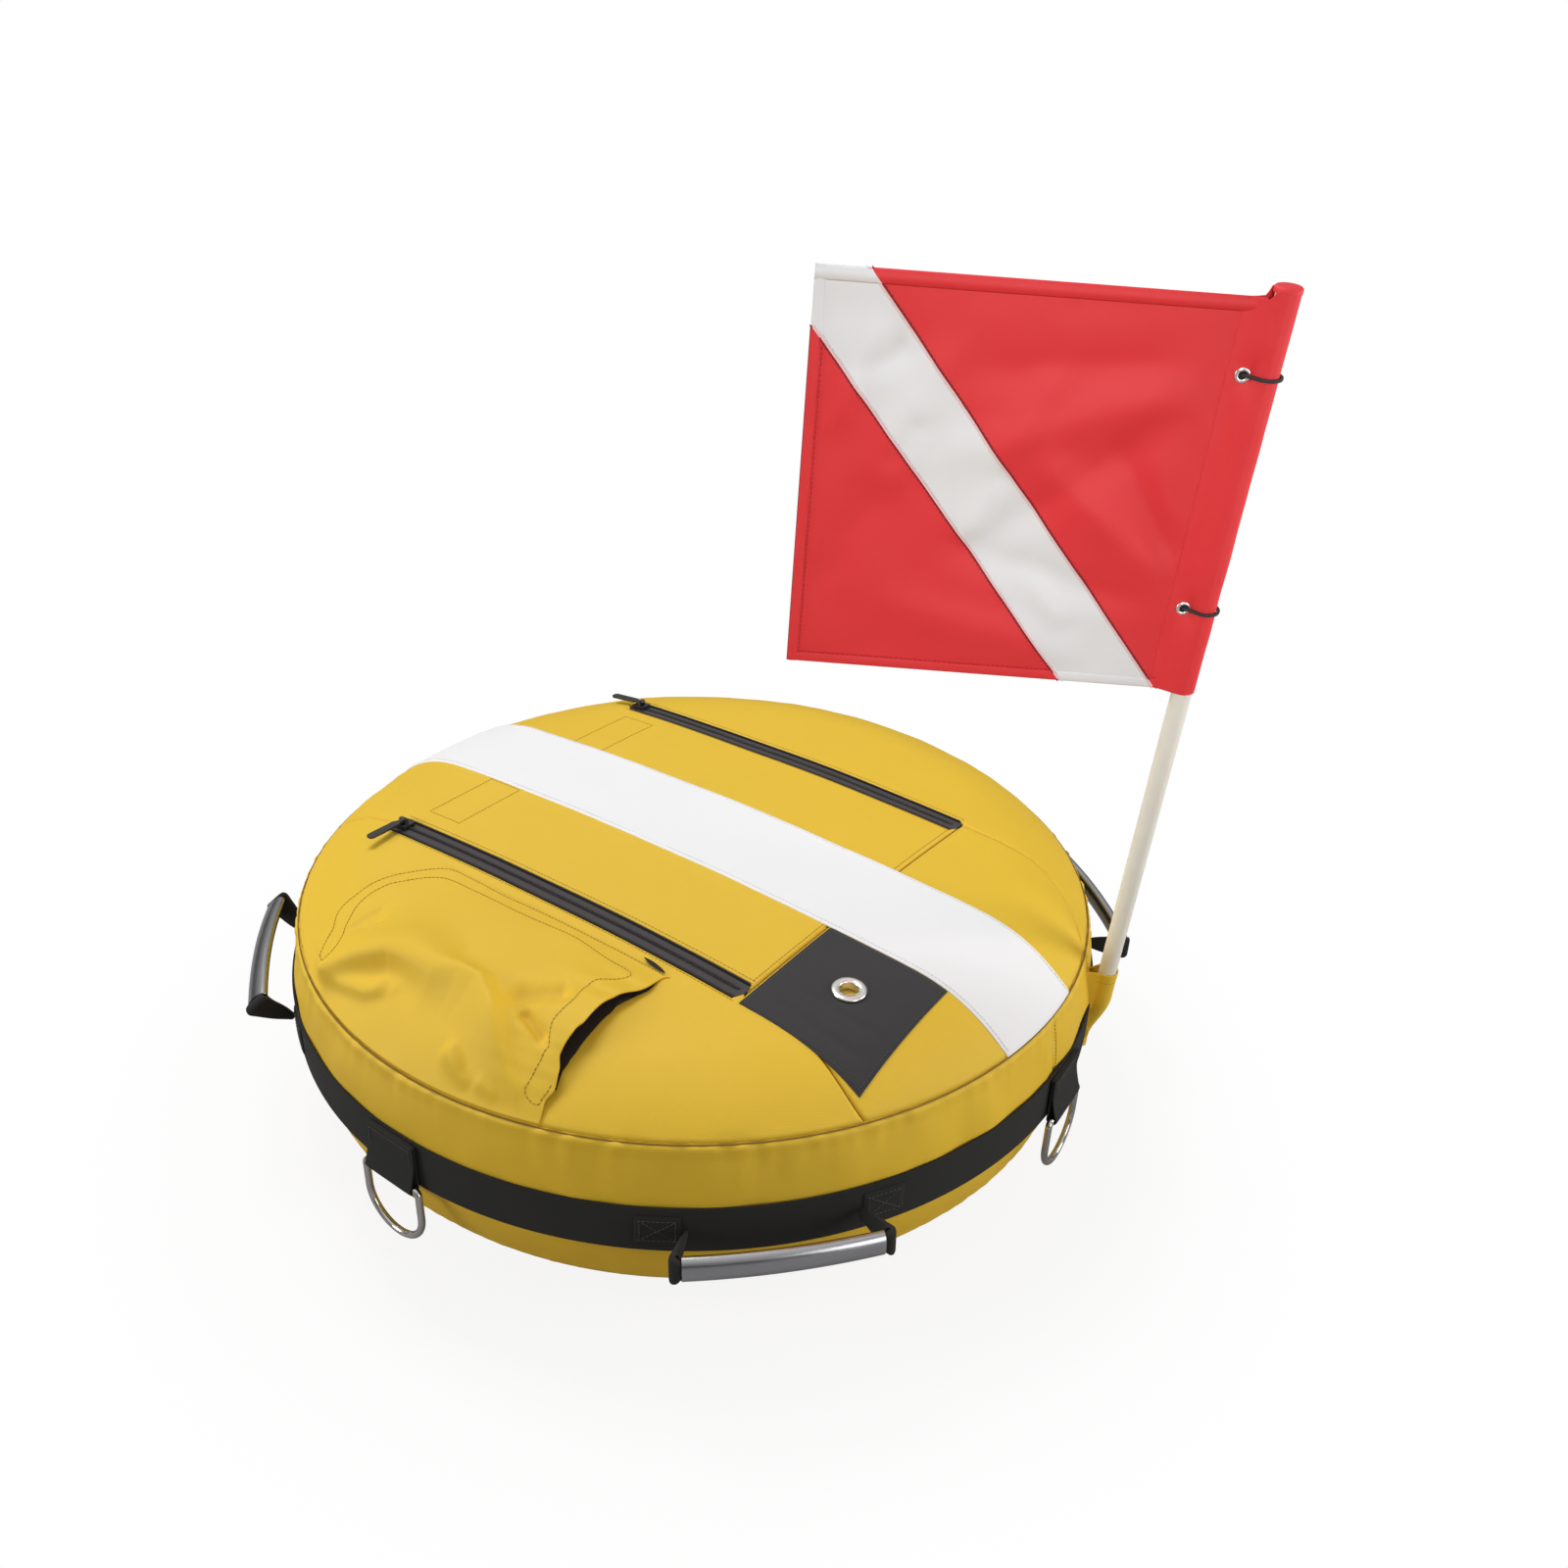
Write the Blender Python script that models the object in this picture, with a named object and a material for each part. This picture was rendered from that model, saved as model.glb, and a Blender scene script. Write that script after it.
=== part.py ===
"""Dive flag float: a cloth covered inflatable float with grab handles, towing rings and a dive flag.

Metres, +Z up. The origin is the centre of the flat base that the float rests on, and +X runs along the
white stripe towards the eyelet patch. Azimuths are in degrees, turned from +X towards +Y. "Near" pieces
lie on the -Y side of the stripe and "far" pieces on the +Y side.
"""

import math

import bmesh
import bpy
from mathutils import Matrix, Vector

MM = 0.001

# Touching pieces keep this gap, and sewn edges that meet keep the wider one.
CLEARANCE = 0.3 * MM
SEAM_GAP = 0.4 * MM
OVERRUN = 5 * MM
MERGE_DISTANCE = 0.01 * MM
SHARP_ANGLE = math.radians(35)
SMALL_SIDES = 12

# Body of the float.
FLOAT_RADIUS = 350 * MM
BELT_HEIGHT = 125 * MM
BELT_WIDTH = 40 * MM
BELT_THICKNESS = 2 * MM
COVER_WALL = 1.5 * MM
CROWN_RISE = 118.4 * MM
CROWN_SPHERE_RADIUS = 3500 * MM
UPPER_SEAM_INSET = 11 * MM
UPPER_SEAM_RADIUS = FLOAT_RADIUS - UPPER_SEAM_INSET
SHOULDER_REACH = 89 * MM
CROWN_EDGE_RADIUS = UPPER_SEAM_RADIUS - SHOULDER_REACH
UPPER_SEAM_RISE = 69 * MM
UPPER_GUSSET_BULGE = 2.5 * MM
LOWER_SEAM_INSET = 18 * MM
LOWER_SEAM_RADIUS = FLOAT_RADIUS - LOWER_SEAM_INSET
LOWER_SEAM_DROP = 67 * MM
LOWER_GUSSET_BULGE = 3 * MM
BASE_SHOULDER_REACH = 127 * MM
BASE_RADIUS = LOWER_SEAM_RADIUS - BASE_SHOULDER_REACH
SHOULDER_ROUNDNESS = 2.4
BASE_ROUNDNESS = 2.4
TURN_STEPS = 48
CROWN_RINGS = 4
SHOULDER_RINGS = 6
GUSSET_RINGS = 3
BASE_RINGS = 5

# Zips, and the seams that run on from them. The zips' ends are measured from the float's rim.
ZIP_RIM_INSET = 196 * MM
ZIP_OFFSET = FLOAT_RADIUS - ZIP_RIM_INSET
ZIP_BACK_INSET = 138 * MM
ZIP_BACK = ZIP_BACK_INSET - FLOAT_RADIUS
ZIP_FRONT_INSET = 184 * MM
ZIP_FRONT = FLOAT_RADIUS - ZIP_FRONT_INSET
FRONT_SEAM_STEP = 5 * MM
FRONT_SEAM_OFFSET = ZIP_OFFSET + FRONT_SEAM_STEP
CROSS_SEAM_STEP = 4 * MM
CROSS_SEAM_PLACE = ZIP_FRONT + CROSS_SEAM_STEP

# Stripe and patch sewn over the top.
STRIPE_WIDTH = 101 * MM
PATCH_SEAM_STEP = 3 * MM
PATCH_START = CROSS_SEAM_PLACE + PATCH_SEAM_STEP
PATCH_LENGTH = 107 * MM
PATCH_STRIPE_GAP = 1 * MM
PATCH_INNER_OFFSET = STRIPE_WIDTH / 2 + PATCH_STRIPE_GAP
PATCH_SEAM_OVERLAP = 8 * MM
PATCH_OUTER_OFFSET = FRONT_SEAM_OFFSET + PATCH_SEAM_OVERLAP
APPLIQUE_THICKNESS = 1 * MM

# Eyelet of the patch.
EYELET_LENGTH_SHARE = 0.505
EYELET_PLACE = PATCH_START + PATCH_LENGTH * EYELET_LENGTH_SHARE
EYELET_WIDTH_SHARE = 0.463
EYELET_OFFSET = PATCH_INNER_OFFSET + (PATCH_OUTER_OFFSET - PATCH_INNER_OFFSET) * EYELET_WIDTH_SHARE
EYELET_FLANGE_RADIUS = 13.5 * MM
EYELET_HOLE_RADIUS = 7.2 * MM
EYELET_BARREL_WALL = 1 * MM
EYELET_FLANGE_THICKNESS = 1.2 * MM
EYELET_WASHER_THICKNESS = 0.9 * MM
EYELET_STAND_OFF = 0.6 * MM
EYELET_SIDES = 20

# Tapes, teeth, sliders and pullers of the zips.
ZIP_SLOT_WIDTH = 20 * MM
ZIP_TAPE_WIDTH = 34 * MM
ZIP_TAPE_THICKNESS = 1 * MM
CHAIN_WIDTH = 6 * MM
CHAIN_THICKNESS = 2.2 * MM
CHAIN_END_MARGIN = 5 * MM
CHAIN_STEPS = 18
SLIDER_PARKING_RUN = 7 * MM
SLIDER_PLACE = ZIP_BACK + SLIDER_PARKING_RUN
SLIDER_LENGTH = 14 * MM
SLIDER_WIDTH = 12 * MM
SLIDER_WALL = 1.5 * MM
SLIDER_RUNNING_GAP = 0.5 * MM
SLIDER_SKIRT = 1.2 * MM
PIN_RADIUS = 1 * MM
PIN_RISE = 2.9 * MM
PIN_POST_THICKNESS = 1.4 * MM
PIN_POST_WIDTH = 3.4 * MM
PIN_POST_COVER = 0.6 * MM
PIN_POST_GAP = 5 * MM
PULLER_LENGTH = 38 * MM
PULLER_WIDTH = 8 * MM
PULLER_THICKNESS = 1.8 * MM
PULLER_EYE_WIDTH = 4.2 * MM
PULLER_EYE_RADIUS = 2.4 * MM
PULLER_NECK_LENGTH = 5.8 * MM

# Gaps under the pullers' tips: the near one passes over the pocket's sewn edge, the far one over the teeth.
PULLER_REST_GAPS = {"near": 9.2 * MM, "far": 7.4 * MM}

# Pocket on the near side of the top.
POCKET_BACK = -127 * MM
POCKET_FRONT = 117 * MM
POCKET_ZIP_STEP = 24 * MM
POCKET_TOP_OFFSET = ZIP_OFFSET + POCKET_ZIP_STEP
POCKET_SEAM_INSET = 5 * MM
POCKET_BOTTOM_RADIUS = UPPER_SEAM_RADIUS - POCKET_SEAM_INSET
POCKET_BACK_AZIMUTH = -115
POCKET_FRONT_AZIMUTH = -69.5
POCKET_BACK_BOW = 29 * MM
POCKET_MOUTH_BOW = 17 * MM
POCKET_WALL = 1.5 * MM
POCKET_EDGE_RISE = 0.9 * MM
POCKET_FILL = 9 * MM
POCKET_MOUTH_RISE = 17 * MM
POCKET_FOLD = 2.6 * MM
POCKET_FOLDS = 3
POCKET_FOLD_DOWN_SHARE = 0.7
POCKET_FOLD_ALONG_SHARE = 0.35
POCKET_FILL_SHARE = 0.8
POCKET_MOUTH_GROWTH = 4
POCKET_LENGTH_STEPS = 22
POCKET_DEPTH_STEPS = 14

# Inner tube and its valve.
TUBE_WALL = 2 * MM
TUBE_RIM_INSET = 115 * MM
TUBE_CENTRE_RADIUS = FLOAT_RADIUS - TUBE_RIM_INSET
TUBE_UPPER_CLEARANCE = 2.4 * MM
TUBE_LOWER_CLEARANCE = CLEARANCE
TUBE_INNER_STEPS = 6
TUBE_POINT_STEP = 2
VALVE_AZIMUTH = 90
VALVE_RADIUS = 4 * MM
VALVE_BORE_RADIUS = 2 * MM
VALVE_LENGTH = 34 * MM
VALVE_DEPTH = 6 * MM
VALVE_CAP_RADIUS = 6.5 * MM
VALVE_CAP_LENGTH = 14 * MM
VALVE_CAP_OVERLAP = 11 * MM
VALVE_SIDES = 16

# Grab handles.
HANDLE_AZIMUTHS = {"front_near": -42, "front_far": 48, "back_far": 137, "back_near": -132}
HANDLE_LIFTS = {"front_near": 8, "front_far": 0, "back_far": 0, "back_near": 48}
GRIP_REACH = 36 * MM
GRIP_LENGTH = 139 * MM
GRIP_BOW = 4.5 * MM
GRIP_HEIGHT = 19 * MM
GRIP_DEPTH = 10.5 * MM
GRIP_WALL = 1 * MM
GRIP_STEPS = 6
GRIP_ROUND_STEPS = 5
HANDLE_STRAP_THICKNESS = 2.2 * MM
HANDLE_STRAP_FOLDED_WIDTH = 14 * MM
HANDLE_STRAP_FOLDED_THICKNESS = 4 * MM
HANDLE_STRAP_WIDTH = 23 * MM
HANDLE_STRAP_ROOT_WIDTH = 6.4 * MM
HANDLE_LEG_SPREAD = 61.9 * MM
LEG_WIDE_SHARE = 0.8
ROOT_TIP_SHARE = 0.95
ROOT_TIP_WIDTH_SHARE = 0.3
STRAP_TURN_SHARE = 0.5
CORNER_OUT_SHARE = 0.9
CORNER_INSET_SHARE = 0.3
HANDLE_PAD_LENGTH = 33 * MM
HANDLE_PAD_WIDTH = 26 * MM
HANDLE_PAD_THICKNESS = 2.2 * MM
HANDLE_PAD_AZIMUTH = 13.35

# Towing rings.
RING_AZIMUTHS = {"front": 4.5, "far": 92, "back": 182, "near": -90}
RING_WIRE_RADIUS = 2.5 * MM
RING_WIDTH = 63 * MM
RING_HEIGHT = 58 * MM
RING_CORNER_RADIUS = 4.5 * MM
RING_SIDES = 8
RING_ROUND_STEPS = 9
RING_CORNER_STEPS = 3
TAB_WIDTH = 50 * MM
TAB_THICKNESS = 4.2 * MM
TAB_TOP_MARGIN = 1 * MM
TAB_BAR_RISE = 1 * MM
TAB_LOOP_WALL = 2 * MM
TAB_SIDES = 20

# Sleeve, pole and flag.
SLEEVE_AZIMUTH = 19
SLEEVE_WALL = 1.6 * MM
SLEEVE_TOP_RISE = 55 * MM
SLEEVE_DEPTH = 80 * MM
SLEEVE_FLOOR = 3 * MM
SOCKET_DEPTH = 35 * MM
SLEEVE_FLARE_WIDTH = 26 * MM
SLEEVE_FLARE_REACH = 30 * MM
SLEEVE_TAPER = 11 * MM
SLEEVE_FOOT_WIDTH_SHARE = 0.7
SLEEVE_WRAP = 120
SLEEVE_SIDES = 24
POLE_RADIUS = 7.2 * MM
POLE_WALL = 1.6 * MM
POLE_FREE_LENGTH = 553 * MM
POLE_LEAN_OUT = 3.3
POLE_LEAN_ALONG = -5.8
FLAG_HEADING = 214
FLAG_WIDTH = 283 * MM
FLAG_HEIGHT = 275 * MM
FLAG_THICKNESS = 1.2 * MM
FLAG_POCKET_WALL = 1.2 * MM
FLAG_POCKET_RISE = 6 * MM
FLAG_POCKET_CROWN = 2 * MM
FLAG_STRIPE_TOP_WIDTH = 34 * MM
FLAG_STRIPE_TOP_START = FLAG_WIDTH - FLAG_STRIPE_TOP_WIDTH
FLAG_STRIPE_FLY_DROP = 37 * MM
FLAG_STRIPE_FOOT_START = 20.5 * MM
FLAG_STRIPE_FOOT_END = 89 * MM
FLAG_FOLD = 3 * MM
FLAG_FOLDS = 1.6
FLAG_FOLD_LEAN_SHARE = 0.3
FLAG_HOIST_STIFF_SHARE = 0.25
FLAG_LENGTH_STEPS = 16
FLAG_HEIGHT_STEPS = 9
HEM_DEPTH = 8 * MM
HEM_THICKNESS = 5 * MM
HEM_FULL_SHARES = (0.75, 0.2)
STIFFENER_RADIUS = 1.3 * MM
STIFFENER_HEM_DROP = 4 * MM
FLAG_EYELET_PLACE = 14.5 * MM
FLAG_EYELET_RISE_SHARES = {"lower": 0.236, "upper": 0.828}
FLAG_EYELET_RADIUS = 4.9 * MM
FLAG_EYELET_HOLE_RADIUS = 2.7 * MM
FLAG_EYELET_FLANGE = 0.7 * MM
TIE_RADIUS = 1 * MM
TIE_SIDES = 6
TIE_ROUND_STEPS = 10

SIDES = {"near": -1, "far": 1}

# Colours, roughness and metallic value of each finish.
FINISHES = {
    "cover": ((0.83, 0.58, 0.08), 0.75, 0.0),
    "webbing": ((0.02, 0.022, 0.02), 0.8, 0.0),
    "patch": ((0.05, 0.05, 0.055), 0.8, 0.0),
    "stripe": ((0.92, 0.92, 0.92), 0.6, 0.0),
    "zip_tape": ((0.06, 0.05, 0.045), 0.8, 0.0),
    "zip_metal": ((0.05, 0.05, 0.05), 0.4, 0.6),
    "steel": ((0.62, 0.62, 0.62), 0.3, 1.0),
    "nickel": ((0.75, 0.73, 0.7), 0.25, 1.0),
    "tube": ((0.85, 0.6, 0.1), 0.45, 0.0),
    "rubber": ((0.03, 0.03, 0.03), 0.7, 0.0),
    "pole": ((0.8, 0.76, 0.7), 0.4, 0.0),
    "flag_red": ((0.72, 0.03, 0.04), 0.6, 0.0),
    "flag_white": ((0.9, 0.9, 0.92), 0.6, 0.0),
    "cord": ((0.02, 0.02, 0.02), 0.8, 0.0),
}


def clear_scene():
    for item in list(bpy.data.objects):
        bpy.data.objects.remove(item, do_unlink=True)


# Basic makers


def finish_named(name):
    if name in bpy.data.materials:
        return bpy.data.materials[name]
    colour, roughness, metallic = FINISHES[name]
    material = bpy.data.materials.new(name)
    material.use_nodes = True
    shader = material.node_tree.nodes["Principled BSDF"]
    shader.inputs["Base Color"].default_value = (*colour, 1.0)
    shader.inputs["Roughness"].default_value = roughness
    shader.inputs["Metallic"].default_value = metallic
    return material


def add_object(name, mesh):
    piece = bpy.data.objects.new(name, mesh)
    bpy.context.scene.collection.objects.link(piece)
    return piece


def mesh_from(name, work, finish=None):
    """Turn a bmesh into an object, with its faces pointing out."""
    bmesh.ops.recalc_face_normals(work, faces=work.faces)
    mesh = bpy.data.meshes.new(name)
    work.to_mesh(mesh)
    work.free()
    if finish:
        mesh.materials.append(finish_named(finish))
        mesh.shade_smooth()
        mesh.set_sharp_from_angle(angle=SHARP_ANGLE)
    return add_object(name, mesh)


def combine(piece, cutter, operation):
    """Join, cut or intersect a piece with a cutter, and remove the cutter."""
    cutter.hide_render = True
    cutter.display_type = "WIRE"
    modifier = piece.modifiers.new(operation.title(), "BOOLEAN")
    modifier.operation = operation
    modifier.solver = "EXACT"
    modifier.object = cutter
    depsgraph = bpy.context.evaluated_depsgraph_get()
    result = bpy.data.meshes.new_from_object(piece.evaluated_get(depsgraph))
    piece.modifiers.clear()
    piece.data = result
    bpy.data.objects.remove(cutter, do_unlink=True)
    return piece


def dress(piece, finish):
    """Give a finished piece its one material and its smooth shading."""
    piece.data.materials.clear()
    piece.data.materials.append(finish_named(finish))
    piece.data.shade_smooth()
    piece.data.set_sharp_from_angle(angle=SHARP_ANGLE)
    return piece


def revolve(name, outline, finish=None):
    """Turn an outline of (radius, height) points about Z. It starts and ends on the axis, or closes."""
    work = bmesh.new()
    points = [work.verts.new((radius, 0, height)) for radius, height in outline]
    edges = [work.edges.new(pair) for pair in zip(points, points[1:])]
    if outline[0][0] > 0:
        edges.append(work.edges.new((points[-1], points[0])))
    bmesh.ops.spin(
        work, geom=points + edges, cent=(0, 0, 0), axis=(0, 0, 1), angle=math.tau,
        steps=TURN_STEPS, use_merge=True, use_duplicate=False,
    )
    bmesh.ops.remove_doubles(work, verts=work.verts, dist=MERGE_DISTANCE)
    return mesh_from(name, work, finish)


def prism(name, corners, low, high):
    """Extrude a plan outline from one height to another."""
    work = bmesh.new()
    floor = work.faces.new([work.verts.new((x, y, low)) for x, y in corners])
    grown = bmesh.ops.extrude_face_region(work, geom=[floor])["geom"]
    raised = [item for item in grown if isinstance(item, bmesh.types.BMVert)]
    bmesh.ops.translate(work, verts=raised, vec=(0, 0, high - low))
    return mesh_from(name, work)


def cylinder(name, radius, low, high, sides, matrix=None):
    """A round bar along Z, or along the Z of a matrix."""
    work = bmesh.new()
    bmesh.ops.create_cone(
        work, cap_ends=True, segments=sides, radius1=radius, radius2=radius, depth=high - low
    )
    bmesh.ops.translate(work, verts=work.verts, vec=(0, 0, (low + high) / 2))
    if matrix:
        bmesh.ops.transform(work, verts=work.verts, matrix=matrix)
    return mesh_from(name, work)


def block(name, size, centre, finish=None):
    """A box of a size (x, y, z) about a centre."""
    work = bmesh.new()
    bmesh.ops.create_cube(work, size=1)
    bmesh.ops.scale(work, verts=work.verts, vec=size)
    bmesh.ops.translate(work, verts=work.verts, vec=centre)
    return mesh_from(name, work, finish)


def loft(name, rings, finish=None, closed=False):
    """Skin rings of points that all have the same count, capped at both ends or closed on itself."""
    work = bmesh.new()
    rows = [[work.verts.new(point) for point in ring] for ring in rings]
    count = len(rows[0])
    pairs = list(zip(rows, rows[1:]))
    if closed:
        pairs.append((rows[-1], rows[0]))
    else:
        work.faces.new(rows[0])
        work.faces.new(rows[-1])
    for lower, upper in pairs:
        for index in range(count):
            following = (index + 1) % count
            work.faces.new((lower[index], lower[following], upper[following], upper[index]))
    return mesh_from(name, work, finish)


def tube_loft(name, outer_rings, inner_rings, finish):
    """Skin a hollow bar with open ends from its outer and inner rings."""
    rings = outer_rings + inner_rings[::-1]
    return loft(name, rings, finish, closed=True)


def sheet(name, upper, lower, finish):
    """Close two grids of points, rows by columns, into one thick sheet."""
    work = bmesh.new()
    grids = [[[work.verts.new(point) for point in row] for row in grid] for grid in (upper, lower)]
    last_row = len(upper) - 1
    last_column = len(upper[0]) - 1
    for grid in grids:
        for row in range(last_row):
            for column in range(last_column):
                work.faces.new((
                    grid[row][column], grid[row][column + 1],
                    grid[row + 1][column + 1], grid[row + 1][column],
                ))
    rim = [(0, column) for column in range(last_column)]
    rim += [(row, last_column) for row in range(last_row)]
    rim += [(last_row, column) for column in range(last_column, 0, -1)]
    rim += [(row, 0) for row in range(last_row, 0, -1)]
    for first, second in zip(rim, rim[1:] + rim[:1]):
        work.faces.new((
            grids[0][first[0]][first[1]], grids[0][second[0]][second[1]],
            grids[1][second[0]][second[1]], grids[1][first[0]][first[1]],
        ))
    return mesh_from(name, work, finish)


def circle(radius, sides):
    """Points of a round section, as (across, along) pairs."""
    return [
        (radius * math.cos(math.tau * index / sides), radius * math.sin(math.tau * index / sides))
        for index in range(sides)
    ]


def polar(radius, azimuth):
    turn = math.radians(azimuth)
    return radius * math.cos(turn), radius * math.sin(turn)


def share_steps(steps):
    return [index / steps for index in range(steps + 1)]


def between(start, end, share):
    return start + (end - start) * share


def belt_frame(azimuth, radius=FLOAT_RADIUS, height=BELT_HEIGHT):
    """A frame on the belt: X points outwards, Y along the belt and Z up."""
    turn = Matrix.Rotation(math.radians(azimuth), 4, "Z")
    return turn @ Matrix.Translation((radius, 0, height))


# Shape of the cover


CLOTH_RADIUS = FLOAT_RADIUS - BELT_THICKNESS - CLEARANCE
SPHERE_CENTRE_HEIGHT = BELT_HEIGHT + CROWN_RISE - CROWN_SPHERE_RADIUS


def sphere_height(radius, offset=0):
    """Height of the crown's sphere, moved out by an offset."""
    return SPHERE_CENTRE_HEIGHT + math.sqrt((CROWN_SPHERE_RADIUS + offset) ** 2 - radius ** 2)


def crown_height(radius):
    """Height of the outer cloth over the top of the float."""
    if radius <= CROWN_EDGE_RADIUS:
        return sphere_height(radius)
    reach = (radius - CROWN_EDGE_RADIUS) / (UPPER_SEAM_RADIUS - CROWN_EDGE_RADIUS)
    drop = sphere_height(UPPER_SEAM_RADIUS) - BELT_HEIGHT - UPPER_SEAM_RISE
    return sphere_height(radius) - drop * reach ** SHOULDER_ROUNDNESS


def base_height(radius):
    """Height of the outer cloth under the float."""
    if radius <= BASE_RADIUS:
        return 0
    reach = (radius - BASE_RADIUS) / (LOWER_SEAM_RADIUS - BASE_RADIUS)
    return (BELT_HEIGHT - LOWER_SEAM_DROP) * reach ** BASE_ROUNDNESS


def gusset_points(start, end, bulge):
    """Points of a side band's section, bowed outwards between its two edges."""
    first, last = Vector(start), Vector(end)
    run = last - first
    outward = Vector((abs(run.y), 0 if run.x == 0 else -run.x * math.copysign(1, run.y))).normalized()
    points = []
    for share in share_steps(GUSSET_RINGS):
        point = first + run * share + outward * bulge * 4 * share * (1 - share)
        points.append((point.x, point.y))
    return points


def cover_outline():
    """Outer section of the cover from the top of the axis to its foot, with the places of its seams."""
    crown = [(CROWN_EDGE_RADIUS * share, crown_height(CROWN_EDGE_RADIUS * share))
             for share in share_steps(CROWN_RINGS)]
    shoulder_radii = [between(CROWN_EDGE_RADIUS, UPPER_SEAM_RADIUS, share)
                      for share in share_steps(SHOULDER_RINGS)]
    shoulder = [(radius, crown_height(radius)) for radius in shoulder_radii]
    upper = gusset_points(
        (UPPER_SEAM_RADIUS, BELT_HEIGHT + UPPER_SEAM_RISE),
        (CLOTH_RADIUS, BELT_HEIGHT + BELT_WIDTH / 2), UPPER_GUSSET_BULGE,
    )
    lower = gusset_points(
        (CLOTH_RADIUS, BELT_HEIGHT - BELT_WIDTH / 2),
        (LOWER_SEAM_RADIUS, BELT_HEIGHT - LOWER_SEAM_DROP), LOWER_GUSSET_BULGE,
    )
    base_radii = [between(LOWER_SEAM_RADIUS, BASE_RADIUS, share) for share in share_steps(BASE_RINGS)]
    base = [(radius, base_height(radius)) for radius in base_radii]
    outline = crown + shoulder[1:]
    upper_seam = len(outline) - 1
    outline += upper[1:]
    outline.append((CLOTH_RADIUS, BELT_HEIGHT))
    belt = len(outline) - 1
    outline += lower
    lower_seam = len(outline) - 1
    outline += base[1:] + [(0, 0)]
    return outline, {"upper_seam": upper_seam, "belt": belt, "lower_seam": lower_seam}


OUTLINE, SEAMS = cover_outline()


def offset_outline(points, distances):
    """Move each point of an open section outwards by its own distance, with mitred corners."""
    moved = []
    for index, (radius, height) in enumerate(points):
        normals = []
        for first, second in ((index - 1, index), (index, index + 1)):
            if first >= 0 and second < len(points):
                run_r = points[second][0] - points[first][0]
                run_z = points[second][1] - points[first][1]
                normals.append(Vector((-run_z, run_r)).normalized())
        if radius == 0:
            normals = [Vector((0, normals[0].y)).normalized()]
        normal = sum(normals, Vector((0, 0)))
        normal = normal / (1 + normals[0].dot(normals[-1])) if len(normals) == 2 else normal
        moved.append((radius - normal.x * distances[index], height - normal.y * distances[index]))
    return moved


def trimmed(points, start, end):
    """Shorten a section along itself at its start and at its end."""
    points = [Vector(point) for point in points]
    points[0] = points[0] + (points[1] - points[0]).normalized() * start
    points[-1] = points[-1] + (points[-2] - points[-1]).normalized() * end
    return [(point.x, point.y) for point in points]


def layer(name, first, last, low, high, finish=None):
    """A cloth layer that follows the cover's section, between two offsets from the outer cloth."""
    rims = []
    for offset in (high, low):
        moved = offset_outline(OUTLINE, [-offset] * len(OUTLINE))[first:last + 1]
        start = 0 if first == 0 else SEAM_GAP / 2
        end = 0 if last == len(OUTLINE) - 1 else SEAM_GAP / 2
        rims.append(trimmed(moved, start, end))
    upper, lower = rims
    if last == len(OUTLINE) - 1:
        return revolve(name, upper[::-1] + lower, finish)
    return revolve(name, upper + lower[::-1], finish)


def top_layer(name, low, high, corners, finish):
    """A piece of the top cut to a plan outline, between two offsets from the outer cloth."""
    piece = layer(name, 0, SEAMS["upper_seam"], low, high)
    knife = prism("knife", corners, BELT_HEIGHT, BELT_HEIGHT + CROWN_RISE + high + OVERRUN)
    return dress(combine(piece, knife, "INTERSECT"), finish)


def mirrored(corners, side):
    """Plan corners drawn for the far side, turned to the near side where asked."""
    return [(x, y * side) for x, y in corners][::side]


# Cover panels


def make_cover():
    beyond = FLOAT_RADIUS + OVERRUN
    half_gap = SEAM_GAP / 2
    slot_inner = ZIP_OFFSET - ZIP_SLOT_WIDTH / 2
    slot_outer = ZIP_OFFSET + ZIP_SLOT_WIDTH / 2
    centre_half = [
        (CROSS_SEAM_PLACE - half_gap, slot_inner), (ZIP_BACK, slot_inner),
        (ZIP_BACK, ZIP_OFFSET - half_gap), (-beyond, ZIP_OFFSET - half_gap),
    ]
    centre = centre_half + mirrored(centre_half, SIDES["near"])
    top_layer("cover_centre_panel", -COVER_WALL, 0, centre, "cover")
    front_inner = FRONT_SEAM_OFFSET - half_gap
    front = [
        (CROSS_SEAM_PLACE + half_gap, front_inner), (CROSS_SEAM_PLACE + half_gap, -front_inner),
        (beyond, -front_inner), (beyond, front_inner),
    ]
    panel = top_layer("cover_front_panel", -COVER_WALL, 0, front, "cover")
    drill_eyelet_hole(panel)
    dress(panel, "cover")
    side_corners = [
        (-beyond, beyond), (-beyond, ZIP_OFFSET + half_gap), (ZIP_BACK, ZIP_OFFSET + half_gap),
        (ZIP_BACK, slot_outer), (CROSS_SEAM_PLACE - half_gap, slot_outer),
        (CROSS_SEAM_PLACE - half_gap, FRONT_SEAM_OFFSET + half_gap),
        (beyond, FRONT_SEAM_OFFSET + half_gap), (beyond, beyond),
    ]
    for side_name, side in SIDES.items():
        corners = mirrored(side_corners, side)
        top_layer(f"cover_{side_name}_panel", -COVER_WALL, 0, corners, "cover")
    layer("cover_upper_gusset", SEAMS["upper_seam"], SEAMS["belt"], -COVER_WALL, 0, "cover")
    layer("cover_lower_gusset", SEAMS["belt"], SEAMS["lower_seam"], -COVER_WALL, 0, "cover")
    layer("cover_base_panel", SEAMS["lower_seam"], len(OUTLINE) - 1, -COVER_WALL, 0, "cover")


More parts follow.
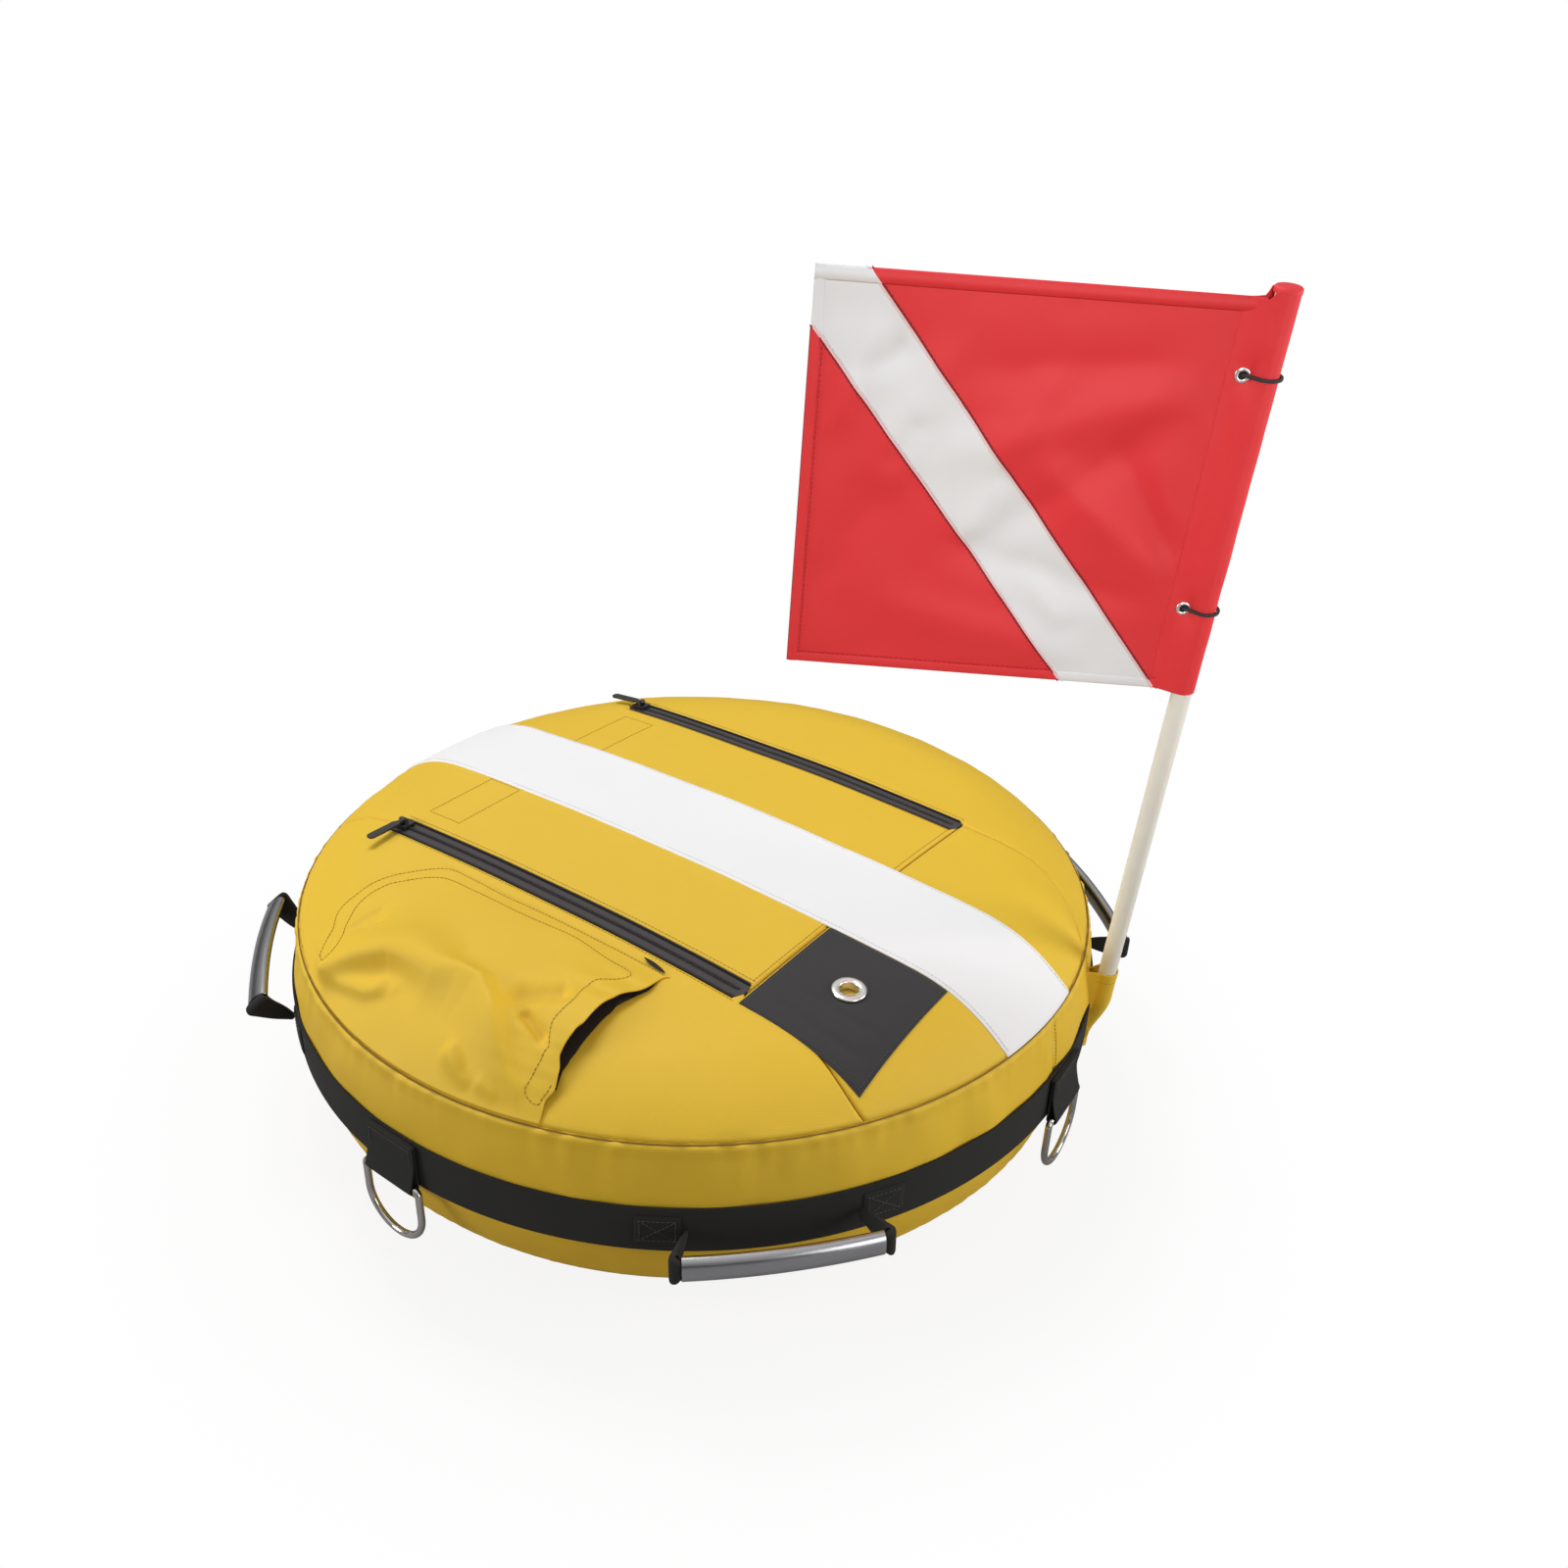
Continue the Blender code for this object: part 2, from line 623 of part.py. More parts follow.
def make_belt():
    inner = FLOAT_RADIUS - BELT_THICKNESS
    low = BELT_HEIGHT - BELT_WIDTH / 2
    high = BELT_HEIGHT + BELT_WIDTH / 2
    section = [(inner, low), (FLOAT_RADIUS, low), (FLOAT_RADIUS, high), (inner, high)]
    revolve("belt_webbing", section, "webbing")


def belt_room():
    """A cutter that keeps a piece off the belt it is sewn to."""
    top = BELT_HEIGHT + BELT_WIDTH / 2 + CLEARANCE
    foot = BELT_HEIGHT - BELT_WIDTH / 2 - CLEARANCE
    side = FLOAT_RADIUS + CLEARANCE
    return revolve("belt_room", [(0, top), (side, top), (side, foot), (0, foot)])


# Stripe and patch


def make_stripe():
    beyond = FLOAT_RADIUS + OVERRUN
    half = STRIPE_WIDTH / 2
    corners = [(-beyond, -half), (beyond, -half), (beyond, half), (-beyond, half)]
    top_layer("white_stripe", CLEARANCE, CLEARANCE + APPLIQUE_THICKNESS, corners, "stripe")


def eyelet_frame():
    """A frame at the eyelet: its Z is square to the cloth."""
    radius = math.hypot(EYELET_PLACE, EYELET_OFFSET)
    foot = Vector((EYELET_PLACE, -EYELET_OFFSET, crown_height(radius)))
    step = CLEARANCE
    slope = (crown_height(radius + step) - crown_height(radius - step)) / (2 * step)
    outward = Vector((EYELET_PLACE, -EYELET_OFFSET, 0)) / radius
    normal = (Vector((0, 0, 1)) - outward * slope).normalized()
    return Matrix.Translation(foot) @ normal.to_track_quat("Z", "Y").to_matrix().to_4x4()


def eyelet_drill_radius():
    return EYELET_HOLE_RADIUS + EYELET_BARREL_WALL + CLEARANCE


def drill_eyelet_hole(piece):
    reach = OVERRUN + COVER_WALL
    drill = cylinder("drill", eyelet_drill_radius(), -reach, reach, EYELET_SIDES, eyelet_frame())
    combine(piece, drill, "DIFFERENCE")


def make_patch():
    corners = [
        (PATCH_START, -PATCH_OUTER_OFFSET), (PATCH_START + PATCH_LENGTH, -PATCH_OUTER_OFFSET),
        (PATCH_START + PATCH_LENGTH, -PATCH_INNER_OFFSET), (PATCH_START, -PATCH_INNER_OFFSET),
    ]
    patch = top_layer("grommet_patch", CLEARANCE, CLEARANCE + APPLIQUE_THICKNESS, corners, "patch")
    drill_eyelet_hole(patch)
    dress(patch, "patch")
    # The eyelet's faces are flat, so they stand off the curved cloth by its rise across the flange.
    top = CLEARANCE * 2 + APPLIQUE_THICKNESS + EYELET_STAND_OFF
    foot = -COVER_WALL - CLEARANCE - EYELET_STAND_OFF
    outer = EYELET_HOLE_RADIUS + EYELET_BARREL_WALL
    section = [
        (EYELET_HOLE_RADIUS, foot - EYELET_WASHER_THICKNESS), (outer, foot - EYELET_WASHER_THICKNESS),
        (outer, top), (EYELET_FLANGE_RADIUS, top),
        (EYELET_FLANGE_RADIUS - EYELET_FLANGE_THICKNESS / 2, top + EYELET_FLANGE_THICKNESS),
        (EYELET_HOLE_RADIUS, top + EYELET_FLANGE_THICKNESS),
    ]
    eyelet = revolve_small("patch_eyelet", section, EYELET_SIDES, "nickel")
    eyelet.matrix_world = eyelet_frame()
    washer_section = [
        (outer + CLEARANCE, foot - EYELET_WASHER_THICKNESS),
        (EYELET_FLANGE_RADIUS, foot - EYELET_WASHER_THICKNESS),
        (EYELET_FLANGE_RADIUS, foot), (outer + CLEARANCE, foot),
    ]
    washer = revolve_small("patch_eyelet_washer", washer_section, EYELET_SIDES, "nickel")
    washer.matrix_world = eyelet_frame()


def revolve_small(name, section, sides, finish):
    """Turn a small closed section about its own Z axis."""
    rings = []
    for index in range(sides):
        turn = math.tau * index / sides
        rings.append([(radius * math.cos(turn), radius * math.sin(turn), height)
                      for radius, height in section])
    return loft(name, rings, finish, closed=True)


# Zips


CHAIN_FOOT_OFFSET = CLEARANCE - COVER_WALL
CHAIN_TOP_OFFSET = CHAIN_FOOT_OFFSET + CHAIN_THICKNESS
SLIDER_CEILING_OFFSET = CHAIN_TOP_OFFSET + SLIDER_RUNNING_GAP
SLIDER_TOP_OFFSET = SLIDER_CEILING_OFFSET + SLIDER_WALL
PIN_OFFSET = SLIDER_TOP_OFFSET + PIN_RISE


def crown_point(x, y, offset):
    """A point over the crown's sphere, moved out along the radius in the plane of the zip."""
    reach = math.sqrt(CROWN_SPHERE_RADIUS ** 2 - y ** 2) + offset
    return Vector((x, y, SPHERE_CENTRE_HEIGHT + math.sqrt(reach ** 2 - x ** 2)))


def slider_frame(y, offset):
    """A frame on the zip at the slider's rest place: X runs along the zip and Z out of the cloth."""
    foot = crown_point(SLIDER_PLACE, y, offset)
    tilt = math.asin(SLIDER_PLACE / (foot - Vector((0, y, SPHERE_CENTRE_HEIGHT))).length)
    return Matrix.Translation(foot) @ Matrix.Rotation(tilt, 4, "Y")


def make_zip_band(side_name, side):
    middle = ZIP_OFFSET * side
    half = ZIP_TAPE_WIDTH / 2
    corners = [
        (ZIP_BACK - OVERRUN, middle - half), (ZIP_FRONT + OVERRUN, middle - half),
        (ZIP_FRONT + OVERRUN, middle + half), (ZIP_BACK - OVERRUN, middle + half),
    ]
    top = -COVER_WALL - CLEARANCE
    top_layer(f"zip_{side_name}_tape", top - ZIP_TAPE_THICKNESS, top, corners, "zip_tape")
    rings = []
    for share in share_steps(CHAIN_STEPS):
        x = between(ZIP_BACK + CHAIN_END_MARGIN / 2, ZIP_FRONT - CHAIN_END_MARGIN, share)
        ring = []
        for across, offset in ((-1, CHAIN_FOOT_OFFSET), (1, CHAIN_FOOT_OFFSET),
                               (1, CHAIN_TOP_OFFSET), (-1, CHAIN_TOP_OFFSET)):
            point = crown_point(x, middle, offset)
            point.y += across * CHAIN_WIDTH / 2
            ring.append(point)
        rings.append(ring)
    loft(f"zip_{side_name}_chain", rings, "zip_metal")


def slider_mesh(name, pin_across):
    """A saddle that straddles the chain, with two posts and the pin that holds the puller."""
    top = SLIDER_WALL
    skirt_foot = SLIDER_SKIRT - SLIDER_RUNNING_GAP - CHAIN_THICKNESS
    inner = CHAIN_WIDTH / 2 + SLIDER_RUNNING_GAP
    outer = SLIDER_WIDTH / 2
    section = [
        (-outer, skirt_foot), (-inner, skirt_foot), (-inner, 0), (inner, 0),
        (inner, skirt_foot), (outer, skirt_foot), (outer, top), (-outer, top),
    ]
    rings = [[(x, across, height) for across, height in section]
             for x in (-SLIDER_LENGTH / 2, SLIDER_LENGTH / 2)]
    body = loft(name, rings)
    turn = Matrix.Rotation(math.radians(90) if pin_across else 0, 4, "Z")
    pin_height = top + PIN_RISE
    spread = PIN_POST_GAP / 2 + PIN_POST_THICKNESS / 2
    for sign in (-1, 1):
        height = pin_height + PIN_RADIUS + PIN_POST_COVER - SLIDER_WALL / 2
        post = block("post", (PIN_POST_THICKNESS, PIN_POST_WIDTH, height),
                     (sign * spread, 0, SLIDER_WALL / 2 + height / 2))
        post.data.transform(turn)
        combine(body, post, "UNION")
    along = turn @ Matrix.Translation((0, 0, pin_height)) @ Matrix.Rotation(math.radians(90), 4, "Y")
    half = spread + PIN_POST_THICKNESS / 4
    combine(body, cylinder("pin", PIN_RADIUS, -half, half, SMALL_SIDES, along), "UNION")
    return dress(body, "zip_metal")


def puller_mesh(name):
    """A flat puller that points along +X from its eye, which turns about the Y axis."""
    eye_turn = Matrix.Rotation(math.radians(90), 4, "X")
    half_eye = PULLER_EYE_WIDTH / 2
    body = cylinder("eye", PULLER_EYE_RADIUS, -half_eye, half_eye, SMALL_SIDES, eye_turn)
    body.name = name
    half_thickness = PULLER_THICKNESS / 2
    neck_end = PULLER_NECK_LENGTH
    half_width = PULLER_WIDTH / 2
    outline = [
        (PIN_RADIUS, -half_eye), (neck_end, -half_eye), (neck_end + half_eye, -half_width),
        (PULLER_LENGTH - half_eye, -half_width), (PULLER_LENGTH, -half_eye),
        (PULLER_LENGTH, half_eye), (PULLER_LENGTH - half_eye, half_width),
        (neck_end + half_eye, half_width), (neck_end, half_eye), (PIN_RADIUS, half_eye),
    ]
    combine(body, prism("tongue", outline, -half_thickness, half_thickness), "UNION")
    bore = cylinder("bore", PIN_RADIUS + CLEARANCE, -PULLER_WIDTH, PULLER_WIDTH, SMALL_SIDES, eye_turn)
    combine(body, bore, "DIFFERENCE")
    return dress(body, "zip_metal")


def puller_place(y, heading, rest_gap):
    """Place of a puller on its pin, drooping until its tip is at its rest gap above the cloth."""
    pin = slider_frame(y, PIN_OFFSET)
    level = pin.to_3x3() @ Vector((*polar(1, heading), 0))
    tip = pin.translation + level * PULLER_LENGTH
    rest = crown_height(math.hypot(tip.x, tip.y)) + rest_gap + PULLER_THICKNESS / 2
    droop = math.asin((pin.translation.z - rest) / PULLER_LENGTH) + math.asin(level.z)
    return pin @ Matrix.Rotation(math.radians(heading), 4, "Z") @ Matrix.Rotation(droop, 4, "Y")


def make_zip_slider(side_name, side, heading):
    middle = ZIP_OFFSET * side
    axle = add_object(f"zip_{side_name}_path_centre", None)
    axle.location = (0, middle, SPHERE_CENTRE_HEIGHT)
    bpy.context.view_layer.update()
    slider = slider_mesh(f"zip_{side_name}_slider", pin_across=heading % 180 == 0)
    slider.parent = axle
    slider.matrix_world = slider_frame(middle, SLIDER_CEILING_OFFSET)
    puller = puller_mesh(f"zip_{side_name}_puller")
    puller.matrix_world = puller_place(middle, heading, PULLER_REST_GAPS[side_name])


# Pocket


def cloth_point(x, y, rise):
    """A point at a rise above the outer cloth, square to it."""
    radius = math.hypot(x, y)
    step = CLEARANCE
    slope = (crown_height(radius + step) - crown_height(radius - step)) / (2 * step)
    outward = Vector((x, y, 0)) / radius
    normal = (Vector((0, 0, 1)) - outward * slope).normalized()
    return Vector((x, y, crown_height(radius))) + normal * rise


def pocket_rise(along, down):
    """Rise of the pocket's inner face: nothing at its sewn edges, most at its open mouth."""
    bell = math.sin(math.pi * down)
    fill = POCKET_FILL * bell * math.sin(math.pi / 2 * min(1, along / POCKET_FILL_SHARE))
    mouth = (POCKET_MOUTH_RISE - POCKET_FILL) * bell ** 2 * along ** POCKET_MOUTH_GROWTH
    run = down * POCKET_FOLD_DOWN_SHARE + along * POCKET_FOLD_ALONG_SHARE
    fold = POCKET_FOLD * bell ** 2 * math.sin(math.pi * along) * math.sin(math.tau * POCKET_FOLDS * run)
    return POCKET_EDGE_RISE + fill + mouth + fold


def make_pocket():
    upper, lower = [], []
    for along in share_steps(POCKET_LENGTH_STEPS):
        top_x = between(POCKET_BACK, POCKET_FRONT, along)
        foot_azimuth = between(POCKET_BACK_AZIMUTH, POCKET_FRONT_AZIMUTH, along)
        foot_x, foot_y = polar(POCKET_BOTTOM_RADIUS, foot_azimuth)
        upper_row, lower_row = [], []
        for down in share_steps(POCKET_DEPTH_STEPS):
            bow = between(POCKET_BACK_BOW, POCKET_MOUTH_BOW, along) * math.sin(math.pi * down)
            x = between(top_x, foot_x, down) - bow
            y = between(-POCKET_TOP_OFFSET, foot_y, down)
            rise = pocket_rise(along, down)
            lower_row.append(cloth_point(x, y, rise))
            upper_row.append(cloth_point(x, y, rise + POCKET_WALL))
        upper.append(upper_row)
        lower.append(lower_row)
    sheet("side_pocket", upper, lower, "cover")


# Inner tube and valve


def crossing(points, radius):
    """Heights at which an open section crosses a radius."""
    heights = []
    for (first_r, first_z), (second_r, second_z) in zip(points, points[1:]):
        if min(first_r, second_r) <= radius < max(first_r, second_r):
            share = (radius - first_r) / (second_r - first_r)
            heights.append(between(first_z, second_z, share))
    return heights


def tube_outline(wall):
    """Section of the inner tube, set in from the cover and rounded towards the middle."""
    inset = []
    for _, height in OUTLINE:
        room = TUBE_UPPER_CLEARANCE if height > BELT_HEIGHT else TUBE_LOWER_CLEARANCE
        inset.append(COVER_WALL + room + wall)
    moved = offset_outline(OUTLINE, inset)[::TUBE_POINT_STEP]
    ceiling, floor = crossing(moved, TUBE_CENTRE_RADIUS)
    middle = (ceiling + floor) / 2
    half = (ceiling - floor) / 2
    inner = []
    for share in share_steps(TUBE_INNER_STEPS):
        turn = math.radians(90 + 180 * share)
        inner.append((TUBE_CENTRE_RADIUS + half * math.cos(turn), middle + half * math.sin(turn)))
    return [point for point in moved if point[0] > TUBE_CENTRE_RADIUS][::-1] + inner


def tube_middle():
    """Height of the tube's middle, and the radius of its inner side."""
    heights = [height for _, height in tube_outline(0)[-TUBE_INNER_STEPS - 1:]]
    ceiling, floor = heights[0], heights[-1]
    return (ceiling + floor) / 2, TUBE_CENTRE_RADIUS - (ceiling - floor) / 2


def make_inner_tube():
    body = revolve("inner_tube", tube_outline(0))
    combine(body, revolve("hollow", tube_outline(TUBE_WALL)), "DIFFERENCE")
    height, inner_radius = tube_middle()
    # The valve points from the tube's inner side towards the middle of the float.
    frame = belt_frame(VALVE_AZIMUTH, inner_radius, height) @ Matrix.Rotation(math.radians(-90), 4, "Y")
    hole_radius = VALVE_RADIUS + CLEARANCE
    drill = cylinder("drill", hole_radius, -TUBE_WALL - OVERRUN, OVERRUN, VALVE_SIDES, frame)
    combine(body, drill, "DIFFERENCE")
    dress(body, "tube")
    stem_section = [
        (VALVE_BORE_RADIUS, -VALVE_DEPTH), (VALVE_RADIUS, -VALVE_DEPTH),
        (VALVE_RADIUS, VALVE_LENGTH), (VALVE_BORE_RADIUS, VALVE_LENGTH),
    ]
    stem = revolve_small("valve_stem", stem_section, VALVE_SIDES, "rubber")
    stem.matrix_world = frame
    bore = VALVE_RADIUS + CLEARANCE
    mouth = -VALVE_CAP_OVERLAP
    crown = VALVE_CAP_LENGTH - VALVE_CAP_OVERLAP
    rings = [
        [(x, y, height) for x, y in circle(radius, VALVE_SIDES)]
        for radius, height in (
            (bore, CLEARANCE), (bore, mouth), (VALVE_CAP_RADIUS, mouth), (VALVE_CAP_RADIUS, crown),
        )
    ]
    cap = loft("valve_cap", rings, "rubber")
    cap.matrix_world = frame @ Matrix.Translation((0, 0, VALVE_LENGTH))


# Handles


def oval(height, depth, steps):
    """Points of a flat-sided oval: (outwards, up) pairs."""
    radius = depth / 2
    straight = height / 2 - radius
    points = []
    for centre, start in ((straight, 0), (-straight, math.pi)):
        for share in share_steps(steps):
            turn = start + math.pi * share
            points.append((radius * math.cos(turn), centre + radius * math.sin(turn)))
    return points


def handle_axis_radius():
    """Distance of a handle's hinge line from the middle of the float, just clear of the belt."""
    inner_edge = HANDLE_LEG_SPREAD - HANDLE_STRAP_THICKNESS / 2
    return math.sqrt(FLOAT_RADIUS ** 2 - inner_edge ** 2) + CLEARANCE + HANDLE_STRAP_ROOT_WIDTH / 2


def grip_station(along):
    """Centre of the bowed grip at a distance along it, and the direction out of its bow."""
    half = GRIP_LENGTH / 2
    bow_radius = (half ** 2 + GRIP_BOW ** 2) / (2 * GRIP_BOW)
    turn = math.asin(along / bow_radius)
    reach = FLOAT_RADIUS + GRIP_REACH - handle_axis_radius()
    centre = Vector((reach - bow_radius * (1 - math.cos(turn)), along, 0))
    return centre, Vector((math.cos(turn), math.sin(turn), 0))


def grip_rings(height, depth):
    half = GRIP_LENGTH / 2
    rings = []
    for share in share_steps(GRIP_STEPS):
        centre, outward = grip_station(between(-half, half, share))
        rings.append([centre + outward * out + Vector((0, 0, up))
                      for out, up in oval(height, depth, GRIP_ROUND_STEPS)])
    return rings


def strap_ring(place, outer_side, half_width, thickness):
    """A flat section of webbing: outer_side points to the outside of its bend."""
    side = outer_side.normalized() * thickness / 2
    up = Vector((0, 0, half_width))
    return [place + side - up, place - side - up, place - side + up, place + side + up]


def handle_strap_rings():
    """Sections of the webbing from one root, through the grip, to the other root."""
    half = GRIP_LENGTH / 2
    end, _ = grip_station(half)
    folded = HANDLE_STRAP_FOLDED_THICKNESS
    thin = HANDLE_STRAP_THICKNESS
    root = Vector((0, HANDLE_LEG_SPREAD, 0))
    # The leg runs out to the grip's mouth, then turns in along the grip.
    shoulder = Vector((end.x - folded, half + folded * STRAP_TURN_SHARE, 0))
    corner = Vector((end.x - folded * CORNER_INSET_SHARE, half + folded * CORNER_OUT_SHARE, 0))
    leg = (shoulder - root).normalized()
    leg_side = Vector((-leg.y, leg.x, 0))
    inward = Vector((0, -1, 0))
    corner_side = leg_side - inward.cross(Vector((0, 0, 1)))
    root_half = HANDLE_STRAP_ROOT_WIDTH / 2
    tip = root - leg * root_half * ROOT_TIP_SHARE
    wide = HANDLE_STRAP_WIDTH / 2
    folded_half = HANDLE_STRAP_FOLDED_WIDTH / 2
    leg_end = between(root, shoulder, LEG_WIDE_SHARE)
    first = [
        strap_ring(tip, leg_side, root_half * ROOT_TIP_WIDTH_SHARE, thin),
        strap_ring(root, leg_side, root_half, thin),
        strap_ring(leg_end, leg_side, wide, thin),
        strap_ring(shoulder, leg_side, wide, thin),
        strap_ring(corner, corner_side, (wide + folded_half) / 2, thin),
    ]
    inside = []
    for share in share_steps(GRIP_STEPS):
        centre, outward = grip_station(between(half, -half, share))
        inside.append(strap_ring(centre, outward, folded_half, folded))
    second = [[Vector((point.x, -point.y, point.z)) for point in ring] for ring in first]
    return first + inside + second[::-1]


def make_handle(name, azimuth):
    lift = Matrix.Rotation(math.radians(-HANDLE_LIFTS[name]), 4, "Y")
    frame = belt_frame(azimuth, handle_axis_radius()) @ lift
    outer = grip_rings(GRIP_HEIGHT, GRIP_DEPTH)
    inner = grip_rings(GRIP_HEIGHT - 2 * GRIP_WALL, GRIP_DEPTH - 2 * GRIP_WALL)
    grip = tube_loft(f"handle_{name}_grip", outer, inner, "steel")
    grip.matrix_world = frame
    strap = loft(f"handle_{name}_strap", handle_strap_rings(), "webbing")
    strap.matrix_world = frame
    for pad_name, side in (("left", -1), ("right", 1)):
        outer_face = CLEARANCE + HANDLE_PAD_THICKNESS
        size = (outer_face + BELT_THICKNESS, HANDLE_PAD_LENGTH, HANDLE_PAD_WIDTH)
        centre = ((outer_face - BELT_THICKNESS) / 2, 0, 0)
        pad = block(f"handle_{name}_{pad_name}_pad", size, centre)
        pad.matrix_world = belt_frame(azimuth + side * HANDLE_PAD_AZIMUTH)
        bpy.context.view_layer.update()
        dress(combine(pad, belt_room(), "DIFFERENCE"), "webbing")


# Towing rings


def ring_path():
    """Middle line of a D shaped ring in its own plane, from its bar's middle: (along, down) pairs."""
    half = RING_WIDTH / 2 - RING_WIRE_RADIUS
    bottom = RING_HEIGHT - RING_WIRE_RADIUS
    corner = RING_CORNER_RADIUS
    points = []
    for share in share_steps(RING_CORNER_STEPS):
        turn = math.radians(90) * (1 - share)
        points.append((half - corner + corner * math.cos(turn), corner - corner * math.sin(turn)))
    for share in share_steps(RING_ROUND_STEPS):
        turn = math.pi * share
        points.append((half * math.cos(turn), bottom - half + half * math.sin(turn)))
    for share in share_steps(RING_CORNER_STEPS):
        turn = math.radians(90) * share
        points.append((-half + corner - corner * math.cos(turn), corner - corner * math.sin(turn)))
    return points


def wire_rings(path, radius, sides, place):
    """Round sections square to a closed flat path; place turns (along, down, side) into a point."""
    rings = []
    for index, (along, down) in enumerate(path):
        before = path[index - 1]
        after = path[(index + 1) % len(path)]
        run = Vector((after[0] - before[0], after[1] - before[1])).normalized()
        normal = Vector((-run.y, run.x))
        ring = []
        for across, side in circle(radius, sides):
            ring.append(place(along + normal.x * across, down + normal.y * across, side))
        rings.append(ring)
    return rings


def make_ring(name, azimuth):
    loop_radius = RING_WIRE_RADIUS + CLEARANCE + TAB_LOOP_WALL
    bar_reach = CLEARANCE + loop_radius
    bar_height = BELT_HEIGHT - BELT_WIDTH / 2 + TAB_BAR_RISE
    frame = belt_frame(azimuth, FLOAT_RADIUS + bar_reach, bar_height)
    rings = wire_rings(
        ring_path(), RING_WIRE_RADIUS, RING_SIDES, lambda along, down, side: (side, along, -down)
    )
    ring = loft(f"d_ring_{name}", rings, "steel", closed=True)
    ring.matrix_world = frame
    top = BELT_HEIGHT + BELT_WIDTH / 2 - TAB_TOP_MARGIN - bar_height
    turn = Matrix.Rotation(math.radians(90), 4, "X")
    half = TAB_WIDTH / 2
    tab = cylinder("loop", loop_radius, -half, half, TAB_SIDES, turn)
    tab.name = f"d_ring_{name}_tab"
    slab = block("slab", (TAB_THICKNESS, TAB_WIDTH, top),
                 (TAB_THICKNESS / 2 - loop_radius, 0, top / 2))
    combine(tab, slab, "UNION")
    bore = cylinder("bore", RING_WIRE_RADIUS + CLEARANCE, -TAB_WIDTH, TAB_WIDTH, TAB_SIDES, turn)
    combine(tab, bore, "DIFFERENCE")
    dress(tab, "webbing")
    tab.matrix_world = frame


# Pole and its sleeve


def pole_frame():
    """A frame at the mouth of the pole's sleeve: Z runs up the pole and X points off the float."""
    reach = CLOTH_RADIUS + CLEARANCE * 2 + SLEEVE_WALL + POLE_RADIUS
    lean_out = math.tan(math.radians(POLE_LEAN_OUT))
    lean_along = math.tan(math.radians(POLE_LEAN_ALONG))
    # The pole's foot stands above the belt, close to the upper band, and leans out from there.
    mouth = belt_frame(SLEEVE_AZIMUTH, reach + lean_out * SOCKET_DEPTH, BELT_HEIGHT + SLEEVE_TOP_RISE)
    up = Vector((lean_out, lean_along, 1)).normalized()
    out = (Vector((1, 0, 0)) - up * up.x).normalized()
    along = up.cross(out)
    axes = Matrix((out, along, up)).transposed().to_4x4()
    return mouth @ axes


def make_sleeve():
    """The sleeve's cloth wraps the pole and flares to the side of the float, where it is sewn on."""
    frame = pole_frame()
    bore = POLE_RADIUS + CLEARANCE
    outer = bore + SLEEVE_WALL
    half = SLEEVE_FLARE_WIDTH / 2
    corners = [(-SLEEVE_FLARE_REACH, -half)]
    for share in share_steps(SLEEVE_SIDES):
        corners.append(polar(outer, between(-SLEEVE_WRAP, SLEEVE_WRAP, share)))
    corners.append((-SLEEVE_FLARE_REACH, half))
    # Below the pole's foot the sleeve narrows and comes in until it lies on the belt.
    foot = [(x - SLEEVE_TAPER, y * SLEEVE_FOOT_WIDTH_SHARE, -SLEEVE_DEPTH) for x, y in corners]
    rings = [foot] + [[(x, y, height) for x, y in corners] for height in (-SOCKET_DEPTH, 0)]
    body = loft("pole_sleeve", rings)
    body.data.transform(frame)
    # Its back is shaped to the side band and the belt that it is sewn over.
    room = [(radius + CLEARANCE, height) for radius, height in OUTLINE if radius > 0]
    combine(body, revolve("cover_room", [(0, room[0][1])] + room + [(0, room[-1][1])]), "DIFFERENCE")
    combine(body, belt_room(), "DIFFERENCE")
    drill = cylinder("drill", bore, SLEEVE_FLOOR - SOCKET_DEPTH, OVERRUN, SLEEVE_SIDES, frame)
    combine(body, drill, "DIFFERENCE")
    dress(body, "cover")


def make_pole():
    foot = SLEEVE_FLOOR + CLEARANCE - SOCKET_DEPTH
    inner = POLE_RADIUS - POLE_WALL
    top = POLE_FREE_LENGTH
    section = [(inner, foot), (POLE_RADIUS, foot), (POLE_RADIUS, top), (inner, top)]
    pole = revolve_small("flag_pole", section, SLEEVE_SIDES, "pole")
    pole.matrix_world = pole_frame()


# Flag


def flag_frame():
    """A frame at the flag's lower hoist corner, on the pole's axis: X runs along the flag, Z up it."""
    pole = pole_frame()
    up = pole.to_3x3() @ Vector((0, 0, 1))
    heading = Vector((*polar(1, FLAG_HEADING), 0))
    along = (heading - up * heading.dot(up)).normalized()
    side = up.cross(along)
    axes = Matrix((along, side, up)).transposed().to_4x4()
    foot = pole.translation + up * (POLE_FREE_LENGTH + CLEARANCE - FLAG_POCKET_RISE - FLAG_HEIGHT)
    return Matrix.Translation(foot) @ axes


FLAG_START = POLE_RADIUS + CLEARANCE * 2 + FLAG_POCKET_WALL


def flag_bow(along, up):
    """Sideways bow of the cloth, which the stiffener holds straight along the top."""
    free = max(0, 1 - up / (FLAG_HEIGHT - HEM_DEPTH))
    reach = (along - FLAG_START) / (FLAG_WIDTH - FLAG_START)
    wave = math.sin(math.tau * (FLAG_FOLDS * reach - FLAG_FOLD_LEAN_SHARE * free))
    return FLAG_FOLD * free * wave * min(1, reach / FLAG_HOIST_STIFF_SHARE)


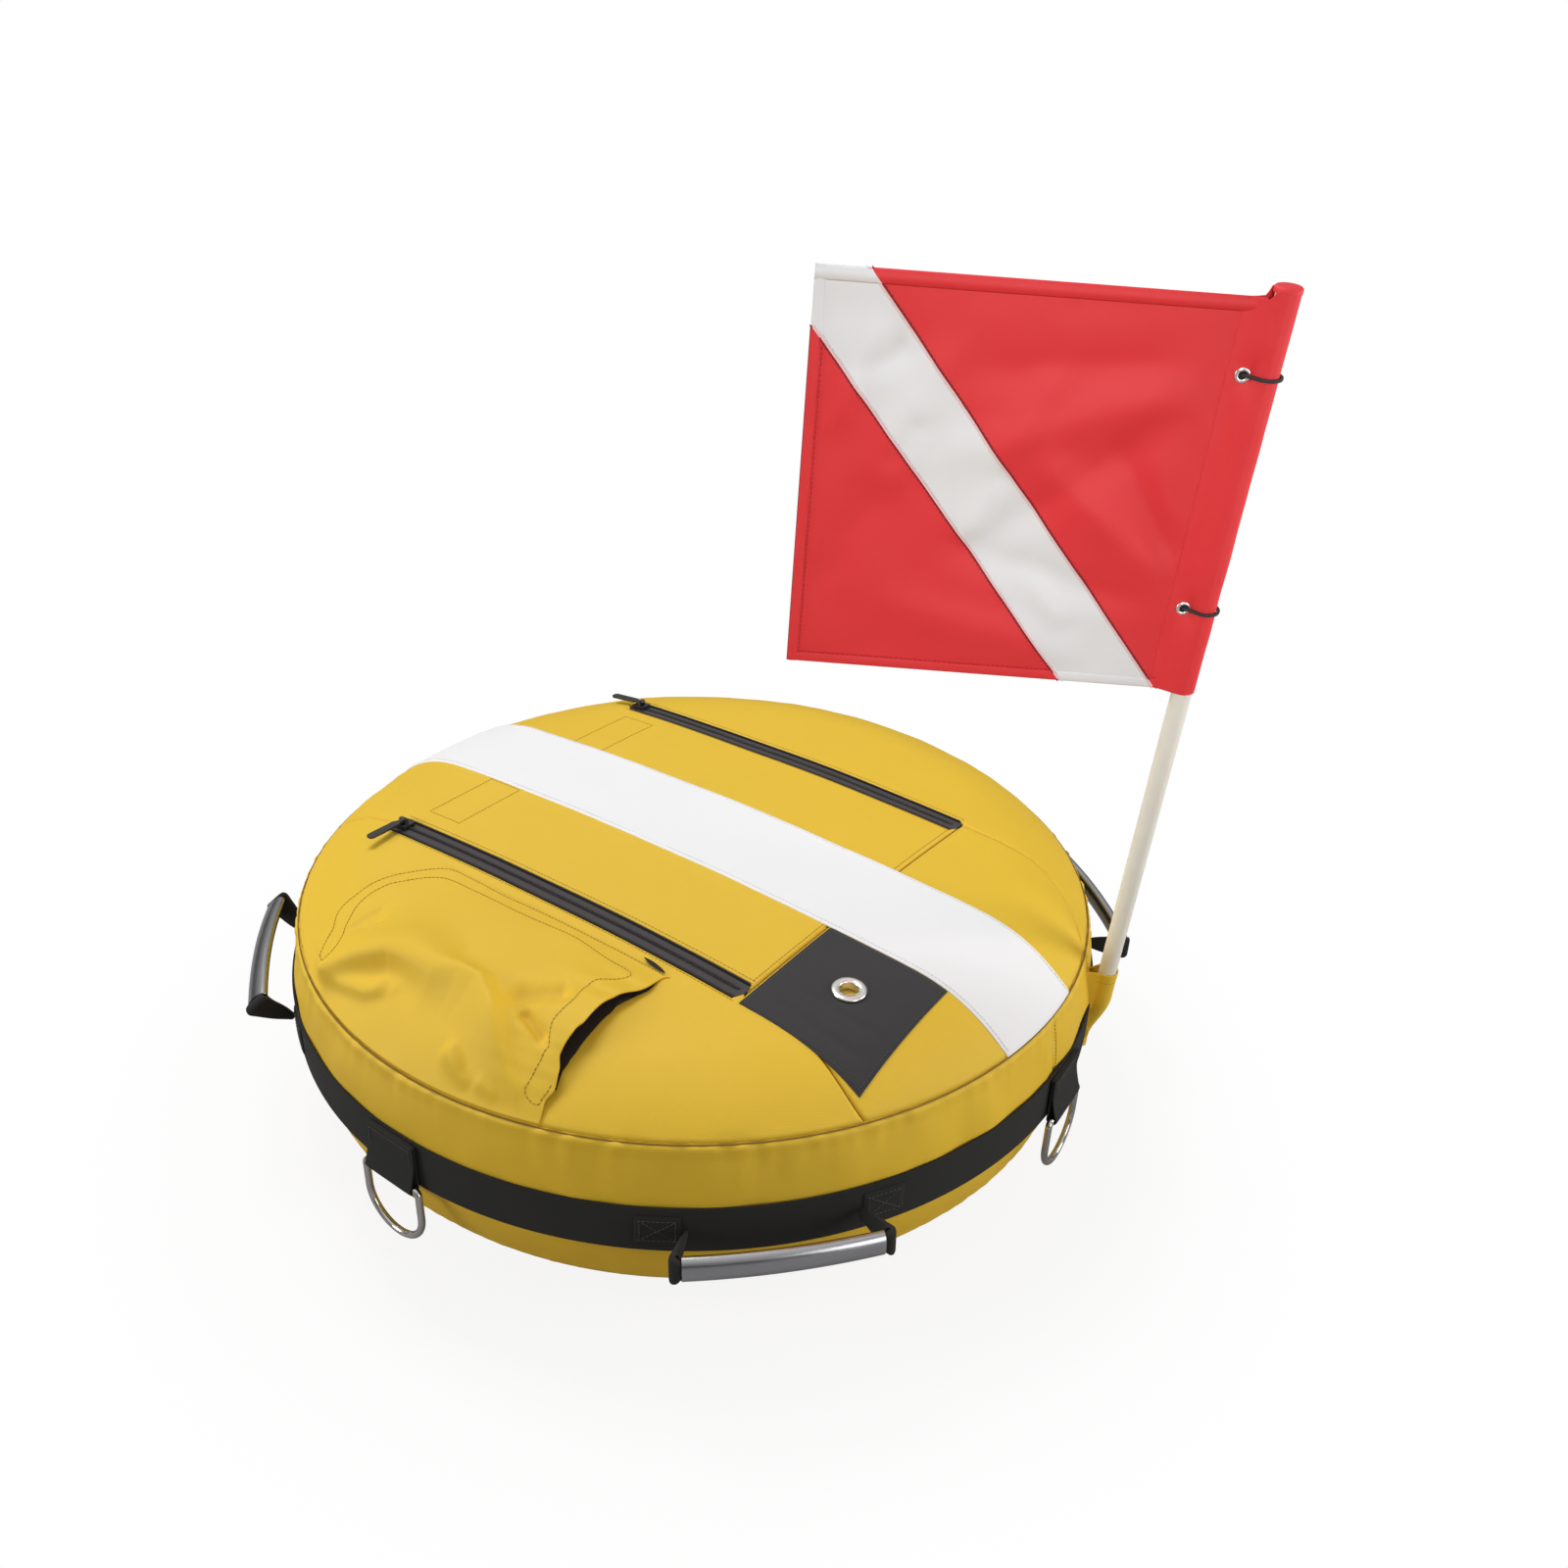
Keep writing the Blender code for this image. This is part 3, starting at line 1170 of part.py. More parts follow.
def flag_cloth():
    """The whole flag as one thick sheet with a thicker hem at its top."""
    front, back = [], []
    heights = [(FLAG_HEIGHT - HEM_DEPTH) * share for share in share_steps(FLAG_HEIGHT_STEPS)]
    heights += [FLAG_HEIGHT - HEM_DEPTH * share for share in (*HEM_FULL_SHARES, 0)]
    thicknesses = [FLAG_THICKNESS] * (FLAG_HEIGHT_STEPS + 1)
    thicknesses += [HEM_THICKNESS] * len(HEM_FULL_SHARES) + [FLAG_THICKNESS]
    for share in share_steps(FLAG_LENGTH_STEPS):
        along = between(FLAG_START, FLAG_WIDTH, share)
        front_row, back_row = [], []
        for up, thickness in zip(heights, thicknesses):
            bow = flag_bow(along, up)
            front_row.append((along, bow + thickness / 2, up))
            back_row.append((along, bow - thickness / 2, up))
        front.append(front_row)
        back.append(back_row)
    body = sheet("flag", front, back, None)
    bore_radius = STIFFENER_RADIUS + CLEARANCE
    bore = cylinder("bore", bore_radius, 0, FLAG_WIDTH + OVERRUN, SMALL_SIDES, stiffener_turn())
    return combine(body, bore, "DIFFERENCE")


def stiffener_turn():
    """Place of the stiffener in the flag's top hem: Z runs along the flag."""
    rise = FLAG_HEIGHT - STIFFENER_HEM_DROP
    return Matrix.Translation((0, 0, rise)) @ Matrix.Rotation(math.radians(90), 4, "Y")


def side_prism(corners):
    """A cutter for the flag: its corners are (along, up) pairs and it runs through the cloth."""
    depth = HEM_THICKNESS + FLAG_FOLD * 2 + OVERRUN
    knife = prism("knife", corners, -depth, depth)
    knife.data.transform(Matrix.Rotation(math.radians(90), 4, "X"))
    knife.data.update()
    return knife


def make_flag():
    frame = flag_frame()
    half_gap = SEAM_GAP / 2
    over = OVERRUN
    rise = FLAG_HEIGHT
    lean_a = (FLAG_STRIPE_TOP_START - FLAG_STRIPE_FOOT_START) / rise
    fly_rise = rise - FLAG_STRIPE_FLY_DROP
    lean_b = (FLAG_WIDTH - FLAG_STRIPE_FOOT_END) / fly_rise

    def edge_a(up, shift):
        return (FLAG_STRIPE_FOOT_START + lean_a * up + shift, up)

    def edge_b(up, shift):
        return (FLAG_STRIPE_FOOT_END + lean_b * up + shift, up)

    far = FLAG_WIDTH + over
    outlines = {
        "flag_hoist_panel": [
            (0, -over), edge_a(-over, -half_gap), edge_a(rise + over, -half_gap), (0, rise + over),
        ],
        "flag_white_stripe": [
            edge_a(-over, half_gap), edge_b(-over, -half_gap), edge_b(fly_rise + over, -half_gap),
            (far + over, rise + over), edge_a(rise + over, half_gap),
        ],
        "flag_fly_panel": [
            edge_b(-over, half_gap), (edge_b(fly_rise + over, half_gap)[0], -over),
            edge_b(fly_rise + over, half_gap),
        ],
    }
    for name, corners in outlines.items():
        panel = flag_cloth()
        panel.name = name
        combine(panel, side_prism(corners), "INTERSECT")
        if name == "flag_hoist_panel":
            for share in FLAG_EYELET_RISE_SHARES.values():
                up = FLAG_HEIGHT * share
                hole_radius = FLAG_EYELET_HOLE_RADIUS + FLAG_EYELET_FLANGE + CLEARANCE
                hole = cylinder("hole", hole_radius, -over, over, SMALL_SIDES, eyelet_tilt(up))
                combine(panel, hole, "DIFFERENCE")
        dress(panel, "flag_white" if "white" in name else "flag_red")
        panel.matrix_world = frame
    rod_start = FLAG_START + CLEARANCE
    rod_end = FLAG_WIDTH - over
    rod = cylinder("flag_stiffener", STIFFENER_RADIUS, rod_start, rod_end, SMALL_SIDES, stiffener_turn())
    dress(rod, "pole")
    rod.matrix_world = frame
    make_flag_pocket(frame)
    for name, share in FLAG_EYELET_RISE_SHARES.items():
        make_flag_eyelet(name, FLAG_HEIGHT * share, frame)
        make_flag_tie(name, FLAG_HEIGHT * share, frame)


def make_flag_pocket(frame):
    """The flag's pole pocket, closed at its top, which hangs on the pole's end."""
    bore = POLE_RADIUS + CLEARANCE
    outer = bore + FLAG_POCKET_WALL
    ceiling = FLAG_HEIGHT + FLAG_POCKET_RISE
    crown = ceiling + FLAG_POCKET_CROWN
    rings = [
        [(x, y, height) for x, y in circle(radius, SLEEVE_SIDES)]
        for radius, height in ((bore, ceiling), (bore, 0), (outer, 0), (outer, crown))
    ]
    pocket = loft("flag_pole_pocket", rings, "flag_red")
    pocket.matrix_world = frame


def make_flag_eyelet(name, up, frame):
    """A small rolled eyelet whose two flanges hold the cloth."""
    hole = FLAG_EYELET_HOLE_RADIUS
    barrel = hole + FLAG_EYELET_FLANGE
    grip = FLAG_THICKNESS / 2 + CLEARANCE
    face = grip + FLAG_EYELET_FLANGE
    section = [
        (hole, -face), (FLAG_EYELET_RADIUS, -face), (FLAG_EYELET_RADIUS, -grip), (barrel, -grip),
        (barrel, grip), (FLAG_EYELET_RADIUS, grip), (FLAG_EYELET_RADIUS, face), (hole, face),
    ]
    eyelet = revolve_small(f"flag_{name}_eyelet", section, SMALL_SIDES, "nickel")
    eyelet.matrix_world = frame @ eyelet_tilt(up)


def eyelet_tilt(up):
    """Place of a flag eyelet, square to the bowed cloth."""
    step = CLEARANCE
    place = FLAG_EYELET_PLACE
    slope_along = (flag_bow(place + step, up) - flag_bow(place - step, up)) / (2 * step)
    slope_up = (flag_bow(place, up + step) - flag_bow(place, up - step)) / (2 * step)
    normal = Vector((-slope_along, 1, -slope_up)).normalized()
    turn = normal.to_track_quat("Z", "Y").to_matrix().to_4x4()
    return Matrix.Translation((place, flag_bow(place, up), up)) @ turn


def make_flag_tie(name, up, frame):
    """A cord loop through the eyelet and round the pole pocket."""
    wide = FLAG_START + TIE_RADIUS
    grip = FLAG_THICKNESS / 2 + CLEARANCE + FLAG_EYELET_FLANGE
    narrow = grip + CLEARANCE + TIE_RADIUS
    bow = flag_bow(FLAG_EYELET_PLACE, up)
    # The loop's outer bend passes through the eyelet, so its two runs lie on either side of the cloth.
    bend = FLAG_EYELET_PLACE - narrow
    heading = math.atan2(bow, bend)
    leave = math.acos((wide - narrow) / math.hypot(bow, bend))
    path = []
    for share in share_steps(TIE_ROUND_STEPS):
        turn = heading + between(leave, math.tau - leave, share)
        path.append((wide * math.cos(turn), wide * math.sin(turn)))
    for share in share_steps(TIE_ROUND_STEPS // 2):
        turn = heading + between(-leave, leave, share)
        path.append((bend + narrow * math.cos(turn), bow + narrow * math.sin(turn)))
    rings = wire_rings(
        path, TIE_RADIUS, TIE_SIDES, lambda along, side, height: (along, side, up + height)
    )
    tie = loft(f"flag_{name}_tie", rings, "cord", closed=True)
    tie.matrix_world = frame


def main():
    clear_scene()
    make_cover()
    make_belt()
    make_stripe()
    make_patch()
    for side_name, side in SIDES.items():
        make_zip_band(side_name, side)
    make_zip_slider("near", SIDES["near"], -90)
    make_zip_slider("far", SIDES["far"], 180)
    make_pocket()
    make_inner_tube()
    for name, azimuth in HANDLE_AZIMUTHS.items():
        make_handle(name, azimuth)
    for name, azimuth in RING_AZIMUTHS.items():
        make_ring(name, azimuth)
    make_sleeve()
    make_pole()
    make_flag()


main()
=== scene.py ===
# %% [markdown]
# # A dive flag float
#
# A diver tows this float: an inflated tube in a sewn cloth cover, with webbing handles, steel rings,
# a pocket, and a flag on a pole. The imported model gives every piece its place. This lesson dresses
# those pieces: cloth with seams and stitches, woven webbing, steel, plastic and a flag that hangs in
# soft folds.

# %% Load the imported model
import math

import bmesh
import bpy
import numpy as np
from mathutils import Matrix, Vector, noise


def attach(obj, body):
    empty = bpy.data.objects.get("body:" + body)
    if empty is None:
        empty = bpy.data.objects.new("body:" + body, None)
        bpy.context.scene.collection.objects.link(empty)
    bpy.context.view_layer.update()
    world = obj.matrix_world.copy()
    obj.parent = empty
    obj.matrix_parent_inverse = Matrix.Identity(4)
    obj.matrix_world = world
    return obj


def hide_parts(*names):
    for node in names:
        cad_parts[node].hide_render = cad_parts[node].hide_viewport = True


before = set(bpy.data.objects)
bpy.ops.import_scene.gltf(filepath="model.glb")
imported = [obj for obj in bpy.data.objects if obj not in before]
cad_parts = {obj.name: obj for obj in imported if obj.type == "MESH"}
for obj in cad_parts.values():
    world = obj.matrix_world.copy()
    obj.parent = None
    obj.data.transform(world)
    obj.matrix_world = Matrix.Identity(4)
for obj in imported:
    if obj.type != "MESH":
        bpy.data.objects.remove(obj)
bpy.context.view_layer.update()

MM = 0.001

# %% [markdown]
# ## The camera
#
# A camera can be solved from the picture's known shapes: here the round belt and the upright pole.
# The result is a place, a direction and a lens. Building the turn from the forward and up vectors keeps
# its three axes square to each other.

# %% Camera
CAMERA_PLACE = Vector((0.6593, -0.8099, 0.8654))
CAMERA_FORWARD = Vector((-0.5047, 0.7138, -0.4856)).normalized()
CAMERA_UP = Vector((-0.3141, 0.3721, 0.8734))
CAMERA_LENS_MM = 32.09
SENSOR_MM = 36


def make_camera():
    data = bpy.data.cameras.new("camera")
    data.lens = CAMERA_LENS_MM
    data.sensor_width = SENSOR_MM
    data.clip_start = 10 * MM
    camera = bpy.data.objects.new("camera", data)
    bpy.context.scene.collection.objects.link(camera)
    right = CAMERA_FORWARD.cross(CAMERA_UP).normalized()
    up = right.cross(CAMERA_FORWARD)
    turn = Matrix((right, up, -CAMERA_FORWARD)).transposed().to_4x4()
    camera.matrix_world = Matrix.Translation(CAMERA_PLACE) @ turn
    bpy.context.scene.camera = camera


make_camera()
print("camera lens:", CAMERA_LENS_MM, "mm")

# %% [markdown]
# ## Sizes shared with the model
#
# These lengths repeat the ones that the model was built from, so that each finished piece lies exactly
# where its plain solid lies.

# %% Sizes of the float
FLOAT_RADIUS = 350 * MM
BELT_HEIGHT = 125 * MM
BELT_WIDTH = 40 * MM
BELT_THICKNESS = 2 * MM
CLEARANCE = 0.3 * MM
CROWN_RISE = 118.4 * MM
CROWN_SPHERE_RADIUS = 3500 * MM
CROWN_EDGE_RADIUS = 250 * MM
UPPER_SEAM_RADIUS = 339 * MM
UPPER_SEAM_RISE = 69 * MM
UPPER_GUSSET_BULGE = 2.5 * MM
LOWER_SEAM_RADIUS = 332 * MM
LOWER_SEAM_DROP = 67 * MM
LOWER_GUSSET_BULGE = 3 * MM
BASE_RADIUS = 205 * MM
ROUNDNESS = 2.4
CLOTH_RADIUS = FLOAT_RADIUS - BELT_THICKNESS - CLEARANCE
SPHERE_CENTRE_HEIGHT = BELT_HEIGHT + CROWN_RISE - CROWN_SPHERE_RADIUS


def sphere_height(radius):
    return SPHERE_CENTRE_HEIGHT + math.sqrt(CROWN_SPHERE_RADIUS ** 2 - radius ** 2)


def crown_height(radius):
    """Height of the cloth over the top of the float."""
    if radius <= CROWN_EDGE_RADIUS:
        return sphere_height(radius)
    reach = (radius - CROWN_EDGE_RADIUS) / (UPPER_SEAM_RADIUS - CROWN_EDGE_RADIUS)
    drop = sphere_height(UPPER_SEAM_RADIUS) - BELT_HEIGHT - UPPER_SEAM_RISE
    return sphere_height(radius) - drop * reach ** ROUNDNESS


def base_height(radius):
    if radius <= BASE_RADIUS:
        return 0
    reach = (radius - BASE_RADIUS) / (LOWER_SEAM_RADIUS - BASE_RADIUS)
    return (BELT_HEIGHT - LOWER_SEAM_DROP) * reach ** ROUNDNESS


def polar(radius, azimuth):
    turn = math.radians(azimuth)
    return radius * math.cos(turn), radius * math.sin(turn)


def between(start, end, share):
    return start + (end - start) * share


def smooth_share(value):
    value = min(1, max(0, value))
    return value * value * (3 - 2 * value)


def belt_frame(azimuth, radius=FLOAT_RADIUS, height=BELT_HEIGHT):
    """A frame on the belt: X points outwards, Y along the belt and Z up."""
    turn = Matrix.Rotation(math.radians(azimuth), 4, "Z")
    return turn @ Matrix.Translation((radius, 0, height))


print("crown height:", round(crown_height(0) / MM, 1), "mm")

# %% [markdown]
# ## Woven cloth, webbing and metal
#
# One shader group draws a plain weave from each piece's own chart of the flat cloth, in metres, so the
# threads keep their size and follow the cloth round its curves. It also puts out a slow change of tone,
# because dyed cloth is never quite even. Each cloth places the group with its own pitch and colours.

# %% The weave group
CHART = "cloth"
BROAD_TONE = (11, 5)
FINE_TONE = (520, 3)


def add_node(tree, kind, inputs=None, **values):
    """A node with its settings. Each input is given a value, or the output that is linked to it."""
    node = tree.nodes.new(kind)
    for name, value in values.items():
        setattr(node, name, value)
    for socket, value in (inputs or {}).items():
        if isinstance(value, bpy.types.NodeSocket):
            tree.links.new(value, node.inputs[socket])
        else:
            node.inputs[socket].default_value = value
    return node


def math_node(tree, operation, *values):
    return add_node(tree, "ShaderNodeMath", dict(enumerate(values)), operation=operation).outputs[0]


def noise_node(tree, place, scale, detail):
    inputs = {"Vector": place, "Scale": scale, "Detail": detail}
    return add_node(tree, "ShaderNodeTexNoise", inputs).outputs["Fac"]


def mix_node(tree, share, first, second, **values):
    """A colour between two others, each of them three values or a node's output."""
    first, second = ((*end, 1) if isinstance(end, tuple) else end for end in (first, second))
    inputs = {0: share, 6: first, 7: second}
    return add_node(tree, "ShaderNodeMix", inputs, data_type="RGBA", **values).outputs[2]


def new_group(name, inputs, outputs):
    tree = bpy.data.node_groups.new(name, "ShaderNodeTree")
    for socket, kind, value in inputs:
        made = tree.interface.new_socket(socket, in_out="INPUT", socket_type=kind)
        made.default_value = value
    for socket, kind in outputs:
        tree.interface.new_socket(socket, in_out="OUTPUT", socket_type=kind)
    return tree, tree.nodes.new("NodeGroupInput"), tree.nodes.new("NodeGroupOutput")


def make_weave_group():
    tree, given, result = new_group(
        "woven_threads",
        [
            ("Chart", "NodeSocketVector", (0, 0, 0)),
            ("Pitch", "NodeSocketFloat", 1 * MM),
            ("Rib", "NodeSocketFloat", 1.0),
            ("Light", "NodeSocketColor", (0.8, 0.8, 0.8, 1)),
            ("Dark", "NodeSocketColor", (0.4, 0.4, 0.4, 1)),
            ("Unevenness", "NodeSocketFloat", 0.2),
        ],
        [("Color", "NodeSocketColor"), ("Height", "NodeSocketFloat")],
    )
    chart, pitch = given.outputs["Chart"], given.outputs["Pitch"]
    split = add_node(tree, "ShaderNodeSeparateXYZ", {0: chart})
    waves = []
    for axis, width in (("X", pitch), ("Y", math_node(tree, "MULTIPLY", pitch, given.outputs["Rib"]))):
        turns = math_node(tree, "DIVIDE", split.outputs[axis], width)
        waves.append(math_node(tree, "SINE", math_node(tree, "MULTIPLY", turns, math.tau)))
    height = math_node(tree, "MULTIPLY_ADD", math_node(tree, "MULTIPLY", *waves), 0.5, 0.5)
    fine = math_node(tree, "MULTIPLY", noise_node(tree, chart, *FINE_TONE), 0.8)
    tone = math_node(tree, "ADD", noise_node(tree, chart, *BROAD_TONE), fine)
    tone = math_node(tree, "MULTIPLY", math_node(tree, "SUBTRACT", tone, 0.9), given.outputs["Unevenness"])
    threads = math_node(tree, "MULTIPLY", height, 0.35)
    shade = math_node(tree, "ADD", math_node(tree, "ADD", threads, 0.5), tone)
    colour = mix_node(tree, shade, given.outputs["Dark"], given.outputs["Light"], clamp_factor=True)
    tree.links.new(colour, result.inputs["Color"])
    tree.links.new(height, result.inputs["Height"])
    return tree


WEAVE = make_weave_group()
print("group:", WEAVE.name)

# %% Cloth materials


def new_material(name, roughness, **constants):
    material = bpy.data.materials.new(name)
    material.use_nodes = True
    shader = material.node_tree.nodes["Principled BSDF"]
    shader.inputs["Roughness"].default_value = roughness
    for socket, value in constants.items():
        shader.inputs[socket.replace("_", " ")].default_value = value
    return material, material.node_tree, shader


def add_bump(tree, shader, height, distance, strength):
    bump = add_node(tree, "ShaderNodeBump", {"Height": height, "Distance": distance, "Strength": strength})
    tree.links.new(bump.outputs[0], shader.inputs["Normal"])


def woven(name, light, dark, pitch, rib=1.0, roughness=0.8, depth=0.15 * MM, unevenness=0.2):
    """A woven cloth whose threads follow the piece's chart."""
    material, tree, shader = new_material(name, roughness)
    threads = add_node(tree, "ShaderNodeGroup", {
        "Chart": add_node(tree, "ShaderNodeUVMap", uv_map=CHART).outputs[0],
        "Pitch": pitch, "Rib": rib, "Unevenness": unevenness,
        "Light": (*light, 1), "Dark": (*dark, 1),
    }, node_tree=WEAVE)
    tree.links.new(threads.outputs["Color"], shader.inputs["Base Color"])
    add_bump(tree, shader, threads.outputs["Height"], depth, 0.6)
    return material


COVER = woven("cover_cloth", (0.85, 0.565, 0.034), (0.73, 0.44, 0.015), 1.0 * MM,
              roughness=0.62, unevenness=0.28)
# A near-black cloth that stands for painted shade: inside the pocket's mouth, in its corner slit and in the
# flag's eyelet holes.
PAINTED_SHADE = woven("painted_shade_cloth", (0.020, 0.012, 0.008), (0.012, 0.007, 0.005), 1.0 * MM, roughness=0.95)
WEBBING = woven("black_webbing", (0.013, 0.013, 0.011), (0.005, 0.005, 0.004), 1.6 * MM, rib=0.5, roughness=0.9,
                depth=0.3 * MM)
PATCH = woven("patch_cloth", (0.042, 0.040, 0.041), (0.024, 0.023, 0.024), 0.9 * MM, roughness=0.9)
STRIPE = woven("stripe_cloth", (0.95, 0.95, 0.95), (0.89, 0.89, 0.90), 1.0 * MM, unevenness=0.1)
ZIP_TAPE = woven("zip_tape", (0.066, 0.056, 0.057), (0.034, 0.028, 0.029), 1.1 * MM, rib=2.4, depth=0.3 * MM)
FLAG_RED = woven("flag_red", (0.82, 0.034, 0.042), (0.72, 0.024, 0.030), 0.5 * MM, roughness=0.6,
                 depth=0.04 * MM)
FLAG_WHITE = woven("flag_white", (0.86, 0.86, 0.88), (0.78, 0.78, 0.81), 0.5 * MM, roughness=0.5,
                   depth=0.04 * MM, unevenness=0.15)
print("cloths:", len(bpy.data.materials))

# %% Metal, plastic and thread materials


def brushed(name, colour, roughness, grain_scale, stretch):
    """Metal with fine lines along one direction of the piece's chart."""
    material, tree, shader = new_material(name, roughness, Metallic=1.0)
    chart = add_node(tree, "ShaderNodeUVMap", uv_map=CHART).outputs[0]
    lines = add_node(tree, "ShaderNodeMapping", {"Vector": chart, "Scale": stretch}).outputs[0]
    grain = noise_node(tree, lines, grain_scale, 4)
    rough = math_node(tree, "MULTIPLY_ADD", grain, roughness, roughness / 2)
    tree.links.new(rough, shader.inputs["Roughness"])
    tinted = mix_node(tree, grain, tuple(value * 0.8 for value in colour), colour)
    tree.links.new(tinted, shader.inputs["Base Color"])
    return material


def speckled(name, light, dark, scale, roughness, depth=0.0, **constants):
    """A moulded or painted surface with a faint mottle on object coordinates."""
    material, tree, shader = new_material(name, roughness, **constants)
    grain = noise_node(tree, add_node(tree, "ShaderNodeTexCoord").outputs["Object"], scale, 4)
    tree.links.new(mix_node(tree, grain, dark, light), shader.inputs["Base Color"])
    if depth:
        add_bump(tree, shader, grain, depth, 0.4)
    return material


GRIP_STEEL = brushed("grip_steel", (0.42, 0.42, 0.43), 0.24, 900, (1, 0.03, 1))
RING_STEEL = brushed("ring_steel", (0.58, 0.56, 0.53), 0.14, 500, (1, 0.1, 1))
NICKEL = speckled("nickel", (0.86, 0.84, 0.80), (0.76, 0.74, 0.70), 300, 0.25, Metallic=1.0)
# Near-black painted shade for the edges of each zip.
ZIP_EDGE_SHADE = speckled("zip_edge_painted_shade", (0.012, 0.010, 0.010), (0.008, 0.007, 0.007), 400, 0.9)
ZIP_METAL = speckled("zip_metal", (0.10, 0.10, 0.105), (0.05, 0.05, 0.055), 400, 0.35, Metallic=0.85)
ZIP_TEETH = speckled("zip_teeth", (0.030, 0.026, 0.026), (0.016, 0.014, 0.014), 600, 0.5)
POLE = speckled("pole_plastic", (0.93, 0.88, 0.81), (0.89, 0.83, 0.75), 40, 0.35,
                Subsurface_Weight=0.3, Subsurface_Scale=4 * MM)
ROD = speckled("rod_plastic", (0.85, 0.85, 0.85), (0.8, 0.8, 0.8), 60, 0.4)
TUBE = speckled("tube_vinyl", (0.85, 0.58, 0.10), (0.78, 0.50, 0.07), 30, 0.38)
RUBBER = speckled("valve_rubber", (0.04, 0.04, 0.04), (0.025, 0.025, 0.025), 200, 0.6)
# Dark brown that paints the shade at the bottom of the cover's seams.
SEAM_SHADE = speckled("seam_painted_shade", (0.27, 0.155, 0.018), (0.20, 0.115, 0.012), 700, 0.8)
COVER_THREAD = speckled("cover_thread", (0.42, 0.25, 0.026), (0.33, 0.19, 0.018), 700, 0.7)
BLACK_THREAD = speckled("black_thread", (0.075, 0.078, 0.075), (0.045, 0.047, 0.045), 700, 0.7)
WHITE_THREAD = speckled("white_thread", (0.80, 0.80, 0.80), (0.68, 0.68, 0.68), 700, 0.7)
RED_THREAD = speckled("red_thread", (0.45, 0.012, 0.02), (0.35, 0.01, 0.015), 700, 0.6)
DARK_RED = speckled("seam_dark_red", (0.26, 0.012, 0.02), (0.20, 0.008, 0.014), 500, 0.7)
PINK = speckled("seam_pink", (0.90, 0.62, 0.63), (0.86, 0.52, 0.54), 500, 0.7)
CORD = speckled("tie_cord", (0.04, 0.04, 0.04), (0.015, 0.015, 0.015), 900, 0.75, depth=0.2 * MM)
print("materials:", len(bpy.data.materials))

# %% [markdown]
# ## Helpers that make meshes
#
# Cloth is a grid of points with a chart. Webbing, wire and tubes are lofts: one section after another
# along a path. Both helpers write the chart in metres, which is what the weave reads.

# %% Grid and loft helpers


def new_piece(name, points, faces, charts, material):
    """An object from points, faces and one chart place for each face corner."""
    mesh = bpy.data.meshes.new(name)
    mesh.from_pydata([tuple(point) for point in points], [], faces)
    layer = mesh.uv_layers.new(name=CHART)
    layer.data.foreach_set("uv", np.array(charts, dtype=np.float32).ravel())
    mesh.materials.append(material)
    mesh.shade_smooth()
    piece = bpy.data.objects.new(name, mesh)
    bpy.context.scene.collection.objects.link(piece)
    return piece


def steps(length, coarse, fine=(0.5 * MM, 1.1 * MM, 2 * MM, 3.5 * MM, 6 * MM)):
    """Shares along a length: close together near both ends and even between them."""
    edge = [value / length for value in fine if value < length / 4]
    inner_start = edge[-1] if edge else 0
    count = max(2, round(length * (1 - 2 * inner_start) / coarse))
    inner = [between(inner_start, 1 - inner_start, index / count) for index in range(1, count)]
    return [0] + edge + inner + [1 - value for value in reversed(edge)] + [1]


def even(count):
    return [index / count for index in range(count + 1)]


def circle(count):
    """Points evenly round a circle of radius 1."""
    turns = [math.tau * index / count for index in range(count)]
    return [(math.cos(turn), math.sin(turn)) for turn in turns]


def arc(x, y, across, up, start, end, count):
    """Points about (x, y), with a half-width and a half-height, from one turn to another in degrees."""
    turns = [math.radians(between(start, end, share)) for share in even(count)]
    return [(x + across * math.cos(turn), y + up * math.sin(turn)) for turn in turns]


def cells(rows, columns):
    """The four corners of each cell of a grid, as pairs of a row and a column."""
    for row in range(rows):
        for column in range(columns):
            yield (row, column), (row, column + 1), (row + 1, column + 1), (row + 1, column)


def grid_piece(name, rows, columns, place, material, closed=False, towards=None, skin=0.0):
    """A cloth grid: place(row, column) gives a point and its chart place.

    A closed grid joins its last column to its first. Faces point away from the place in towards."""
    unique = len(columns) - 1 if closed else len(columns)
    points, charts = [], []
    for row in rows:
        made = [place(row, column) for column in columns]
        points.extend(point for point, _ in made[:unique])
        charts.extend(chart for _, chart in made)
    faces, corners = [], []
    for cell in cells(len(rows) - 1, len(columns) - 1):
        faces.append([row * unique + column % unique for row, column in cell])
        corners.extend(charts[row * len(columns) + column] for row, column in cell)
    piece = new_piece(name, points, faces, corners, material)
    if towards is not None:
        face_away(piece, towards)
    if skin:
        thicken(piece, skin)
    return piece


def face_away(piece, middle):
    """Turn a piece's faces so that they point away from a point inside it."""
    mesh = piece.data
    total = sum((face.center - Vector(middle)).dot(face.normal) * face.area for face in mesh.polygons)
    if total < 0:
        mesh.flip_normals()


def thicken(piece, thickness, offset=-1):
    skin = piece.modifiers.new("skin", "SOLIDIFY")
    skin.thickness = thickness
    skin.offset = offset


def edit_mesh(piece, change):
    """Change a piece's mesh by a function of its bmesh."""
    work = bmesh.new()
    work.from_mesh(piece.data)
    change(work)
    work.to_mesh(piece.data)
    work.free()


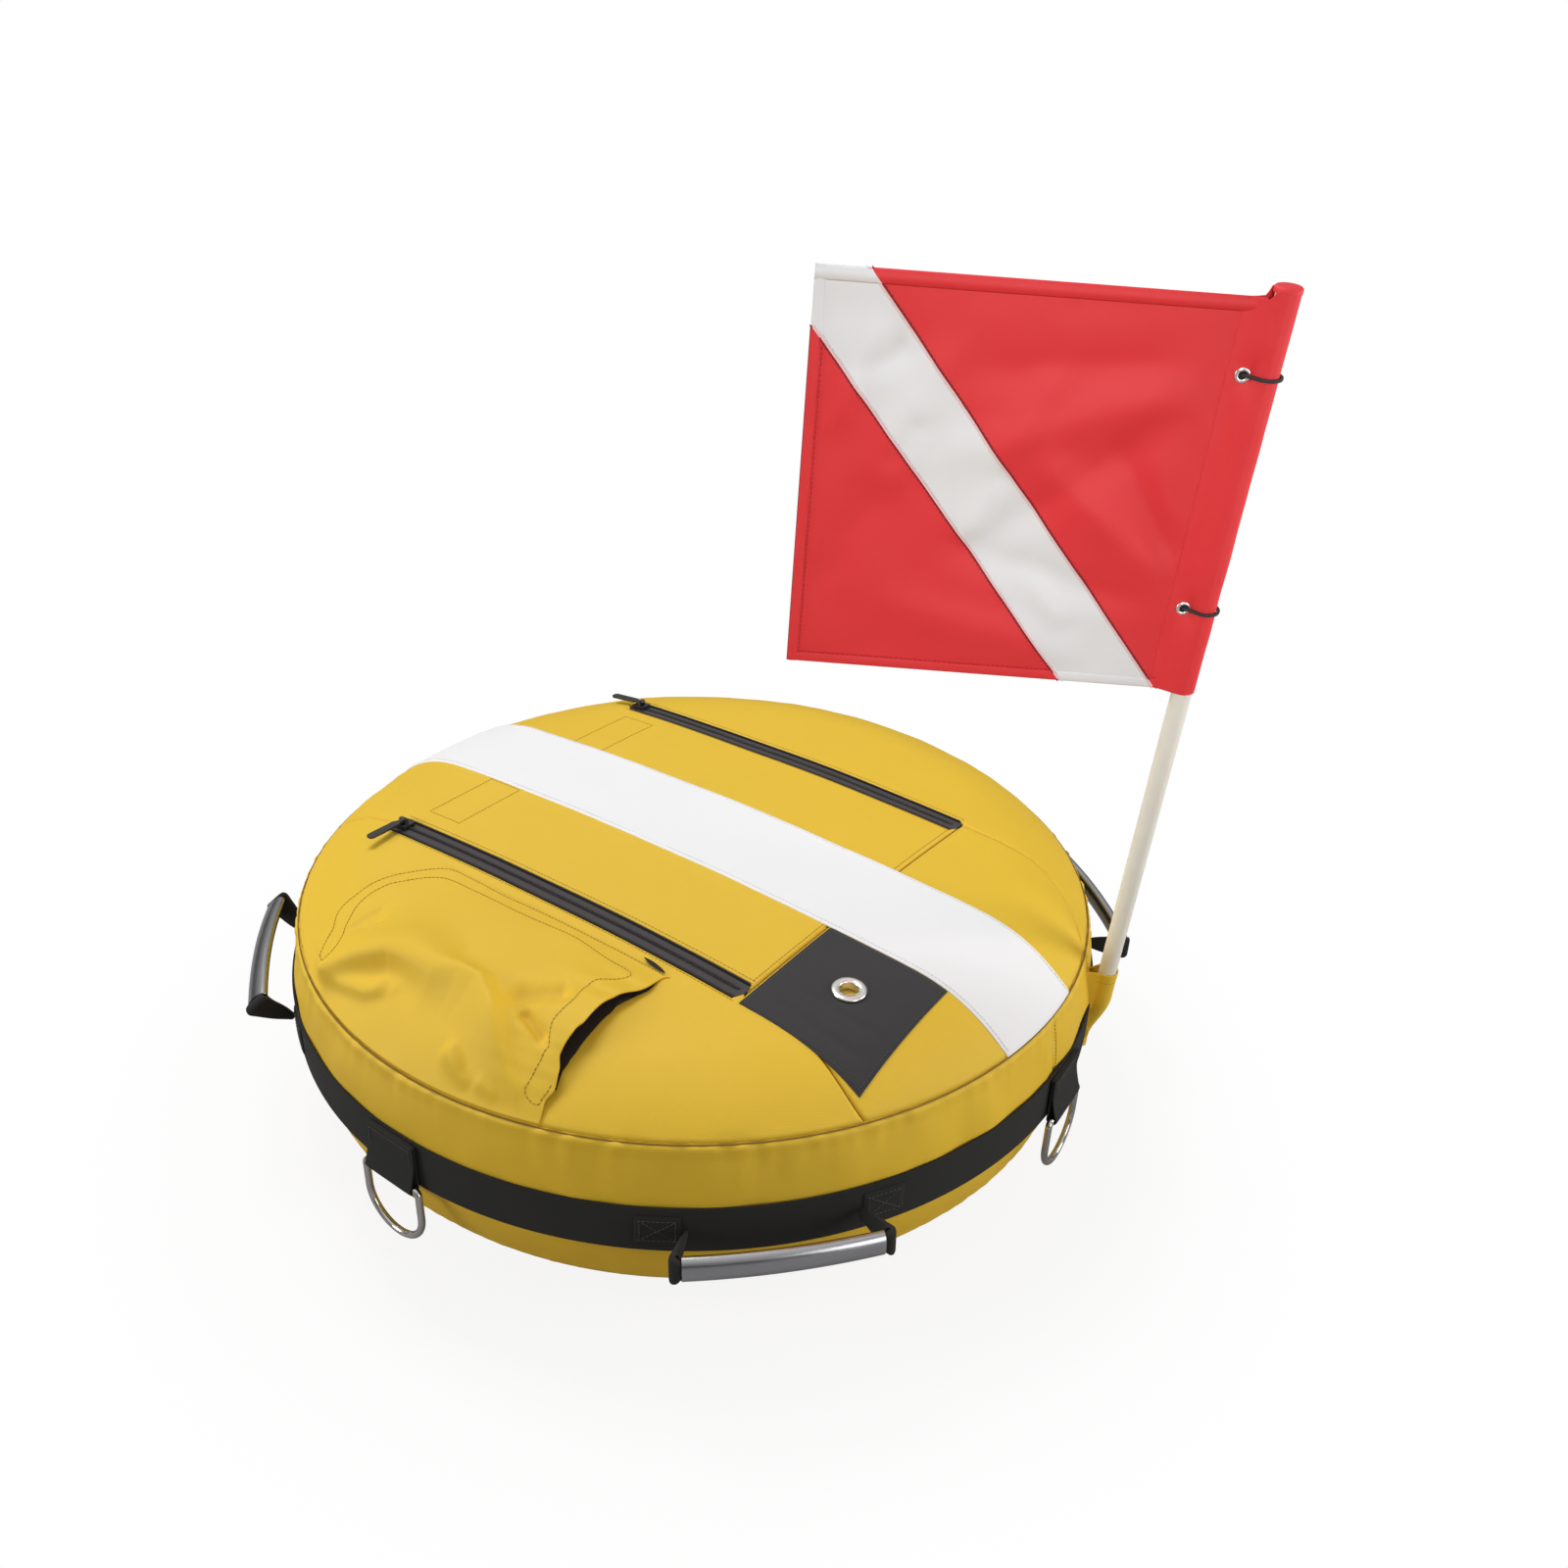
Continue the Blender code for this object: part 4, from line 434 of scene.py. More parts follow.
def loft_piece(name, rings, material, closed=False):
    """A loft through rings of points that all have the same count."""
    count, total = len(rings[0]), len(rings)
    around, along = [0.0], [0.0]
    middle = [Vector(point) for point in rings[total // 2]]
    for here, there in zip(middle, middle[1:] + middle[:1]):
        around.append(around[-1] + (there - here).length)
    centres = [sum((Vector(point) for point in ring), Vector()) / count for ring in rings]
    for here, there in zip(centres, centres[1:] + centres[:1]):
        along.append(along[-1] + (there - here).length)
    faces, corners = [], []
    for cell in cells(total if closed else total - 1, count):
        faces.append([(row % total) * count + column % count for row, column in cell])
        corners.extend((around[column], along[row]) for row, column in cell)
    if not closed:
        for row in (0, total - 1):
            faces.append([row * count + column for column in range(count)])
            corners.extend((around[column], along[row]) for column in range(count))
    piece = new_piece(name, [point for ring in rings for point in ring], faces, corners, material)
    edit_mesh(piece, lambda work: bmesh.ops.recalc_face_normals(work, faces=work.faces))
    piece.data.set_sharp_from_angle(angle=math.radians(50))
    return piece


def turned(name, section, material, count, place=Matrix()):
    """A closed section of (radius, height) points turned about its own axis."""
    rings = [
        [place @ Vector((radius * across, radius * along, height)) for radius, height in section]
        for across, along in circle(count)
    ]
    return loft_piece(name, rings, material, closed=True)


def oval(width, height, roundness, count):
    """Section points of a rounded bar: roundness 1 is an ellipse, and less is squarer."""
    def half(size, share):
        return size / 2 * math.copysign(abs(share) ** roundness, share)

    return [(half(width, across), half(height, up)) for across, up in circle(count)]


def path_runs(path, closed):
    """The direction of a path at each point, from the point before it to the point after it."""
    count = len(path)
    if closed:
        return [path[(index + 1) % count] - path[index - 1] for index in range(count)]
    return [path[min(index + 1, count - 1)] - path[max(index - 1, 0)] for index in range(count)]


RIBBON_ROUNDNESS = 0.35


def ribbon(name, path, flat_side, sizes, material, count=20, closed=False):
    """Webbing along a path, its width along flat_side.

    Sizes is one (width, thickness) for the whole path, or a list with one for each point."""
    rings = []
    if isinstance(sizes, tuple):
        sizes = [sizes] * len(path)
    for point, run, size in zip(path, path_runs(path, closed), sizes):
        run = run.normalized()
        side = (flat_side - run * flat_side.dot(run)).normalized()
        face = run.cross(side)
        section = oval(*size, RIBBON_ROUNDNESS, count)
        rings.append([point + side * across + face * up for across, up in section])
    return loft_piece(name, rings, material, closed=closed)


def spline(points, count):
    """More points through a list of points, on a smooth curve."""
    knots = [Vector(point) for point in points]
    knots = [knots[0] * 2 - knots[1]] + knots + [knots[-1] * 2 - knots[-2]]
    made = []
    for index in range(1, len(knots) - 2):
        a, b, c, d = knots[index - 1:index + 3]
        for part in range(count):
            t = part / count
            made.append(
                b + (c - a) * (t / 2) + (a * 2 - b * 5 + c * 4 - d) * (t * t / 2)
                + (b * 3 - a - c * 3 + d) * (t ** 3 / 2)
            )
    made.append(knots[-2])
    return made


def settle(piece, body, slot, *nodes):
    """Put a finished piece on its body, and hide the plain nodes that it stands for. The slot is not used."""
    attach(piece, body)
    if nodes:
        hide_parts(*nodes)
    return piece


print("helpers ready")

# %% [markdown]
# ## Stitches and teeth
#
# A stitch is the same small shape over and over along a line, so a Geometry Nodes tree places it: the
# line is resampled to the stitch spacing, and a rounded bar is set along it at each point. The same tree
# places the teeth of the zips with another spacing and size.

# %% A tree that repeats a bar along a path


def make_repeat_tree():
    tree = bpy.data.node_groups.new("repeat_along_path", "GeometryNodeTree")
    inputs = {
        "Geometry": "Geometry", "Spacing": "Float", "Length": "Float", "Width": "Float", "Height": "Float",
        "Finish": "Material",
    }
    for name, kind in inputs.items():
        tree.interface.new_socket(name, in_out="INPUT", socket_type=f"NodeSocket{kind}")
    tree.interface.new_socket("Geometry", in_out="OUTPUT", socket_type="NodeSocketGeometry")
    given = add_node(tree, "NodeGroupInput").outputs
    line = add_node(tree, "GeometryNodeMeshToCurve", {0: given["Geometry"]})
    spaced = add_node(
        tree, "GeometryNodeResampleCurve", {"Curve": line.outputs[0], "Length": given["Spacing"]}, mode="LENGTH"
    )
    tangent = add_node(tree, "GeometryNodeInputTangent")
    turn = add_node(tree, "FunctionNodeAlignRotationToVector", {"Vector": tangent.outputs[0]}, axis="Z")
    bar = add_node(tree, "GeometryNodeMeshUVSphere", {"Segments": 6, "Rings": 4, "Radius": 0.5})
    size = add_node(tree, "ShaderNodeCombineXYZ", {0: given["Width"], 1: given["Height"], 2: given["Length"]})
    place = add_node(tree, "GeometryNodeInstanceOnPoints", {
        "Points": spaced.outputs[0], "Instance": bar.outputs[0],
        "Rotation": turn.outputs[0], "Scale": size.outputs[0],
    })
    real = add_node(tree, "GeometryNodeRealizeInstances", {0: place.outputs[0]})
    smooth = add_node(tree, "GeometryNodeSetShadeSmooth", {0: real.outputs[0]})
    paint = add_node(
        tree, "GeometryNodeSetMaterial", {"Geometry": smooth.outputs[0], "Material": given["Finish"]}
    )
    add_node(tree, "NodeGroupOutput", {0: paint.outputs[0]})
    return tree


REPEAT = make_repeat_tree()


def repeat_along(name, paths, material, spacing, length, width, height):
    """One mesh of bars along all the given paths."""
    guide = bpy.data.meshes.new(name + "_guide")
    points, edges = [], []
    for path in paths:
        start = len(points)
        points.extend(tuple(point) for point in path)
        edges.extend((index, index + 1) for index in range(start, len(points) - 1))
    guide.from_pydata(points, edges, [])
    carrier = bpy.data.objects.new(name + "_guide", guide)
    bpy.context.scene.collection.objects.link(carrier)
    modifier = carrier.modifiers.new("repeat", "NODES")
    modifier.node_group = REPEAT
    values = {"Spacing": spacing, "Length": length, "Width": width, "Height": height, "Finish": material}
    for item in REPEAT.interface.items_tree:
        if item.in_out == "INPUT" and item.name in values:
            modifier[item.identifier] = values[item.name]
    carrier.update_tag()
    bpy.context.view_layer.update()
    made = bpy.data.meshes.new_from_object(
        carrier.evaluated_get(bpy.context.evaluated_depsgraph_get())
    )
    made.name = name
    carrier.modifiers.remove(modifier)
    bpy.data.objects.remove(carrier)
    piece = bpy.data.objects.new(name, made)
    bpy.context.scene.collection.objects.link(piece)
    return piece


STITCH_SPACING = 3.4 * MM
STITCH_LENGTH = 3.0 * MM
STITCH_THICKNESS = 0.75 * MM


def stitches(name, paths, material, body, slot):
    piece = repeat_along(
        name, paths, material, STITCH_SPACING, STITCH_LENGTH, STITCH_THICKNESS, STITCH_THICKNESS
    )
    return settle(piece, body, slot)


print("tree:", REPEAT.name)

# %% [markdown]
# ## The cover
#
# The cover is seven panels of cloth, drawn tight by the tube inside. Each panel is a grid between two of
# its edges, on the float's rounded top. Towards an edge the cloth turns down into its seam, so the seams
# show as narrow valleys, and near the round seam the cloth puckers a little.

# %% Relief of the top
SEAM_DEPTH = 2.4 * MM
SEAM_WIDTH = 1.2 * MM
SLACK = 1.1 * MM
PUCKER = 1.6 * MM
PUCKER_REACH = 30 * MM


def soft(x, y, z, scale):
    return noise.noise(Vector((x / scale, y / scale, z)))


def relief(x, y):
    """How far the cloth lies off its even form: slow slack everywhere and puckers along the round seam."""
    radius = math.hypot(x, y)
    turn = math.atan2(y, x)
    puckers = math.exp((radius - UPPER_SEAM_RADIUS) / PUCKER_REACH)
    ring = Vector((math.cos(turn) * 13, math.sin(turn) * 13, radius / (90 * MM)))
    edge = smooth_share((UPPER_SEAM_RADIUS - radius) / (9 * MM))
    return edge * (SLACK * soft(x, y, 3.1, 110 * MM) + PUCKER * puckers * noise.noise(ring))


def groove(distance, depth=SEAM_DEPTH, width=SEAM_WIDTH):
    return -depth * math.exp(-((distance / width) ** 2))


def crown_normal(x, y):
    radius = math.hypot(x, y)
    if radius < 1 * MM:
        return Vector((0, 0, 1))
    slope = (crown_height(radius + 1 * MM) - crown_height(radius - 1 * MM)) / (2 * MM)
    return (Vector((0, 0, 1)) - Vector((x, y, 0)) / radius * slope).normalized()


def top_point(x, y, rise=0.0):
    return Vector((x, y, crown_height(math.hypot(x, y)))) + crown_normal(x, y) * (relief(x, y) + rise)


print("top relief at the middle:", round(relief(0, 0) / MM, 2), "mm")

# %% Edges of the top panels
ZIP_OFFSET = 154 * MM
ZIP_BACK = -212 * MM
ZIP_FRONT = 166 * MM
ZIP_SLOT_HALF = 10 * MM
CROSS_SEAM_PLACE = 170 * MM
SLOT_END_RUN = 5 * MM


def rim_x(y, radius=UPPER_SEAM_RADIUS):
    return math.sqrt(max(0, radius ** 2 - y ** 2))


def slot_half(x):
    """Half of the gap that a zip leaves between two panels, at a place along it."""
    back = smooth_share((x - ZIP_BACK + SLOT_END_RUN) / SLOT_END_RUN)
    front = smooth_share((ZIP_FRONT + 1 * MM + SLOT_END_RUN / 2 - x) / (SLOT_END_RUN / 2))
    return ZIP_SLOT_HALF * min(back, front)


FAR_SEAM_TURN = 235 * MM
FAR_SEAM_END = (321 * MM, 109 * MM)
NEAR_SEAM_END = (291 * MM, 174 * MM)


def front_seam_offset(x, side):
    """How far the front panel's side seam lies from the stripe's middle line."""
    start = ZIP_OFFSET + 5 * MM
    if side < 0:
        reach = smooth_share((x - CROSS_SEAM_PLACE) / (NEAR_SEAM_END[0] - CROSS_SEAM_PLACE))
        return between(start, NEAR_SEAM_END[1], reach ** 2)
    if x < FAR_SEAM_TURN:
        return start
    reach = (x - FAR_SEAM_TURN) / (FAR_SEAM_END[0] - FAR_SEAM_TURN)
    return between(start, FAR_SEAM_END[1], min(1, reach) ** 1.9)


def side_edge(x, side):
    """Inner edge of a side panel at a place along it."""
    if x < CROSS_SEAM_PLACE:
        return side * (ZIP_OFFSET + slot_half(x))
    return side * front_seam_offset(x, side)


print("slot half width at the middle:", slot_half(0) / MM, "mm")

# %% Make the top panels
PANEL_SKIN = 1.2 * MM
PANEL_CELL = 4.5 * MM
SIDE_PANEL_WIDTH = 180 * MM
# The radius of the dark tube of painted shade in each seam.
SEAM_SHADE_RADIUS = 0.6 * MM
FLOAT_MIDDLE = (0, 0, BELT_HEIGHT)


def cover_piece(name, rows, columns, place, node, closed=False):
    """A panel of the cover's cloth in place of its plain solid."""
    piece = grid_piece(name, rows, columns, place, COVER, closed, FLOAT_MIDDLE, PANEL_SKIN)
    return settle(piece, "float", "cover_cloth", node)


def centre_place(row, column):
    """The centre panel's back edge follows the round seam, so each strand starts on the rim."""
    across = between(-1, 1, column)
    start = -rim_x(across * ZIP_OFFSET)
    x = between(start, CROSS_SEAM_PLACE, row)
    half = ZIP_OFFSET - slot_half(x)
    y = across * half
    drop = groove((1 - abs(across)) * half) + groove(CROSS_SEAM_PLACE - x) + groove(x - start)
    return top_point(x, y, max(drop, -SEAM_DEPTH)), (x, y)


def seam_end(side):
    """Where the front panel's side seam meets the round seam, as (along, across)."""
    return FAR_SEAM_END if side > 0 else NEAR_SEAM_END


def front_place(row, column):
    across = between(-1, 1, column)
    side = 1 if across > 0 else -1
    end = seam_end(side)
    x = between(CROSS_SEAM_PLACE, rim_x(abs(across) * end[1]), row)
    half = front_seam_offset(min(x, end[0]), side)
    y = across * half
    if math.hypot(x, y) > UPPER_SEAM_RADIUS:
        x = rim_x(y)
    drop = groove((1 - abs(across)) * half) + groove(x - CROSS_SEAM_PLACE)
    drop += groove(UPPER_SEAM_RADIUS - math.hypot(x, y))
    return top_point(x, y, max(drop, -SEAM_DEPTH)), (x, y)


EYELET_SPOT = (227 * MM, -105 * MM)
EYELET_CUT = 9.5 * MM


def cut_eyelet_hole(piece):
    """Take out the cloth inside the patch's eyelet."""
    def cut(work):
        spot = Vector(EYELET_SPOT)
        doomed = [vert for vert in work.verts if (vert.co.xy - spot).length < EYELET_CUT]
        bmesh.ops.delete(work, geom=doomed, context="VERTS")

    edit_mesh(piece, cut)


def side_panel(name, side, length, node):
    """A panel between a zip and the round seam, on the near side (-1) or the far side (1)."""
    end = seam_end(side)
    back = -rim_x(ZIP_OFFSET)
    first = math.degrees(math.atan2(ZIP_OFFSET, back))
    last = math.degrees(math.atan2(end[1], end[0]))

    def place(row, column):
        x = between(back, end[0], row)
        inner = Vector((x, side_edge(x, side)))
        rim_place = polar(UPPER_SEAM_RADIUS, between(first, last, row))
        outer = Vector((rim_place[0], side * rim_place[1]))
        spot = inner.lerp(outer, column)
        drop = groove(min(column, 1 - column) * (outer - inner).length)
        return top_point(spot.x, spot.y, max(drop, -SEAM_DEPTH)), (spot.x, spot.y)

    return cover_piece(name, steps(length, PANEL_CELL), steps(SIDE_PANEL_WIDTH, PANEL_CELL), place, node)


def seam_painted_shade(name, path, closed=False):
    """A dark line of painted shade at the bottom of a seam's groove."""
    rings = []
    for spot, run in zip(path, path_runs(path, closed)):
        side = run.cross(Vector((0, 0, 1))).normalized()
        up = side.cross(run).normalized()
        rings.append([spot + (side * across + up * rise) * SEAM_SHADE_RADIUS for across, rise in circle(6)])
    settle(loft_piece(name, rings, SEAM_SHADE, closed=closed), "float", "cover_cloth")


def front_seam(side):
    places = [between(CROSS_SEAM_PLACE, seam_end(side)[0], share) for share in even(60)]
    return [top_point(x, side * front_seam_offset(x, side), -SEAM_DEPTH) for x in places]


cover_piece("cover_centre", steps(510 * MM, PANEL_CELL), steps(2 * ZIP_OFFSET, PANEL_CELL), centre_place,
            "cover_centre_panel")
front_panel = grid_piece("cover_front", steps(160 * MM, PANEL_CELL), steps(320 * MM, PANEL_CELL), front_place,
                         COVER, towards=FLOAT_MIDDLE, skin=PANEL_SKIN)
cut_eyelet_hole(front_panel)
settle(front_panel, "float", "cover_cloth", "cover_front_panel")
# Dark lines of painted shade along the bottoms of the top's seams.
seam_radius = UPPER_SEAM_RADIUS + 0.3 * MM
rim = [top_point(*polar(seam_radius, 360 * share), -SEAM_DEPTH * 0.25) for share in even(720)[:-1]]
seam_painted_shade("seam_round_shade", rim, closed=True)
across_places = [between(-ZIP_OFFSET, ZIP_OFFSET, share) for share in even(60)]
seam_painted_shade("seam_cross_shade", [top_point(CROSS_SEAM_PLACE, y, -SEAM_DEPTH) for y in across_places])
seam_painted_shade("seam_near_shade", front_seam(-1))
seam_painted_shade("seam_far_shade", front_seam(1))
side_panel("cover_near", -1, 620 * MM, "cover_near_panel")
side_panel("cover_far", 1, 640 * MM, "cover_far_panel")
print("top panels made")

# %% [markdown]
# ## The side bands, the base and the belt
#
# These turn about the float's upright axis, so each is a grid of turns by steps down its section. The
# upper band hangs from the round seam and shows short upright puckers, which fade towards the belt.

# %% Side bands and base
BAND_TURNS = 720
GUSSET_SEAM_AZIMUTH = 3


def band_point(start, end, bulge, share, azimuth, rise):
    """A point of a bowed side band, moved outwards by a rise."""
    first, last = Vector(start), Vector(end)
    run = last - first
    outward = Vector((abs(run.y), -run.x * math.copysign(1, run.y))).normalized()
    point = first + run * share + outward * (bulge * 4 * share * (1 - share) + rise)
    return Vector((*polar(point.x, azimuth), point.y))


LOWER_BAND_RELIEF_SHARE = 0.35
ROLL_HEIGHT = 1.3 * MM
ROLL_DROP = 4.5 * MM
ROLL_WIDTH = 3.2 * MM


def band_relief(arc, share, reach):
    """A rolled edge and puckers under the seam, and slow waves below them."""
    pucker = math.exp(-share * reach / (16 * MM)) * noise.noise(Vector((arc / (11 * MM), share * 0.8, 5)))
    wave = noise.noise(Vector((arc / (33 * MM), share * 1.2, 9)))
    roll = -groove(share * reach - ROLL_DROP, ROLL_HEIGHT, ROLL_WIDTH)
    return 3.0 * MM * pucker + 3.2 * MM * wave * math.sin(math.pi * share) + roll


def make_band(name, start, end, bulge, node):
    length = (Vector(end) - Vector(start)).length
    upper = start[1] > end[1] and end[1] == BELT_HEIGHT

    def place(row, column):
        azimuth = between(-180, 180, column)
        arc_place = math.radians(azimuth) * FLOAT_RADIUS
        share = row if upper else 1 - row
        rise = band_relief(arc_place % (math.tau * FLOAT_RADIUS), share, length)
        rise = (rise if upper else rise * LOWER_BAND_RELIEF_SHARE) + groove(share * length)
        if upper:
            seam_run = math.radians(azimuth - GUSSET_SEAM_AZIMUTH) * FLOAT_RADIUS
            rise += groove(seam_run, SEAM_DEPTH * 0.8, 1.4 * MM)
        return band_point(start, end, bulge, row, azimuth, rise), (arc_place, row * length)

    cover_piece(name, steps(length, 4 * MM), even(BAND_TURNS), place, node, closed=True)


UPPER_BAND_LINE = (
    (UPPER_SEAM_RADIUS, BELT_HEIGHT + UPPER_SEAM_RISE), (CLOTH_RADIUS, BELT_HEIGHT), UPPER_GUSSET_BULGE,
)
LOWER_BAND_LINE = (
    (CLOTH_RADIUS, BELT_HEIGHT), (LOWER_SEAM_RADIUS, BELT_HEIGHT - LOWER_SEAM_DROP), LOWER_GUSSET_BULGE,
)
make_band("upper_band", *UPPER_BAND_LINE, "cover_upper_gusset")
# The band's upright seam is a dashed line of painted shade.
seam_run = [
    band_point(*UPPER_BAND_LINE, share, GUSSET_SEAM_AZIMUTH, -SEAM_DEPTH * 0.3) for share in even(40)[2:-12]
]
stitches("band_seam_shade", [seam_run], SEAM_SHADE, "float", "cover_cloth")
make_band("lower_band", *LOWER_BAND_LINE, "cover_lower_gusset")


def base_place(row, column):
    radius = between(0.5 * MM, LOWER_SEAM_RADIUS, row)
    x, y = polar(radius, 360 * column)
    return Vector((x, y, base_height(radius) - groove(LOWER_SEAM_RADIUS - radius))), (x, y)


cover_piece("base_panel", steps(LOWER_SEAM_RADIUS, 12 * MM), even(180), base_place, "cover_base_panel",
            closed=True)
print("side bands and base made")

# %% Belt
belt_middle = FLOAT_RADIUS - BELT_THICKNESS / 2
belt_section = [
    (belt_middle + across, BELT_HEIGHT + up) for across, up in oval(BELT_THICKNESS, BELT_WIDTH, 0.16, 36)
]
belt = turned("belt", belt_section, WEBBING, BAND_TURNS)
settle(belt, "float", "webbing", "belt_webbing")
print("belt made")

# %% [markdown]
# ## Stripe, patch and eyelet
#
# The stripe and the patch are single layers sewn over the cover, so they use the same top surface and
# stand a thread's thickness above it. The eyelet is turned from one section, rolled over at its rim.

# %% Stripe and patch
STRIPE_HALF = 50.5 * MM
APPLIQUE_RISE = 1.3 * MM
APPLIQUE_SKIN = 1.0 * MM
PATCH_START = 173 * MM
PATCH_END = 280 * MM
PATCH_INNER = -51.5 * MM
PATCH_OUTER = -167 * MM
PATCH_CELL = 2.2 * MM


def edge_lift(distance):
    """A sewn-on layer is thinnest at its edge, where the stitches press it down."""
    return APPLIQUE_RISE * between(0.55, 1, smooth_share(distance / (3.5 * MM)))


def stripe_place(row, column):
    y = between(-STRIPE_HALF, STRIPE_HALF, column)
    reach = rim_x(y, UPPER_SEAM_RADIUS - 0.3 * MM)
    x = between(-reach, reach, row)
    lift = edge_lift(min(column, 1 - column) * 2 * STRIPE_HALF) + groove(reach - abs(x), 0.8 * MM)
    lift += 0.5 * MM * soft(x, y, 8.0, 60 * MM)
    return top_point(x, y, lift), (x, y)


stripe = grid_piece(
    "stripe", steps(670 * MM, 5 * MM), steps(2 * STRIPE_HALF, 4 * MM), stripe_place, STRIPE,
    towards=FLOAT_MIDDLE, skin=APPLIQUE_SKIN,
)
settle(stripe, "float", "stripe_cloth", "white_stripe")

# Place across the patch, depth and width of each soft fold.
PATCH_FOLDS = ((0.60, 0.9 * MM, 3.5 * MM), (0.80, 1.1 * MM, 4 * MM))


def patch_place(row, column):
    x, y = between(PATCH_START, PATCH_END, row), between(PATCH_INNER, PATCH_OUTER, column)
    wide, tall = PATCH_END - PATCH_START, PATCH_INNER - PATCH_OUTER
    lift = edge_lift(min(min(row, 1 - row) * wide, min(column, 1 - column) * tall))
    for middle, depth, width in PATCH_FOLDS:
        off = (column - middle - 0.06 * math.sin(3 * row)) * tall
        lift += groove(off, depth, width) * smooth_share(row * 3) * smooth_share((1 - row) * 4)
    return top_point(x, y, lift), (x, y)


patch = grid_piece(
    "patch", steps(PATCH_END - PATCH_START, PATCH_CELL), steps(PATCH_INNER - PATCH_OUTER, PATCH_CELL),
    patch_place, PATCH, towards=FLOAT_MIDDLE, skin=APPLIQUE_SKIN,
)
cut_eyelet_hole(patch)
settle(patch, "float", "patch_cloth", "grommet_patch")
print("stripe and patch made")

# %% Eyelet
EYELET_HOLE = 7.2 * MM
EYELET_OUTER = 13.5 * MM
EYELET_TOP = 2.0 * MM
EYELET_FOOT = -3.1 * MM
EYELET_ROLL = 1.5 * MM


def surface_frame(x, y):
    """A frame on the cloth, its Z square to it."""
    normal = crown_normal(x, y)
    foot = Vector((x, y, crown_height(math.hypot(x, y))))
    return Matrix.Translation(foot) @ normal.to_track_quat("Z", "Y").to_matrix().to_4x4()


def eyelet_section():
    """A barrel that rolls over into a domed flange."""
    barrel = EYELET_HOLE + EYELET_ROLL / 2
    middle, half = (EYELET_HOLE + EYELET_OUTER) / 2, (EYELET_OUTER - EYELET_HOLE) / 2
    section = [(EYELET_HOLE, EYELET_FOOT), (barrel, EYELET_FOOT), (barrel, EYELET_TOP)]
    section += [(EYELET_OUTER, EYELET_TOP)]
    return section + arc(middle, EYELET_TOP + EYELET_ROLL * 0.4, half, EYELET_ROLL, 0, 180, 10)


eyelet = turned("eyelet", eyelet_section(), NICKEL, 64, surface_frame(*EYELET_SPOT))
settle(eyelet, "float", "nickel", "patch_eyelet")
print("eyelet made")

# %% [markdown]
# ## Zips
#
# A zip is two strips of woven tape with a row of small teeth between them. The tapes lie a little below
# the cloth, so the band looks sunk. The teeth repeat every two millimetres, which suits the same tree as
# the stitches.

# %% Zip tapes and teeth
TOOTH_SPACING = 2.0 * MM
TOOTH_SIZE = (1.3 * MM, 2.0 * MM, 1.6 * MM)
TOOTH_OFFSET = 0.8 * MM
TOOTH_DROP = -0.5 * MM
TAPE_OVERLAP = 3.5 * MM
TAPE_DROP = -1.2 * MM
TAPE_SKIN = 0.7 * MM
# Place and size of the painted shade along each zip's edges.
ZIP_SHADE_INSET = 0.5 * MM
ZIP_SHADE_DROP = -1.0 * MM
ZIP_SHADE_SIZE = (1.6 * MM, 1.8 * MM)


def zip_line(start, end, y, rise, count):
    return [top_point(between(start, end, share), y, rise) for share in even(count)]


def make_zip(name, side):
    middle = side * ZIP_OFFSET

    def place(row, column):
        x = between(ZIP_BACK - 4 * MM, ZIP_FRONT + 3 * MM, row)
        across = between(-1, 1, column)
        y = middle + across * (ZIP_SLOT_HALF + TAPE_OVERLAP)
        ridge = -groove(abs(across) - 0.36, 0.35 * MM, 0.14)
        sag = -0.9 * MM * smooth_share((abs(across) - 0.52) / 0.16)
        return top_point(x, y, ridge + sag + TAPE_DROP), (x, y)

    # Near-black ribbons of painted shade lie along both edges of the slot, where the cloth meets the tape.
    for across, edge in ((-1, "low"), (1, "high")):
        y = middle + across * (ZIP_SLOT_HALF - ZIP_SHADE_INSET)
        path = zip_line(ZIP_BACK, ZIP_FRONT - 0.5 * MM, y, ZIP_SHADE_DROP, 80)
        edge_shade = ribbon(f"zip_{name}_gap_{edge}", path, Vector((0, 0, 1)), ZIP_SHADE_SIZE, ZIP_EDGE_SHADE, count=10)
        settle(edge_shade, "float", "zip_tape")
    tape = grid_piece(f"zip_{name}_band", steps(388 * MM, 6 * MM), even(28), place, ZIP_TAPE,
                      towards=FLOAT_MIDDLE, skin=TAPE_SKIN)
    settle(tape, "float", "zip_tape", f"zip_{name}_tape")
    paths = []
    for across in (-1, 1):
        shift = across * TOOTH_SPACING / 4
        paths.append(zip_line(ZIP_BACK + 3 * MM + shift, ZIP_FRONT - 4 * MM + shift,
                              middle + across * TOOTH_OFFSET, TOOTH_DROP, 60))
    teeth = repeat_along(f"zip_{name}_teeth", paths, ZIP_TEETH, TOOTH_SPACING, *TOOTH_SIZE)
    settle(teeth, "float", "zip_chain", f"zip_{name}_chain")


make_zip("near", -1)
make_zip("far", 1)
print("zips made")

# %% Small pieces that keep their model shape
KEPT_NODES = {
    "zip_near_slider": ZIP_METAL, "zip_near_puller": ZIP_METAL,
    "zip_far_slider": ZIP_METAL, "zip_far_puller": ZIP_METAL,
    "patch_eyelet_washer": NICKEL, "valve_stem": RUBBER, "valve_cap": RUBBER, "flag_stiffener": ROD,
}
for node, material in KEPT_NODES.items():
    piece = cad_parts[node]
    if not piece.material_slots:
        piece.data.materials.append(material)
    for slot in piece.material_slots:
        slot.material = material
print("kept pieces painted:", len(KEPT_NODES))

# %% [markdown]
# ## Stitches of the top
#
# Each line of stitches is a path on the top surface. Lines run beside both edges of each zip, round the
# stripe and the patch, and along the rectangles that hold loops inside the cover.

# %% Stitch lines of the top


